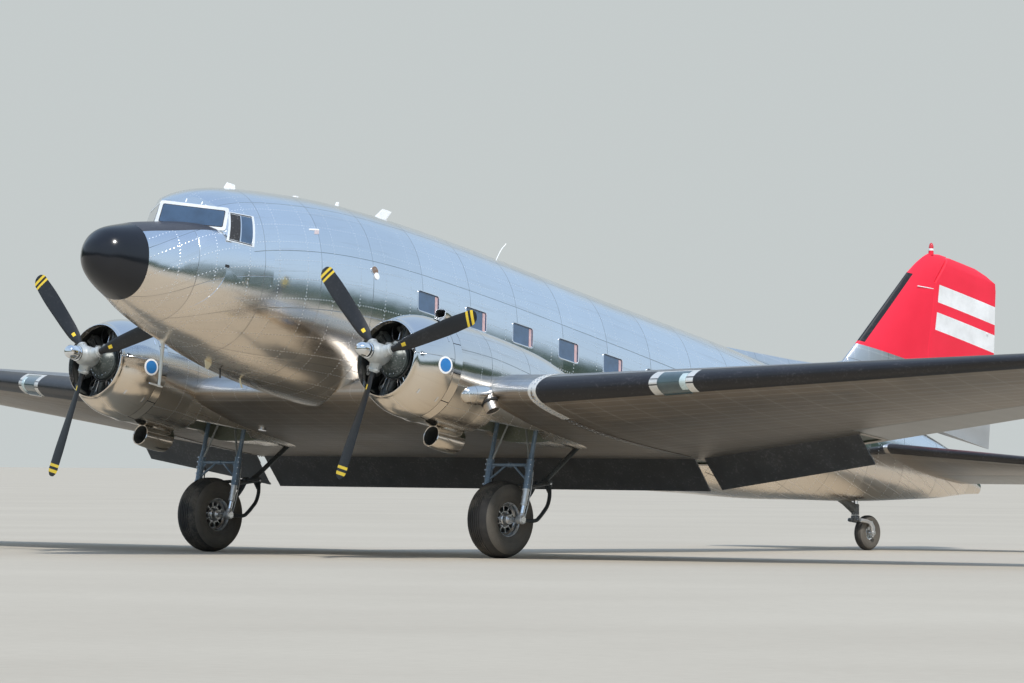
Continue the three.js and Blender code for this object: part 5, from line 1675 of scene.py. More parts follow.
def build_cowl(side, word):
    x = side * THRUST_X
    profile = cowl_profile()
    rings = [
        [(x + r * math.sin(a), y, COWL["z"] + r * math.cos(a)) for y, r in profile] for a in turns(96)
    ]
    cowl = ring_surface(f"cowl_skin_{word}", rings, [COWL_METAL, COWL_INSIDE], COWL["radius"])
    count = len(profile)
    # The inside of the lip takes the dark painted shade
    mark_slots(cowl, lambda index: int(count - 5 <= index % count < count - 1))
    finish_object(cowl, "airframe", 40, f"cowl_{word}")

    pieces = []
    f = COWL_FLAPS
    width = (f["end"] - f["start"]) / f["count"]
    plates = []
    for i in range(f["count"]):
        start = f["start"] + width * i
        plates.append(("cowl_flap", (start + f["gap"] / 2, start + width - f["gap"] / 2), f["open"]))
    plates.append(("cowl_roof", (f["end"] + 1 - 360, f["start"] - 1), 0))
    for name, angles, lift in plates:
        radii = (COWL["radius"], COWL["radius"] + lift)
        plate = curved_plate(
            name, x, COWL["z"], f["front"], f["back"], angles, radii, f["thick"], [COWL_METAL]
        )
        pieces.append(plate)
    # Black ring under the cowl flaps: painted shade in the gaps behind them
    pieces.append(lathe("cowl_core", COWL_CORE, (x, 0, COWL["z"]), AFT, MATT_BLACK, 72, closed=True))
    for way in (-1, 1):
        for y in LATCH["stations"]:
            pieces += [latch(x, y, way * turn) for turn in LATCH["turns"]]
    trims = join(f"cowl_fittings_{word}", pieces)
    finish_object(trims, "airframe", 35)
    discs = [cowl_disc(x, turn) for turn in (90, -90)]
    badge = join(f"cowl_discs_{word}", discs)
    finish_object(badge, "airframe", 35)


def latch(x, y, turn):
    front, back = y - LATCH["half"], y + LATCH["half"]
    radii = (cowl_radius(front) + 4, cowl_radius(back) + 4)
    angles = (turn - LATCH["spread"], turn + LATCH["spread"])
    return curved_plate("latch", x, COWL["z"], front, back, angles, radii, 8, [BRIGHT])


def cowl_disc(x, turn):
    """Plain round badge bent to the cowl: a blue field within a white ring."""
    rows = [(0.0, 1), (DISC["radius"] - DISC["rim"], 1), (DISC["radius"], 0), (DISC["radius"], -1)]
    points = [(0, 0, 0.6)]
    for radius, kind in rows[1:]:
        for i in range(40):
            a = 2 * math.pi * i / 40
            points.append((radius * math.cos(a), radius * math.sin(a), 0.6 if kind >= 0 else -3))
    bent = []
    for along, up, high in points:
        y = DISC["station"] + along
        r = cowl_radius(y) + 1.2 + high
        angle = math.radians(turn) - up / r * (1 if turn > 0 else -1)
        bent.append((x + r * math.sin(angle), y, COWL["z"] + r * math.cos(angle)))
    faces = [(0, 1 + i, 1 + (i + 1) % 40) for i in range(40)]
    for row in (0, 1):
        a, b = 1 + 40 * row, 41 + 40 * row
        faces += [(a + i, a + (i + 1) % 40, b + (i + 1) % 40, b + i) for i in range(40)]
    obj = raw_object("disc", bent, faces, [BLUE, WHITE])
    for index, face in enumerate(obj.data.polygons):
        face.material_index = 0 if index < 40 else 1
    mesh = bmesh.new()
    mesh.from_mesh(obj.data)
    bmesh.ops.recalc_face_normals(mesh, faces=mesh.faces)
    mesh.faces.ensure_lookup_table()
    if mesh.faces[0].normal.x * (1 if turn > 0 else -1) < 0:
        bmesh.ops.reverse_faces(mesh, faces=mesh.faces)
    mesh.to_mesh(obj.data)
    mesh.free()
    return obj


def ring_surface(name, rings, materials, radius):
    """Closed skin through section loops that go all round an axis. The UV map is in metres."""
    count, around = len(rings[0]), len(rings)
    points = [p for ring in rings for p in ring]
    loop = np.array(rings[0])
    step = np.linalg.norm(np.diff(np.vstack([loop, loop[:1]]), axis=0), axis=1)
    along = np.concatenate([[0], np.cumsum(step)]) / 1000
    faces, uvs = [], []
    for i in range(around):
        for j in range(count):
            k, m = (i + 1) % around, (j + 1) % count
            faces.append((i * count + j, k * count + j, k * count + m, i * count + m))
            a, b = (radius * 2 * math.pi * value / around / 1000 for value in (i, i + 1))
            uvs.append([(along[j], a), (along[j], b), (along[j + 1], b), (along[j + 1], a)])
    return raw_object(name, points, faces, materials, uvs)


# Rows of fins on a cylinder. Columns: places of the fins, radius at their root and rim, and how far
# on each fin rises, ends its rim and falls
FINS = [(range(90, 300, 14), 58, 72, (3, 5, 8)), (range(300, 396, 18), 64, 88, (4, 7, 11))]
ROCKER_BOX = [(-34, 14), (-30, 26), (24, 28), (34, 16)]
# Places beside a cylinder: distance out along it, across it and fore or aft of its axis
ROCKER = {"out": 392, "across": 46, "front": -46, "rod_end": -58}
PUSH_ROD = {"out": 225, "across": 34, "front": -120, "radius": 8.5}
PLUG = {"out": 350, "across": 12, "front": -74, "length": 30, "radius": 9}


def finned_cylinder(centre, angle, y):
    """Air-cooled cylinder: barrel and head with fins, rocker boxes and push rods."""
    out = Vector((math.sin(angle), 0, math.cos(angle)))
    hub = Vector((centre[0], y, centre[2]))
    start = hub + out * CYLINDERS["foot"]
    profile = [(0, 40), (0, 72), (10, 72)]
    for places, root, rim, (rise, land, fall) in FINS:
        for place in places:
            profile += [(place, root), (place + rise, rim), (place + land, rim), (place + fall, root)]
    profile += [(402, 60), (416, 34)]
    pieces = [lathe("cylinder", profile, start, out, CAST_GREY, 28)]
    across = out.cross(Vector(AFT)).normalized()
    for way in (-1, 1):
        box = start + out * ROCKER["out"] + across * way * ROCKER["across"]
        pieces.append(lathe(
            "rocker_box", ROCKER_BOX, box + Vector((0, ROCKER["front"], 0)), AFT, CAST_GREY, 14
        ))
        foot = hub + out * PUSH_ROD["out"] + across * way * PUSH_ROD["across"]
        foot = foot + Vector((0, PUSH_ROD["front"], 0))
        head = box + Vector((0, ROCKER["rod_end"], 0))
        pieces.append(rod("push_rod", foot, head, PUSH_ROD["radius"], BRIGHT, 8))
        plug = start + out * PLUG["out"] + across * way * PLUG["across"] + Vector((0, PLUG["front"], 0))
        pieces.append(rod("plug", plug, plug + Vector((0, -PLUG["length"], 0)), PLUG["radius"], BRIGHT, 8))
    return pieces


CRANKCASE = [
    (3047, 45), (3047, 92), (3051, 100), (3056, 104), (3060, 118), (3066, 118), (3070, 128), (3090, 152),
    (3110, 172), (3150, 206), (3180, 226), (3188, 240), (3204, 240), (3208, 246), (3262, 250), (3640, 250),
    (3680, 420), (3789, 420), (3789, 45),
]
BAFFLE = [(3610, 250), (3610, 640), (3618, 640), (3618, 250)]
SHAFT_BACK = 3100
STUDS = {"count": 20, "ring": 213, "station": 3168, "length": 16, "radius": 7}
HARNESS = {"ring": 268, "station": 3240, "radius": 14}
# Leads from the harness to the cylinders. Path: distance from the shaft and station
LEADS = {"count": 14, "turn": 0.25, "radius": 6, "path": [(268, 3240), (330, 3212), (420, 3222), (500, 3262)]}
# Columns: angle in radians, size
ACCESSORIES = [(0.35, 1.0), (-0.5, 0.8)]
ACCESSORY_RING, ACCESSORY_STATION = 205, 3205


def accessory_profile(size):
    return [(0, 30), (0, 44), (60 * size, 44), (64 * size, 36), (110 * size, 36), (120 * size, 20)]


def build_engine(side, word):
    """Two rows of cylinders round a case, with studs, harness and leads."""
    centre = (side * THRUST_X, 0, THRUST_Z)

    def round_at(distance, y, angle):
        return Vector((centre[0] + distance * math.sin(angle), y, centre[2] + distance * math.cos(angle)))
    front = (centre[0], PROP["front"] + 118, centre[2])
    back = (centre[0], SHAFT_BACK, centre[2])
    pieces = [lathe("crankcase", CRANKCASE, centre, AFT, ENGINE_GREY, 64, closed=True),
              rod("shaft", front, back, PROP["shaft"] - 0.5, BRIGHT, 32, rim=0.02)]
    for angle in turns(STUDS["count"]):
        place = round_at(STUDS["ring"], STUDS["station"], angle)
        pieces.append(rod(
            "stud", place, place + Vector((0, -STUDS["length"], 0)), STUDS["radius"], BRIGHT, 6
        ))
    ring = [round_at(HARNESS["ring"], HARNESS["station"], angle) for angle in turns(72)]
    pieces.append(tube("harness", ring, HARNESS["radius"], DARK_STEEL_AND_GAP_SHADE, closed=True))
    for i in range(LEADS["count"]):
        angle = 2 * math.pi * (i + LEADS["turn"]) / LEADS["count"]
        path = [round_at(distance, y, angle) for distance, y in LEADS["path"]]
        pieces.append(tube("lead", curve_through(path, 10), LEADS["radius"], DARK_STEEL_AND_GAP_SHADE, sides=6))
    for angle, size in ACCESSORIES:
        place = round_at(ACCESSORY_RING, ACCESSORY_STATION, angle)
        pieces.append(lathe("accessory", accessory_profile(size), place, (0, -1, 0), CAST_GREY, 20))
    for y, turn in CYLINDERS["rows"]:
        for angle in turns(CYLINDERS["count"]):
            pieces += finned_cylinder(centre, turn + angle, y)
    pieces.append(lathe("baffle", BAFFLE, centre, AFT, MATT_BLACK, 48, closed=True))
    engine = join(f"engine_block_{word}", pieces)
    finish_object(engine, "airframe", 35, f"engine_{word}")


def curve_through(points, steps):
    """Smooth curve through points, with the given number of steps between each pair."""
    places = [Vector(p) for p in points]
    places = [places[0] * 2 - places[1]] + places + [places[-1] * 2 - places[-2]]
    out = []
    for i in range(1, len(places) - 2):
        a, b, c, d = places[i - 1:i + 3]
        for k in range(steps):
            t = k / steps
            bend = (2 * a - 5 * b + 4 * c - d) * t * t
            out.append(0.5 * ((2 * b) + (c - a) * t + bend + (3 * b - a - 3 * c + d) * t ** 3))
    out.append(places[-2])
    return out


def tube(name, path, radius, material, sides=10, closed=False):
    """Round tube along a path of points."""
    path = [Vector(p) for p in path]
    count = len(path)
    points = []
    side = None
    for i, place in enumerate(path):
        ahead = path[(i + 1) % count] if closed or i < count - 1 else place
        behind = path[i - 1] if closed or i > 0 else place
        axis = (ahead - behind).normalized()
        side = axis.orthogonal().normalized() if side is None else (side - axis * side.dot(axis)).normalized()
        other = axis.cross(side)
        points += [place + (side * math.cos(a) + other * math.sin(a)) * radius
                   for a in turns(sides)]
    faces = grid_faces(count, sides, caps=not closed)
    if closed:
        faces += [
            ((count - 1) * sides + j, (count - 1) * sides + (j + 1) % sides, (j + 1) % sides, j)
            for j in range(sides)
        ]
    return solid(name, points, faces, [material])


BLADE_SHAPE = [
    (-0.5, 0.0), (-0.44, 0.24), (-0.3, 0.42), (-0.15, 0.49), (0.0, 0.5), (0.15, 0.42), (0.3, 0.3),
    (0.42, 0.14), (0.5, 0.0), (0.42, -0.12), (0.3, -0.22), (0.15, -0.28), (0.0, -0.3), (-0.15, -0.29),
    (-0.3, -0.25), (-0.44, -0.14),
]
BLADE_FOOT = {"radius": 260, "round_from": 260, "round_to": 420, "chord": 88, "shank": 44}
BLADE_TIP = {"from": 1710, "middle": 1700, "run": 54, "chord": 168, "least": 0.08}
BLADE_RADII = sorted({*np.linspace(90, 1740, 34), *TIP_STRIPES, *BLADE_BAND, 1746, 1753})


def blade_size(radius, chord):
    """Chord and thickness of a blade at a radius."""
    if radius < BLADE_FOOT["radius"]:
        return BLADE_FOOT["chord"], BLADE_FOOT["chord"]
    thick = float(np.interp(radius, [row[0] for row in BLADE], [row[2] for row in BLADE]))
    if radius > BLADE_TIP["from"]:
        part = (radius - BLADE_TIP["middle"]) / BLADE_TIP["run"]
        chord = BLADE_TIP["chord"] * math.sqrt(max(BLADE_TIP["least"], 1 - part ** 2))
    return chord, thick


def blade_zone(index):
    """Number of the paint on a face: the stripes at the tip and a band near the root are yellow."""
    ring, place = divmod(index, len(BLADE_SHAPE))
    if ring >= len(BLADE_RADII) - 1:
        return int(ring == len(BLADE_RADII))
    low, high = BLADE_RADII[ring], BLADE_RADII[ring + 1]
    first, second, third, last = TIP_STRIPES
    striped = first <= low and high <= second or third <= low and high <= last
    banded = BLADE_BAND[0] <= low and high <= BLADE_BAND[1] and place in (3, 4)
    return int(striped or banded)


def build_blade(centre, turn):
    """Blade that turns from a round shank into a twisted foil. The turn is in degrees from straight up."""
    rings = []
    co, si = math.cos(math.radians(turn)), math.sin(math.radians(turn))
    for radius, width in zip(BLADE_RADII, spline(BLADE, 1, BLADE_RADII)):
        chord, thick = blade_size(radius, width)
        pitch = math.radians(PITCH[0] + (PITCH[1] - PITCH[0]) * radius / PROP["radius"])
        run = BLADE_FOOT["round_to"] - BLADE_FOOT["round_from"]
        roundness = min(max((BLADE_FOOT["round_to"] - radius) / run, 0), 1)
        ring = []
        for along, level in BLADE_SHAPE:
            direction = math.atan2(level, along)
            a, b = along * chord, level * thick
            a += (math.cos(direction) * BLADE_FOOT["shank"] - a) * roundness
            b += (math.sin(direction) * BLADE_FOOT["shank"] - b) * roundness
            t = a * math.cos(pitch) - b * math.sin(pitch)
            y = -a * math.sin(pitch) - b * math.cos(pitch)
            ring.append((centre[0] + radius * si + t * co, centre[1] + y, centre[2] + radius * co - t * si))
        rings.append(np.array(ring))
    blade = loft("blade", rings, [BLADE_PAINT, YELLOW, BRIGHT])
    mark_slots(blade, blade_zone)
    return blade


# Hub in places from the disc, and the socket of one blade in places from the shaft
HUB = [(-210, 50), (-210, 96), (-198, 106), (-160, 112), (-145, 126), (-120, 134), (-60, 146), (60, 148),
       (85, 128), (100, 104), (136, 98), (140, 60)]
SOCKET = [(60, 40), (60, 96), (120, 92), (150, 84), (200, 74), (206, 80), (226, 80), (232, 66), (250, 62),
          (250, 40)]
CLAMP_BOLT = {"out": 186, "across": 60, "half": 44, "radius": 11}
DOME = {"deep": 92, "radius": 94, "power": 0.9, "steps": 12}
# Foot of the dome in places from the hub's front
DOME_FOOT = [(-70, 96), (-66, 101), (-48, 101), (-44, 96), (-18, 96), (-14, 108), (-0.4, 108), (-0.4, 0.0)]


def build_propeller(side, word):
    """Three blades with their hub, and the dome ahead of it."""
    x = side * THRUST_X
    axis = Vector((x, 0, THRUST_Z))
    middle = Vector((x, PROP["plane"], THRUST_Z))
    hub = [(PROP["plane"] + along, radius) for along, radius in HUB]
    pieces = [lathe("hub", hub, axis, AFT, HUB_GREY, 48, closed=True)]
    half = Vector((0, CLAMP_BOLT["half"], 0))
    for turn in (0, 120, 240):
        angle = BLADE_TURN[word] + turn
        out = Vector((math.sin(math.radians(angle)), 0, math.cos(math.radians(angle))))
        pieces += [
            build_blade(middle, angle),
            lathe("socket", SOCKET, middle, out, HUB_GREY, 40, closed=True),
        ]
        across = out.cross(Vector(AFT))
        for way in (-1, 1):
            place = middle + out * CLAMP_BOLT["out"] + across * way * CLAMP_BOLT["across"]
            pieces.append(rod("clamp_bolt", place - half, place + half, CLAMP_BOLT["radius"], BRIGHT, 8))
    blades = join(f"propeller_blades_{word}", pieces)
    finish_object(blades, f"propeller_spin_{word}", 35, f"propeller_{word}")
    dome = [(PROP["dome"], 0.0)]
    for angle in np.linspace(0, math.pi / 2, DOME["steps"] + 1)[1:]:
        place = PROP["dome"] + DOME["deep"] * (1 - math.cos(angle))
        dome.append((place, DOME["radius"] * math.sin(angle) ** DOME["power"]))
    dome += [(PROP["front"] + along, radius) for along, radius in DOME_FOOT]
    shell = lathe(f"dome_shell_{word}", dome, axis, AFT, DOME_METAL, 48)
    finish_object(shell, f"propeller_spin_{word}", 35, f"propeller_dome_{word}")


def sloped_ring(x, y, z, wide, high, lean):
    """Oval ring square to y that leans back by a share of its height."""
    angles = turns(COOLER_SIDES)
    rise = high * np.sin(angles)
    return np.stack([x + wide * np.cos(angles), y + lean * rise, z + rise], 1)


# Rings of the cooler. Columns: station, level, half width, half height, lean
COOLER_SHELL = [
    (4124, -1972, 126, 134, 0.10), (4117, -1972, 134, 143, 0.10), (4122, -1972, 142, 150, 0.10),
    (4200, -1971, 150, 158, 0.10), (4330, -1968, 159, 166, 0.10), (4470, -1963, 163, 172, 0.12),
    (4570, -1958, 160, 172, 0.16), (4640, -1955, 154, 168, 0.22),
]
COOLER_DUCT = [
    (4634, -1955, 146, 160, 0.22), (4500, -1960, 142, 148, 0.10), (4330, -1968, 136, 138, 0.10),
    (4160, -1972, 124, 131, 0.10),
]
COOLER_CORE = [(4330, 4), (4330, 137), (4360, 137), (4360, 4)]
COOLER_LEVEL = -1966
COOLER_SIDES = 40
PYLON = {"foot": -1840, "high": 130, "front": 4210, "back": 4620, "half": 118, "flare": 0.35}


def build_oil_cooler(side, word):
    """Round duct with its core, hung below the nacelle on a short pylon."""
    x = side * THRUST_X
    rings = [sloped_ring(x, *row) for row in COOLER_SHELL + COOLER_DUCT]
    shell = loft(f"oil_cooler_shell_{word}", rings + [rings[0]], [COWL_METAL, COWL_INSIDE], caps=False)
    # The duct's inner faces take the dark painted shade
    mark_slots(shell, lambda index: int(index // COOLER_SIDES >= len(COOLER_SHELL)))
    turn_outward(shell, WELD)
    pylon_rings = []
    angles = turns(32)
    for part in np.linspace(0, 1, 8):
        wide = PYLON["half"] * (1 + PYLON["flare"] * part ** 3)
        front, back = PYLON["front"] - 40 * part ** 2, PYLON["back"] + 110 * part ** 1.5
        y = (front + back) / 2 + (back - front) / 2 * np.sin(angles)
        z = np.full(len(angles), PYLON["foot"] + PYLON["high"] * part)
        pylon_rings.append(np.stack([x + wide * np.cos(angles), y, z], 1))
    pylon = loft("pylon", pylon_rings, [COWL_METAL])
    core = lathe("core", COOLER_CORE, (x, 0, COOLER_LEVEL), AFT, MESH_DARK, 40, closed=True)
    cooler = join(f"oil_cooler_case_{word}", [shell, pylon, core])
    finish_object(cooler, "airframe", 40, f"oil_cooler_{word}")


# Bulge beside the nacelle. Columns: distance out from the thrust line, station, level, radius
BULGE = [
    (600, 3915, -1438, 34),
    (618, 4010, -1422, 116),
    (626, 4160, -1396, 140),
    (632, 4330, -1364, 141),
    (638, 4520, -1330, 124),
    (640, 4690, -1300, 46),
]
STUB_START, STUB_END = (650, 4360, -1310), (798, 4415, -1566)
STUB_COLLAR = [(150, 94), (150, 122), (176, 120), (180, 114), (180, 94)]


def build_exhaust(side, word):
    """Bulge with the stub of the pipe and the collar round it."""
    def place(out, y, z):
        return Vector((side * (THRUST_X + out), y, z))
    curve = curve_through([place(*row[:3]) for row in BULGE], 4)
    radii = np.interp(np.linspace(0, 1, len(curve)), np.linspace(0, 1, len(BULGE)), [row[3] for row in BULGE])
    rings = []
    for i, (point, radius) in enumerate(zip(curve, radii)):
        axis = (curve[min(i + 1, len(curve) - 1)] - curve[max(i - 1, 0)]).normalized()
        across = axis.cross(Vector((0, 0, 1))).normalized()
        up = across.cross(axis)
        rings.append(np.array([
            point + (across * math.cos(a) + up * math.sin(a)) * float(radius) for a in turns(28)
        ]))
    start, end = place(*STUB_START), place(*STUB_END)
    axis = end - start
    length = axis.length
    stub = [(0, 86), (0, 96), (length - 14, 97), (length - 4, 99), (length, 96), (length - 4, 89), (20, 86)]
    dark = [(length - 120, 2), (length - 120, 87), (length - 114, 87), (length - 114, 2)]
    pieces = [loft("bulge", rings, [NACELLE_METAL]),
              lathe("stub", stub, start, axis, PIPE_STEEL, 36, closed=True),
              lathe("pipe_dark", dark, start, axis, MATT_BLACK, 30, closed=True),
              lathe("collar", STUB_COLLAR, start, axis, MATT_BLACK, 36, closed=True)]
    exhaust = join(f"exhaust_pipe_{word}", pieces)
    finish_object(exhaust, "airframe", 40, f"exhaust_{word}")


# Dark inner faces of the cowl lip and the cooler duct: painted shade inside the openings
COWL_INSIDE = paint("cowl_inside", (0.10, 0.105, 0.10), rough=0.5, metal=0.3, wear=0.2)
ENGINE_GREY = paint("engine_grey", (0.075, 0.09, 0.085), rough=0.38, metal=0.2, wear=0.3)
HUB_GREY = paint("hub_grey", (0.56, 0.58, 0.57), rough=0.38, metal=0.45, wear=0.25)
BLADE_PAINT = paint(
    "blade_paint", (0.011, 0.011, 0.012), rough=0.42, wear=0.1, scale=2.0, worn=(0.12, 0.12, 0.12)
)
BLUE = paint("blue_paint", (0.03, 0.20, 0.52), rough=0.3, wear=0.05)
DOME_METAL = paint("dome_metal", (0.88, 0.89, 0.90), rough=0.07, metal=1.0, wear=0.02, bump=0.0002)
MESH_DARK = paint("cooler_mesh", (0.05, 0.05, 0.05), rough=0.6, metal=0.4, wear=0.3, scale=30)
PIPE_STEEL = paint("pipe_steel", (0.66, 0.61, 0.56), rough=0.34, metal=1.0, wear=0.15, worn=(0.4, 0.3, 0.24))

for side, word in SIDES:
    build_nacelle(side, word)
    build_cowl(side, word)
    build_engine(side, word)
    build_propeller(side, word)
    build_oil_cooler(side, word)
    build_exhaust(side, word)


# Main gear
WHEEL = {"radius": 530, "width": 420, "bead": 235}
AXLE = {"y": 5730, "z": floor_axle(5730, 530), "radius": 42, "reach": 430}
LEG_X = 370
BEAM = (5760, -2030)
LEG_TOP = (5790, -1120)
SLEEVE_FOOT = -2318
SHELL_FOOT = (5748, -2596)
KNEE = {"y": 6460, "z": -2150, "half": 130}
STRUT_TOP = (7130, -1447)
TREAD = {"grooves": (-0.34, -0.17, 0.0, 0.17, 0.34), "wide": 7.0, "deep": 9.0}
WHEEL_HOLES = 10


def tyre_material():
    """Worn black tread with patches of dust."""
    n = Nodes("worn_tyre")
    place = n.place()
    broad = n.noise(place, 2.2, 5.0, 0.65)
    fine = n.noise(place, 45.0, 3.0)
    base = n.mix(n.ramp(broad, 0.35, 0.65), (0.022, 0.021, 0.021), (0.060, 0.054, 0.048))
    dust = n.times(n.ramp(n.plus(broad, n.times(fine, 0.25)), 0.62, 0.85), 0.55)
    base = n.mix(dust, base, (0.26, 0.22, 0.17))
    return n.finish(Base_Color=base, Roughness=n.plus(n.times(broad, 0.15), 0.68),
                    Normal=n.bump(fine, 0.0012, 0.6))


def rubber_side_material():
    """Greyed side wall."""
    n = Nodes("tyre_side")
    place = n.place()
    broad = n.noise(place, 1.8, 5.0, 0.6)
    fine = n.noise(place, 60.0, 3.0)
    base = n.mix(n.ramp(broad, 0.35, 0.7), (0.085, 0.078, 0.068), (0.15, 0.135, 0.115))
    base = n.mix(n.ramp(fine, 0.6, 0.8), base, (0.05, 0.048, 0.045))
    return n.finish(Base_Color=base, Roughness=0.72, Normal=n.bump(fine, 0.0008, 0.5))


TYRE_TREAD = tyre_material()
TYRE_SIDE = rubber_side_material()
TAIL_GREY = paint("tail_leg_grey", (0.105, 0.11, 0.11), rough=0.4, metal=0.4, wear=0.3)
RIM_METAL = paint("rim_metal", (0.70, 0.71, 0.72), rough=0.28, metal=1.0, wear=0.25, worn=(0.30, 0.28, 0.26))
# Dark grey seen through the wheel windows and as the tail wheel's holes: painted shade
RIM_HOLE_SHADE = paint("rim_hole_shade", (0.10, 0.10, 0.10), rough=0.5, metal=0.6, wear=0.3)
OLEO_SILVER = paint("oleo_silver", (0.72, 0.73, 0.74), rough=0.35, metal=0.7, wear=0.2)
CHROME = paint("chrome", (0.80, 0.84, 0.90), rough=0.06, metal=1.0, wear=0.03, bump=0.0001)
LEG_PAINT = paint("leg_paint", (0.17, 0.235, 0.31), rough=0.33, metal=0.25, wear=0.3)
CASTING = paint("knee_casting", (0.065, 0.075, 0.08), rough=0.42, metal=0.3, wear=0.3, worn=(0.3, 0.32, 0.33))
HOSE = paint("brake_hose", (0.03, 0.03, 0.03), rough=0.5, wear=0.1)


def tyre_profile(radius, width, bead, grooves, wide, deep):
    """Round from the inner bead over the tread: side walls as arcs, and grooves cut in the tread."""
    half = width / 2
    points = [
        (-half * 0.62, bead), (-half * 0.78, bead + 3), (-half * 0.84, bead + 14),
        (-half * 0.90, bead + 30)
    ]
    wall = [
        (-half * 0.97, radius * 0.62), (-half * 0.995, radius * 0.70), (-half, radius * 0.76),
        (-half * 0.965, radius * 0.83), (-half * 0.88, radius * 0.885), (-half * 0.83, radius * 0.905),
        (-half * 0.80, radius * 0.915)
    ]
    points += wall
    crown = []
    places = set(np.round(np.linspace(-0.76, 0.76, 39), 4))
    for g in grooves:
        share = wide / half
        for edge in (g - share, g - share * 0.7, g + share * 0.7, g + share):
            places.add(round(edge, 4))
    for s in sorted(places):
        rise = radius - (radius * 0.085) * (max(abs(s) - 0.22, 0) / 0.58) ** 2
        cut = any(abs(s - g) <= wide / half * 0.71 for g in grooves)
        crown.append((s * half, rise - (deep if cut else 0)))
    points += crown
    points += [(-a, r) for a, r in reversed(wall)]
    points += [
        (half * 0.90, bead + 30), (half * 0.84, bead + 14), (half * 0.78, bead + 3), (half * 0.62, bead)
    ]
    return points


def build_tyre(name, node, body, centre, size, sides):
    profile = tyre_profile(
        size["radius"], size["width"], size["bead"], size["grooves"], size["wide"], size["deep"]
    )
    tyre = lathe(name, profile, centre, PORT, TYRE_TREAD, sides, closed=True)
    tyre.data.materials.append(TYRE_SIDE)
    middle = ground_point(centre)
    for face in tyre.data.polygons:
        away = face.center - middle
        reach = math.hypot(away.y, away.z)
        if reach < size["radius"] * 0.9 / 1000:
            face.material_index = 1
    ridges = []
    for way in (-1, 1):
        for share in (0.60, 0.80):
            place = size["width"] / 2 * (0.955 if share == 0.60 else 0.975)
            radius = size["radius"] * share
            ring = [
                (
                    centre[0] + way * place, centre[1] + radius * math.cos(a),
                    centre[2] + radius * math.sin(a)
                )
                for a in turns(96)
            ]
            ridges.append(tube("ridge", ring, size["radius"] * 0.009, TYRE_SIDE, 6, closed=True))
    tyre = join(name, [tyre] + ridges)
    finish_object(tyre, body, 28, node)


def build_main_rim(name, node, body, centre):
    """Wheel with a rolled flange, a web with ten windows each side, and a hub."""
    rim, edge = WHEEL["bead"] - 0.4, WHEEL["width"] * 0.31
    barrel = [
        (-edge - 14, rim + 8), (-edge - 20, rim + 2), (-edge - 18, rim - 8), (-edge - 4, rim - 16),
        (-edge + 20, rim - 22), (-10, rim - 34), (10, rim - 34), (edge - 20, rim - 22),
        (edge + 4, rim - 16), (edge + 18, rim - 8), (edge + 20, rim + 2), (edge + 14, rim + 8),
        (edge, rim), (-edge, rim)
    ]
    pieces = [lathe("barrel", barrel, centre, PORT, RIM_METAL, 72, closed=True)]
    middle = Vector(centre)
    for way in (-1, 1):
        axis = (way, 0, 0)
        hub = [
            (edge * 0.2, 43.5), (edge * 0.2, 92), (edge * 0.72, 88), (edge * 0.80, 78), (edge * 1.28, 72),
            (edge * 1.34, 64), (edge * 1.34, 43.5)
        ]
        pieces.append(lathe("hub", hub, centre, axis, RIM_METAL, 40, closed=True))
        web = [
            (edge * 0.28, 88), (edge * 0.52, 92), (edge * 0.62, 108), (edge * 0.62, 116),
            (edge * 0.50, 112), (edge * 0.28, 100)
        ]
        pieces.append(lathe("inner_ring", web, centre, axis, RIM_METAL, 48, closed=True))
        # A dark disc between the webs: painted shade seen through the windows
        back = [(edge * 0.10, 60), (edge * 0.10, 212), (edge * 0.16, 212), (edge * 0.16, 60)]
        outer = [
            (edge * 0.30, 178), (edge * 0.58, 180), (edge * 0.66, 190), (edge * 0.70, 214),
            (edge * 0.40, 216), (edge * 0.30, 200)
        ]
        pieces += [
            lathe("outer_ring", outer, centre, axis, RIM_METAL, 60, closed=True),
            lathe("web_back", back, centre, axis, RIM_HOLE_SHADE, 48, closed=True),
        ]
        for angle in turns(WHEEL_HOLES):
            out = Vector((0, math.cos(angle), math.sin(angle)))
            across = Vector((0, -math.sin(angle), math.cos(angle)))
            pieces.append(spoke(middle, out, across, way, edge))
            place = middle + out * 101 + Vector((way * edge * 0.60, 0, 0))
            pieces.append(rod("hub_bolt", place, place + Vector((way * 14, 0, 0)), 8, BRIGHT, 6))
    wheel = join(name, pieces)
    finish_object(wheel, body, 35, node)


def spoke(middle, out, across, way, edge):
    """Tapered rib between two windows of the web."""
    rows = [
        (96, 17, edge * 0.26, edge * 0.58), (120, 12, edge * 0.28, edge * 0.56),
        (155, 12, edge * 0.30, edge * 0.56), (184, 20, edge * 0.30, edge * 0.60)
    ]
    points, faces = [], []
    for radius, half, low, high in rows:
        for side, depth in ((-1, low), (1, low), (0.6, high), (-0.6, high)):
            points.append(middle + out * radius + across * half * side + Vector((way * depth, 0, 0)))
    for r in range(len(rows) - 1):
        for k in range(4):
            a, b = r * 4 + k, r * 4 + (k + 1) % 4
            faces.append((a, b, b + 4, a + 4))
    faces += [(0, 1, 2, 3), tuple(len(rows) * 4 - 4 + k for k in range(4))]
    return solid("spoke", points, faces, [RIM_METAL])


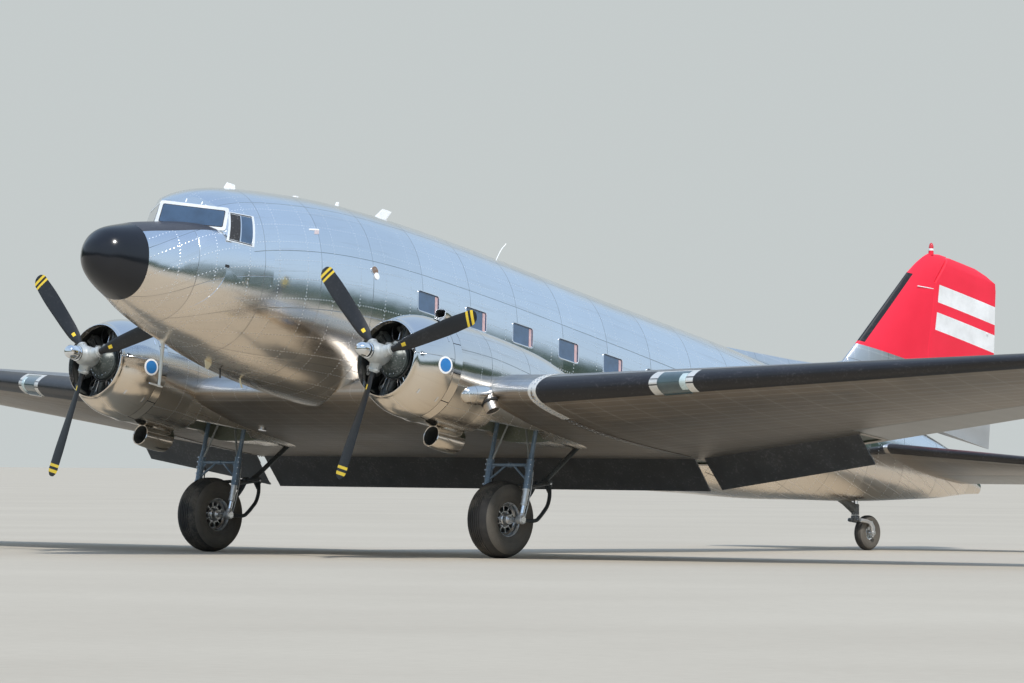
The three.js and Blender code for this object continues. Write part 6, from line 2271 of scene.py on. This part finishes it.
def build_truss(side, word):
    def x(out):
        return side * THRUST_X + out
    y, z = BEAM
    ty, tz = LEG_TOP
    pieces = [
        rod("top_bar", (x(-LEG_X), ty, tz - 60), (x(LEG_X), ty, tz - 60), 40, LEG_PAINT, 24),
        rod("beam", (x(-LEG_X), y, z), (x(LEG_X), y, z), 23, LEG_PAINT, 20),
        rod("beam_boss", (x(-34), y, z), (x(34), y, z), 33, LEG_PAINT, 24),
    ]
    for out in (-1, 1):
        leg = x(out * LEG_X)
        pieces += [
            rod("leg", (leg, y, z), (leg, ty, tz - 30), 31, LEG_PAINT, 28),
            rod("leg_foot", (leg, y, z + 60), (leg, y + 3, z + 170), 40, LEG_PAINT, 28, 33),
            rod("sleeve", (leg, y, SLEEVE_FOOT), (leg, y, z + 78), 50, LEG_PAINT, 36),
        ]
        for level in (SLEEVE_FOOT + 10, -2200, -2110, z, z + 66):
            pieces.append(rod("clamp", (leg, y, level - 9), (leg, y, level + 9), 56, LEG_PAINT, 36))
            bolt = leg + out * 44
            pieces.append(rod("clamp_bolt", (bolt, y - 40, level), (bolt, y + 40, level), 8, BRIGHT, 8))
        bracket = x(out * 300)
        pieces += [
            block(
                "bracket", (bracket - 45, ty - 60, tz - 90), (bracket + 45, ty + 60, tz - 0.4),
                [LEG_PAINT]
            ),
            rod("brace", (x(out * 70), ty, tz - 60), (x(out * 340), y, z + 70), 15, CAST_GREY, 14),
            rod("brace_end", (x(out * 330), y, z + 70), (leg, y, z + 70), 17, CAST_GREY, 14),
            rod("gusset", (x(out * (LEG_X - 20)), y, -2245), (x(out * 60), y, z), 15, LEG_PAINT, 14),
        ]
        corner = [(x(out * (LEG_X - 30)), y, z), (x(out * 250), y, z), (x(out * (LEG_X - 30)), y, z - 110)]
        pieces.append(outline_plate("gusset_plate", corner, AFT, 7, LEG_PAINT))
    truss = join(f"gear_frame_{word}", pieces)
    finish_object(truss, "airframe", 35, f"gear_truss_{word}")


def build_oleo(side, word):
    def x(out):
        return side * THRUST_X + out
    y, z = BEAM
    foot = SLEEVE_FOOT - 0.4
    pieces = [rod(
        "axle", (x(-AXLE["reach"]), AXLE["y"], AXLE["z"]), (x(AXLE["reach"]), AXLE["y"], AXLE["z"]),
        AXLE["radius"] - 0.4, BRIGHT, 36
    )]
    for out in (-1, 1):
        leg = x(out * LEG_X)
        top, middle = Vector((leg, y, foot)), Vector((leg, *SHELL_FOOT))
        low = Vector((leg, AXLE["y"], AXLE["z"]))
        pieces += [
            rod("collar", top, top + Vector((0, 0, -44)), 51, LEG_PAINT, 36),
            rod(
                "shell", top + Vector((0, 0, -20)), middle + (low - middle) * 0.02, 44, OLEO_SILVER, 36,
                43
            ),
        ]
        for part in (0.2, 0.55, 0.9):
            ring = top + (middle - top) * part
            pieces.append(rod(
                "shell_ring", ring, ring + (middle - top).normalized() * 20, 48, OLEO_SILVER, 36
            ))
        pieces.append(rod("piston", middle, low, 32, CHROME, 36))
        boss = low - (low - middle).normalized() * 90
        pieces += [
            rod("boss_neck", boss, low, 40, OLEO_SILVER, 30, 54),
            rod(
                "boss", (leg - 46, AXLE["y"], AXLE["z"]), (leg + 46, AXLE["y"], AXLE["z"]), 61,
                OLEO_SILVER, 30
            ),
            rod(
                "axle_nut", (leg + out * 40, AXLE["y"], AXLE["z"]),
                (leg + out * 59, AXLE["y"], AXLE["z"]), 50, BRIGHT, 6
            ),
        ]
        for lug in (0, 1):
            place = low + Vector((-out * 4, 54 + 28 * lug, 28 - 40 * lug))
            pieces.append(rod(
                "lug", place + Vector((-20, 0, 0)), place + Vector((20, 0, 0)), 18, OLEO_SILVER, 14
            ))
        hose = [
            (leg - out * 20, y + 70, z - 60), (leg - out * 6, y + 92, -2260), (leg, y + 78, -2500),
            (leg - out * 4, y + 62, -2690), (leg - out * 30, AXLE["y"] + 66, AXLE["z"] + 20)
        ]
        pieces.append(tube("hose", curve_through(hose, 8), 9, HOSE, 8))
        second = [
            (leg + out * 18, y + 62, z - 64), (leg + out * 20, y + 70, -2300),
            (leg + out * 18, y + 58, -2560), (leg + out * 14, AXLE["y"] + 60, AXLE["z"] + 34)
        ]
        pieces.append(tube("line", curve_through(second, 8), 7, OLEO_SILVER, 8))
    oleo = join(f"gear_shock_{word}", pieces)
    finish_object(oleo, "airframe", 35, f"gear_oleo_{word}")


def build_drag_strut(side, word):
    def x(out):
        return side * THRUST_X + out
    knee = (x(0), KNEE["y"], KNEE["z"])
    top = Vector((x(0), *STRUT_TOP))
    along = (top - Vector(knee)).normalized()
    reach = KNEE["half"]
    pieces = [
        rod("strut", knee, top, 34, CASTING, 28),
        rod("strut_end", knee, Vector(knee) + along * 150, 50, CASTING, 28, 36),
        rod("crossbar", (x(-reach), *knee[1:]), (x(reach), *knee[1:]), 30, CASTING, 20),
    ]
    arm = [(reach, *knee[1:]), (158, 6458, -2240), (200, 6429, -2353), (246, 6360, -2480), (290, 6255, -2584),
           (325, 6150, -2680), (350, 6044, -2749), (LEG_X, AXLE["y"] + 71, AXLE["z"] + 3)]
    for out in (-1, 1):
        path = curve_through([(x(out * away), y, z) for away, y, z in arm], 6)
        pieces.append(tube("yoke_arm", path, 27, CASTING, 16))
        end = Vector((x(out * reach), *knee[1:]))
        pieces += [
            rod("link", end, (x(out * LEG_X), BEAM[0] + 60, -2330), 25, CASTING, 16),
            rod(
                "knuckle", end + Vector((-40 * out, 0, 0)), end + Vector((30 * out, 0, 0)), 50, CASTING,
                24
            ),
        ]
        web = [end + Vector((0, -46, -8)), end + Vector((0, 34, -30)), Vector((x(out * 205), 6440, -2345)),
               Vector((x(out * 200), 6310, -2215))]
        pieces += [
            outline_plate("knee_web", web, PORT, 24, CASTING),
            rod("pin", end + Vector((-50 * out, 0, 0)), end + Vector((40 * out, 0, 0)), 18, BRIGHT, 12),
        ]
    strut = join(f"drag_brace_{word}", pieces)
    finish_object(strut, "airframe", 35, f"drag_strut_{word}")


# Tail gear, in millimetres from the wheel's axle, level with the floor
TAIL_WHEEL = {"radius": 270, "width": 150, "bead": 105, "y": 17058, "z": floor_axle(17058, 270), "axle": 22}
SPINDLE_Y = -300
SPINDLE = {"top": 440, "collar": 270, "radius": 38}


def tail_point(x, y, z):
    return Vector((x, TAIL_WHEEL["y"] + y * COS - z * SIN, TAIL_WHEEL["z"] + y * SIN + z * COS))


def build_tail_strut():
    s = SPINDLE_Y
    arm = [(s, 350), (s - 120, 418), (s - 300, 500), (s - 480, 580)]
    pieces = [
        rod("housing", tail_point(0, s, 278), tail_point(0, s, SPINDLE["top"]), 60, TAIL_GREY, 32),
        rod("housing_ring", tail_point(0, s, 278), tail_point(0, s, 296), 62, TAIL_GREY, 32),
        rod("housing_cap", tail_point(0, s, 424), tail_point(0, s, 446), 52, TAIL_GREY, 32),
        tube("arm", curve_through([tail_point(0, y, z) for y, z in arm], 5), 58, TAIL_GREY, 22),
        rod("shock", tail_point(0, s + 10, 400), tail_point(0, s - 6, 520), 40, CHROME, 24),
        rod("shock_shell", tail_point(0, s - 4, 500), tail_point(0, s - 20, 640), 48, OLEO_SILVER, 24),
        rod("shock_ring", tail_point(0, s - 4, 494), tail_point(0, s - 6, 512), 53, OLEO_SILVER, 24),
        rod("pin", tail_point(0, s, 210), tail_point(0, s, 290), SPINDLE["radius"] - 0.3, BRIGHT, 24),
    ]
    web = [(s - 30, 300), (s - 420, 530), (s - 420, 610), (s - 20, 430)]
    for way in (-1, 1):
        corners = [tail_point(way * 40, y, z) for y, z in web]
        pieces.append(outline_plate("arm_web", corners, PORT, 12, TAIL_GREY))
    strut = join("tail_leg", pieces)
    finish_object(strut, "airframe", 35, "tail_strut")


def build_tail_fork():
    foot = SPINDLE["collar"] - 95
    s = SPINDLE_Y
    bore = SPINDLE["radius"] + 0.8
    crown = [(0, bore), (0, 62), (14, 67), (80, 67), (95, 60), (95, bore)]
    up = tail_point(0, 0, 1) - tail_point(0, 0, 0)
    pieces = [
        lathe("crown", crown, tail_point(0, s, foot), up, TAIL_GREY, 36, closed=True),
        rod("crown_foot", tail_point(0, s, foot - 8), tail_point(0, s, foot + 30), 52, TAIL_GREY, 30),
        rod(
            "crossbar", tail_point(-112, s - 15, foot + 25), tail_point(112, s - 15, foot + 25), 30,
            TAIL_GREY, 20
        )
    ]
    for way in (-1, 1):
        path = [
            (112, s - 15, foot + 25), (114, s + 90, foot + 12), (114, -120, 172), (113, -60, 138),
            (112, -22, 66), (112, 0, 0)
        ]
        curve = curve_through([tail_point(way * a, b, c) for a, b, c in path], 5)
        pieces.append(tube("arm", curve, 29, OLEO_SILVER, 16))
        fairing = [
            tail_point(way * 122, -170, 190), tail_point(way * 122, -40, 180),
            tail_point(way * 122, 26, 90), tail_point(way * 122, 24, -10),
            tail_point(way * 122, -24, -14), tail_point(way * 122, -50, 80)
        ]
        pieces += [
            outline_plate("fairing", fairing, PORT, 20, OLEO_SILVER),
            rod("boss", tail_point(way * 90, 0, 0), tail_point(way * 135, 0, 0), 40, OLEO_SILVER, 24),
            rod("nut", tail_point(way * 133, 0, 0), tail_point(way * 146, 0, 0), 24, BRIGHT, 6),
        ]
    pieces.append(rod(
        "axle", tail_point(-120, 0, 0), tail_point(120, 0, 0), TAIL_WHEEL["axle"] - 0.4, BRIGHT, 24
    ))
    fork = join("tail_fork_frame", pieces)
    finish_object(fork, "tail_swivel", 35, "tail_fork")


def build_tail_rim():
    rim, edge = TAIL_WHEEL["bead"] - 0.4, TAIL_WHEEL["width"] * 0.31
    centre = tail_point(0, 0, 0)
    profile = [
        (-edge - 8, rim + 4), (-edge - 11, rim), (-edge - 9, rim - 6), (-edge + 6, rim - 14),
        (-edge * 0.5, rim - 22), (-edge * 0.45, 46), (-edge * 0.7, 40), (-edge * 1.35, 36),
        (-edge * 1.35, 23.2)
    ]
    full = profile + [(-a, r) for a, r in reversed(profile)] + [(edge, rim), (-edge, rim)]
    pieces = [lathe("rim", full, centre, PORT, RIM_METAL, 56, closed=True)]
    for way in (-1, 1):
        for angle in turns(6):
            # Each hole is a thin dark disc: painted shade of an opening
            place = centre + Vector((way * edge * 0.44, 64 * math.cos(angle), 64 * math.sin(angle)))
            pieces.append(rod("hole", place, place + Vector((way * 3, 0, 0)), 11, RIM_HOLE_SHADE, 20))
            bolt = centre + Vector((
                way * edge * 0.44, 64 * math.cos(angle + 0.52), 64 * math.sin(angle + 0.52)
            ))
            pieces.append(rod("bolt", bolt, bolt + Vector((way * 8, 0, 0)), 6, BRIGHT, 6))
    rim_object = join("tail_wheel_rim", pieces)
    finish_object(rim_object, "tail_wheel", 35, "tail_rim")


for side, word in SIDES:
    hub = (side * THRUST_X, AXLE["y"], AXLE["z"])
    build_tyre(f"tyre_rubber_{word}", f"tyre_{word}", f"main_wheel_{word}", hub, {**WHEEL, **TREAD}, 96)
    build_main_rim(f"wheel_{word}", f"wheel_rim_{word}", f"main_wheel_{word}", hub)
    build_truss(side, word)
    build_oleo(side, word)
    build_drag_strut(side, word)
build_tail_strut()
build_tail_fork()
build_tyre("tail_tyre_rubber", "tail_tyre", "tail_wheel", tail_point(0, 0, 0),
           {**TAIL_WHEEL, "grooves": (-0.25, 0.25), "wide": 5.0, "deep": 5.0}, 72)
build_tail_rim()


# Cockpit glazing. Pane corners are distance out, station and level
PANE = [(40, 1151, 352), (720, 1679, 375), (720, 1676, 597), (40, 1186, 595)]
CORNER_STEPS = 4
PLATE_STEPS = 6
SIDE_PANE = {
    "front_foot": (1675, 214), "back_foot": (2031, 217), "back_head": (2103, 606),
    "front_head": (1771, 586)
}


def polygon_outline(corners, grow, radius):
    """Flat polygon moved out by a distance, with its corners rounded."""
    count = len(corners)
    points = [Vector(c) for c in corners]
    middle = sum(points, Vector((0, 0))) / count
    lines = []
    for i in range(count):
        a, b = points[i], points[(i + 1) % count]
        out = Vector(((b - a).y, -(b - a).x)).normalized()
        if out.dot(a - middle) < 0:
            out = -out
        lines.append((a + out * grow, (b - a).normalized()))
    moved = []
    for i in range(count):
        (p, d), (q, e) = lines[i - 1], lines[i]
        cross = d.x * e.y - d.y * e.x
        moved.append(p + d * (((q - p).x * e.y - (q - p).y * e.x) / cross))
    outline = []
    for i in range(count):
        here, before, after = moved[i], moved[i - 1], moved[(i + 1) % count]
        a = here + (before - here).normalized() * radius
        b = here + (after - here).normalized() * radius
        for t in np.linspace(0, 1, CORNER_STEPS + 1):
            outline.append(tuple(a * (1 - t) ** 2 + here * 2 * t * (1 - t) + b * t ** 2))
    return outline


def build_windscreen(side):
    corners = [Vector((x * side, y, z)) for x, y, z in PANE]
    normal = pane_normal(side).normalized()
    middle = Vector((PANE_CORNER.x * side, PANE_CORNER.y, PANE_CORNER.z))
    centre = sum(corners, Vector()) / 4
    centre -= normal * (centre - middle).dot(normal)
    along = (corners[1] - corners[0]).normalized()
    along = (along - normal * along.dot(normal)).normalized()
    up = normal.cross(along)
    flat = [((c - centre).dot(along), (c - centre).dot(up)) for c in corners]
    # The frame takes the near-white painted reflection
    layers = [
        ("frame", 58, 40, -30, 13, FRAME_PAINTED_REFLECTION), ("seal", 14, 26, -30, 14.5, MATT_BLACK),
        ("pane", 4, 22, -30, 16, WINDOW_GLASS)
    ]
    return [
        outline_prism(
            f"windscreen_{word}", centre, along, up, normal, polygon_outline(flat, grow, radius), low,
            high, [look]
        )
        for word, grow, radius, low, high, look in layers
    ]


def skin_plate(name, corners, low, high, look, side=1):
    """Plate that follows the cabin skin between four corners, each a station and a level."""
    (a, b, c, d) = (np.array(p, float) for p in corners)
    places = np.linspace(0, 1, PLATE_STEPS + 1)
    grid = []
    for depth in (low, high):
        for s in places:
            for t in places:
                y, z = (a * (1 - s) + b * s) * (1 - t) + (d * (1 - s) + c * s) * t
                point, normal = skin_point(y, z, side)
                grid.append(point + normal * depth)
    across, size = len(places), len(places) ** 2
    faces = []
    for i in range(PLATE_STEPS):
        for j in range(PLATE_STEPS):
            p = i * across + j
            faces += [
                (p, p + 1, p + across + 1, p + across),
                tuple(size + q for q in (p, p + across, p + across + 1, p + 1)),
            ]
    last = PLATE_STEPS
    edge = [i * across for i in range(across)] + [last * across + j for j in range(1, across)]
    edge += [i * across + last for i in range(last - 1, -1, -1)] + list(range(last - 1, 0, -1))
    faces += [(p, q, q + size, p + size) for p, q in zip(edge, edge[1:] + edge[:1])]
    return solid(name, grid, faces, [look])


def part_of(corners, s0, s1, t0, t1):
    (a, b, c, d) = (np.array(p, float) for p in corners)

    def at(s, t):
        return tuple((a * (1 - s) + b * s) * (1 - t) + (d * (1 - s) + c * s) * t)
    return [at(s0, t0), at(s1, t0), at(s1, t1), at(s0, t1)]


def build_side_window(side):
    """Sliding window, open in its front half."""
    p = SIDE_PANE
    corners = [p["front_foot"], p["back_foot"], p["back_head"], p["front_head"]]
    # The open front half is a black plate: painted shade of the dark cockpit behind it
    pieces = [skin_plate("window_dark", part_of(corners, 0, 0.5, 0, 1), -10, 1.0, MATT_BLACK, side),
              skin_plate("window_pane", part_of(corners, 0.46, 1, 0, 1), -10, 3.0, WINDOW_GLASS, side)]
    for s0, s1, t0, t1 in (
        (-0.09, 0.0, -0.08, 1.08), (1.0, 1.10, -0.08, 1.08), (0.0, 1.0, -0.08, 0.0), (0.0, 1.0, 1.0, 1.08)
    ):
        # The frames take the near-white painted reflection
        pieces.append(skin_plate(
            "window_frame", part_of(corners, s0, s1, t0, t1), -6, 6.0, FRAME_PAINTED_REFLECTION, side
        ))
    pieces.append(skin_plate("sliding_edge", part_of(corners, 0.44, 0.49, 0, 1), -6, 7.0, BRIGHT, side))
    for t in (-0.03, 1.03):
        pieces.append(skin_plate(
            "window_seal", part_of(corners, 0.0, 1.0, t - 0.02, t + 0.02), 0, 7.0, DARK_STEEL_AND_GAP_SHADE, side
        ))
    return pieces


# Skin fittings on the port side: station and level of each corner, height and look
HATCH_STRIP = [(3100, 700), (3290, 742), (3290, 722), (3100, 680)]
HATCH_BLOCK = [(3175, 640), (3262, 662), (3288, 722), (3205, 705)]
LOW_VENT = [(1625, -190), (1690, -190), (1690, -125), (1625, -125)]


def skin_disc(name, y, z, radius, low, high, look):
    """Round plate on the port skin."""
    point, normal, along, up = window_frame_axes(y, z, 1)
    outline = [(radius * math.cos(a), radius * math.sin(a)) for a in turns(32)]
    return outline_prism(name, point, along, up, normal, outline, low, high, [look])


def fin_shape(name, outline, half, look):
    """Thin blade with a rounded edge. The outline is station and level pairs."""
    centre = np.mean(outline, axis=0)
    rings = []
    for offset, share in ((-1, 0.72), (-0.7, 0.92), (0, 1.0), (0.7, 0.92), (1, 0.72)):
        ring = [
            centre + (np.array(p) - centre) * (share if abs(offset) == 1 else 0.5 + share / 2)
            for p in outline
        ]
        rings.append([(half * offset, a, b) for a, b in ring])
    return loft(name, rings, [look])


def build_antennas():
    """Roof antennas, mast and beacon take the place of the plain nodes."""
    front = fin_shape(
        "antenna_front_blade",
        [(2265, 1000), (2515, 1000), (2505, 1120), (2480, 1190), (2330, 1190), (2290, 1120)], 13, WHITE
    )
    finish_object(front, "airframe", 40, "antenna_front")
    rear = fin_shape(
        "antenna_rear_blade",
        [(5175, 1310), (5425, 1310), (5600, 1566), (5590, 1570), (5420, 1570), (5405, 1560)], 13, WHITE
    )
    finish_object(rear, "airframe", 40, "antenna_rear")
    mast = MAST
    x = mast["x"]
    pieces = [rod("mast", (x, *mast["top"]), (x, *mast["foot"]), 28, MAST_METAL, 28, 20),
              rod("mast_foot", (x, 1872, -1120), (x, 1880, -1180), 46, MAST_METAL, 28, 30),
              rod("probe", (x, 1768, -1757), (x, 2004, -1757), 13, MAST_METAL, 20),
              rod("probe_tip", (x, 1754, -1757), (x, 1790, -1757), 9, BRIGHT, 20, 13)]
    joined = join("airspeed_probe", pieces)
    finish_object(joined, "airframe", 40, "airspeed_mast")
    lamp = [
        rod("beacon_base", (0, 17692, 3830), (0, 17681, 3900), 42, RED, 32, 40),
        rod("beacon_ring", (0, 17681, 3898), (0, 17675, 3932), 43, WHITE, 32, 41),
        lathe(
            "beacon_glass", [(0, 38), (30, 38), (62, 32), (84, 20), (95, 0)], (0, 17676, 3930),
            (0, -0.16, 0.987), RED_GLASS, 32
        )
    ]
    beacon = join("beacon_lamp", lamp)
    finish_object(beacon, "airframe", 40, "beacon")


MAST = {"x": -300, "top": (1875, -1000), "foot": (1944, -1771)}


def build_small_fittings():
    pieces = [
        skin_plate("hatch_strip", HATCH_STRIP, -2, 5, WHITE),
        skin_plate("hatch_block", HATCH_BLOCK, -2, 4, HATCH_TINT),
        skin_disc("port_rim", 4275, 385, 74, -6, 5, BRIGHT),
        skin_disc("port_hole", 4275, 385, 60, -6, 7, PORT_BROWN),
        skin_disc("port_cap", 4303, 312, 50, -6, 9, WHITE),
        skin_plate("low_vent", LOW_VENT, -4, 3, MATT_BLACK),
        skin_plate("low_vent", LOW_VENT, -4, 3, MATT_BLACK, -1),
        fin_shape("roof_blade", [(4440, 1325), (4540, 1325), (4528, 1448), (4484, 1440)], 7, WHITE),
        fin_shape("roof_pad", [(3600, 1275), (3725, 1285), (3700, 1325), (3640, 1320)], 40, WHITE),
        tube_fitting(
            "whip", [(0, 7870, 1355), (0, 7880, 1420), (0, 7950, 1580), (0, 8033, 1688)], 7, WHITE
        ),
        fin_shape(
            "belly_blade", [(2409, -1235), (2577, -1235), (2560, -1330), (2520, -1400), (2470, -1395)],
            10, CREAM
        ),
        tube_fitting("belly_rod", [(0, 2745, -1320), (0, 2770, -1463)], 13, DARK_STEEL_AND_GAP_SHADE),
        tube_fitting("belly_drain", [(0, 3150, -1370), (0, 3165, -1430), (0, 3215, -1500)], 12, CREAM),
    ]
    fittings = join("skin_fittings", pieces)
    finish_object(fittings, "airframe", 35)


def tube_fitting(name, path, radius, look):
    return tube(name, curve_through(path, 5), radius, look, 12)


# Near-white colour of the cockpit window frames: painted reflection
FRAME_PAINTED_REFLECTION = paint("frame_painted_reflection", (0.90, 0.92, 0.94), rough=0.26, metal=0.35, wear=0.1)
MAST_METAL = paint("mast_metal", (0.78, 0.77, 0.72), rough=0.35, metal=0.5, wear=0.1)
HATCH_TINT = paint("hatch_tint", (0.62, 0.52, 0.52), rough=0.4, wear=0.1)
PORT_BROWN = paint("port_brown", (0.20, 0.13, 0.09), rough=0.5, wear=0.3)
CREAM = paint("cream_paint", (0.78, 0.72, 0.52), rough=0.45, wear=0.1)
RED_GLASS = glass_material("red_glass", (0.55, 0.02, 0.03))

glazing = []
for side in (1, -1):
    glazing += build_windscreen(side) + build_side_window(side)
finish_object(join("cockpit_glazing", glazing), "airframe", 30)
build_antennas()
build_small_fittings()
build_tail_fittings()


def add_stage():
    size = 600
    points = [(-size, -size, -0.002), (size, -size, -0.002), (size, size, -0.002), (-size, size, -0.002)]
    floor = raw_object("floor", points, [(0, 1, 2, 3)], [FLOOR], ground=True)


def floor_material():
    n = Nodes("pale_floor")
    place = n.place()
    broad = n.noise(place, 0.15, 5.0)
    fine = n.noise(place, 6.0, 5.0)
    shade = n.plus(n.times(broad, 0.6), n.times(fine, 0.4))
    base = n.mix(n.ramp(shade, 0.3, 0.7), (0.42, 0.37, 0.30), (0.50, 0.45, 0.37))
    return n.finish(Base_Color=base, Roughness=0.8, Normal=n.bump(fine, 0.003, 0.4))


FLOOR = floor_material()


BACKDROP_WAY = (-0.673, 0.740, 0.0)
BACKDROP = (0.56, 0.60, 0.60, 1)
WORLD_STRENGTH = 1.0


def add_world():
    world = bpy.data.worlds.new("studio")
    bpy.context.scene.world = world
    world.use_nodes = True
    tree = world.node_tree
    background = tree.nodes["Background"]
    coordinates = tree.nodes.new("ShaderNodeTexCoord")
    split = tree.nodes.new("ShaderNodeSeparateXYZ")
    tree.links.new(coordinates.outputs["Generated"], split.inputs[0])
    ramp = tree.nodes.new("ShaderNodeValToRGB")
    height = tree.nodes.new("ShaderNodeMapRange")
    height.inputs[1].default_value = -1
    height.inputs[2].default_value = 1
    tree.links.new(split.outputs[2], height.inputs[0])
    tree.links.new(height.outputs[0], ramp.inputs[0])
    stops = [
        (-1.0, (0.46, 0.38, 0.29)), (-0.03, (0.46, 0.38, 0.29)), (-0.005, (0.10, 0.12, 0.09)),
        (0.09, (0.055, 0.085, 0.065)), (0.14, (0.09, 0.13, 0.12)), (0.20, (0.62, 0.76, 0.90)),
        (0.5, (0.54, 0.70, 0.90)), (1.0, (0.42, 0.58, 0.86)),
    ]
    elements = ramp.color_ramp.elements
    while len(elements) > 1:
        elements.remove(elements[-1])
    elements[0].position = 0
    elements[0].color = (*stops[0][1], 1)
    for place, colour in stops[1:]:
        element = elements.new((place + 1) / 2)
        element.color = (*colour, 1)
    # The side beyond the airliner, as seen from its port bow, is a plain pale backdrop
    ahead = tree.nodes.new("ShaderNodeVectorMath")
    ahead.operation = "DOT_PRODUCT"
    ahead.inputs[1].default_value = BACKDROP_WAY
    tree.links.new(coordinates.outputs["Generated"], ahead.inputs[0])
    share = tree.nodes.new("ShaderNodeMapRange")
    share.inputs[1].default_value = 0.80
    share.inputs[2].default_value = 0.93
    tree.links.new(ahead.outputs["Value"], share.inputs[0])
    mix = tree.nodes.new("ShaderNodeMix")
    mix.data_type = "RGBA"
    mix.inputs[7].default_value = BACKDROP
    tree.links.new(share.outputs[0], mix.inputs[0])
    tree.links.new(ramp.outputs[0], mix.inputs[6])
    tree.links.new(mix.outputs[2], background.inputs[0])
    background.inputs[1].default_value = WORLD_STRENGTH


def add_sun():
    data = bpy.data.lights.new("sun", "SUN")
    data.energy = 3.0
    data.angle = math.radians(5)
    data.color = (1.0, 0.96, 0.90)
    sun = bpy.data.objects.new("sun", data)
    bpy.context.scene.collection.objects.link(sun)
    towards = Vector((0.75, -0.45, 1.25)).normalized()
    sun.matrix_world = towards.to_track_quat("Z", "Y").to_matrix().to_4x4()


add_stage()
add_world()
add_sun()
settings = bpy.context.scene.view_settings
settings.view_transform = "Standard"
settings.look = "None"
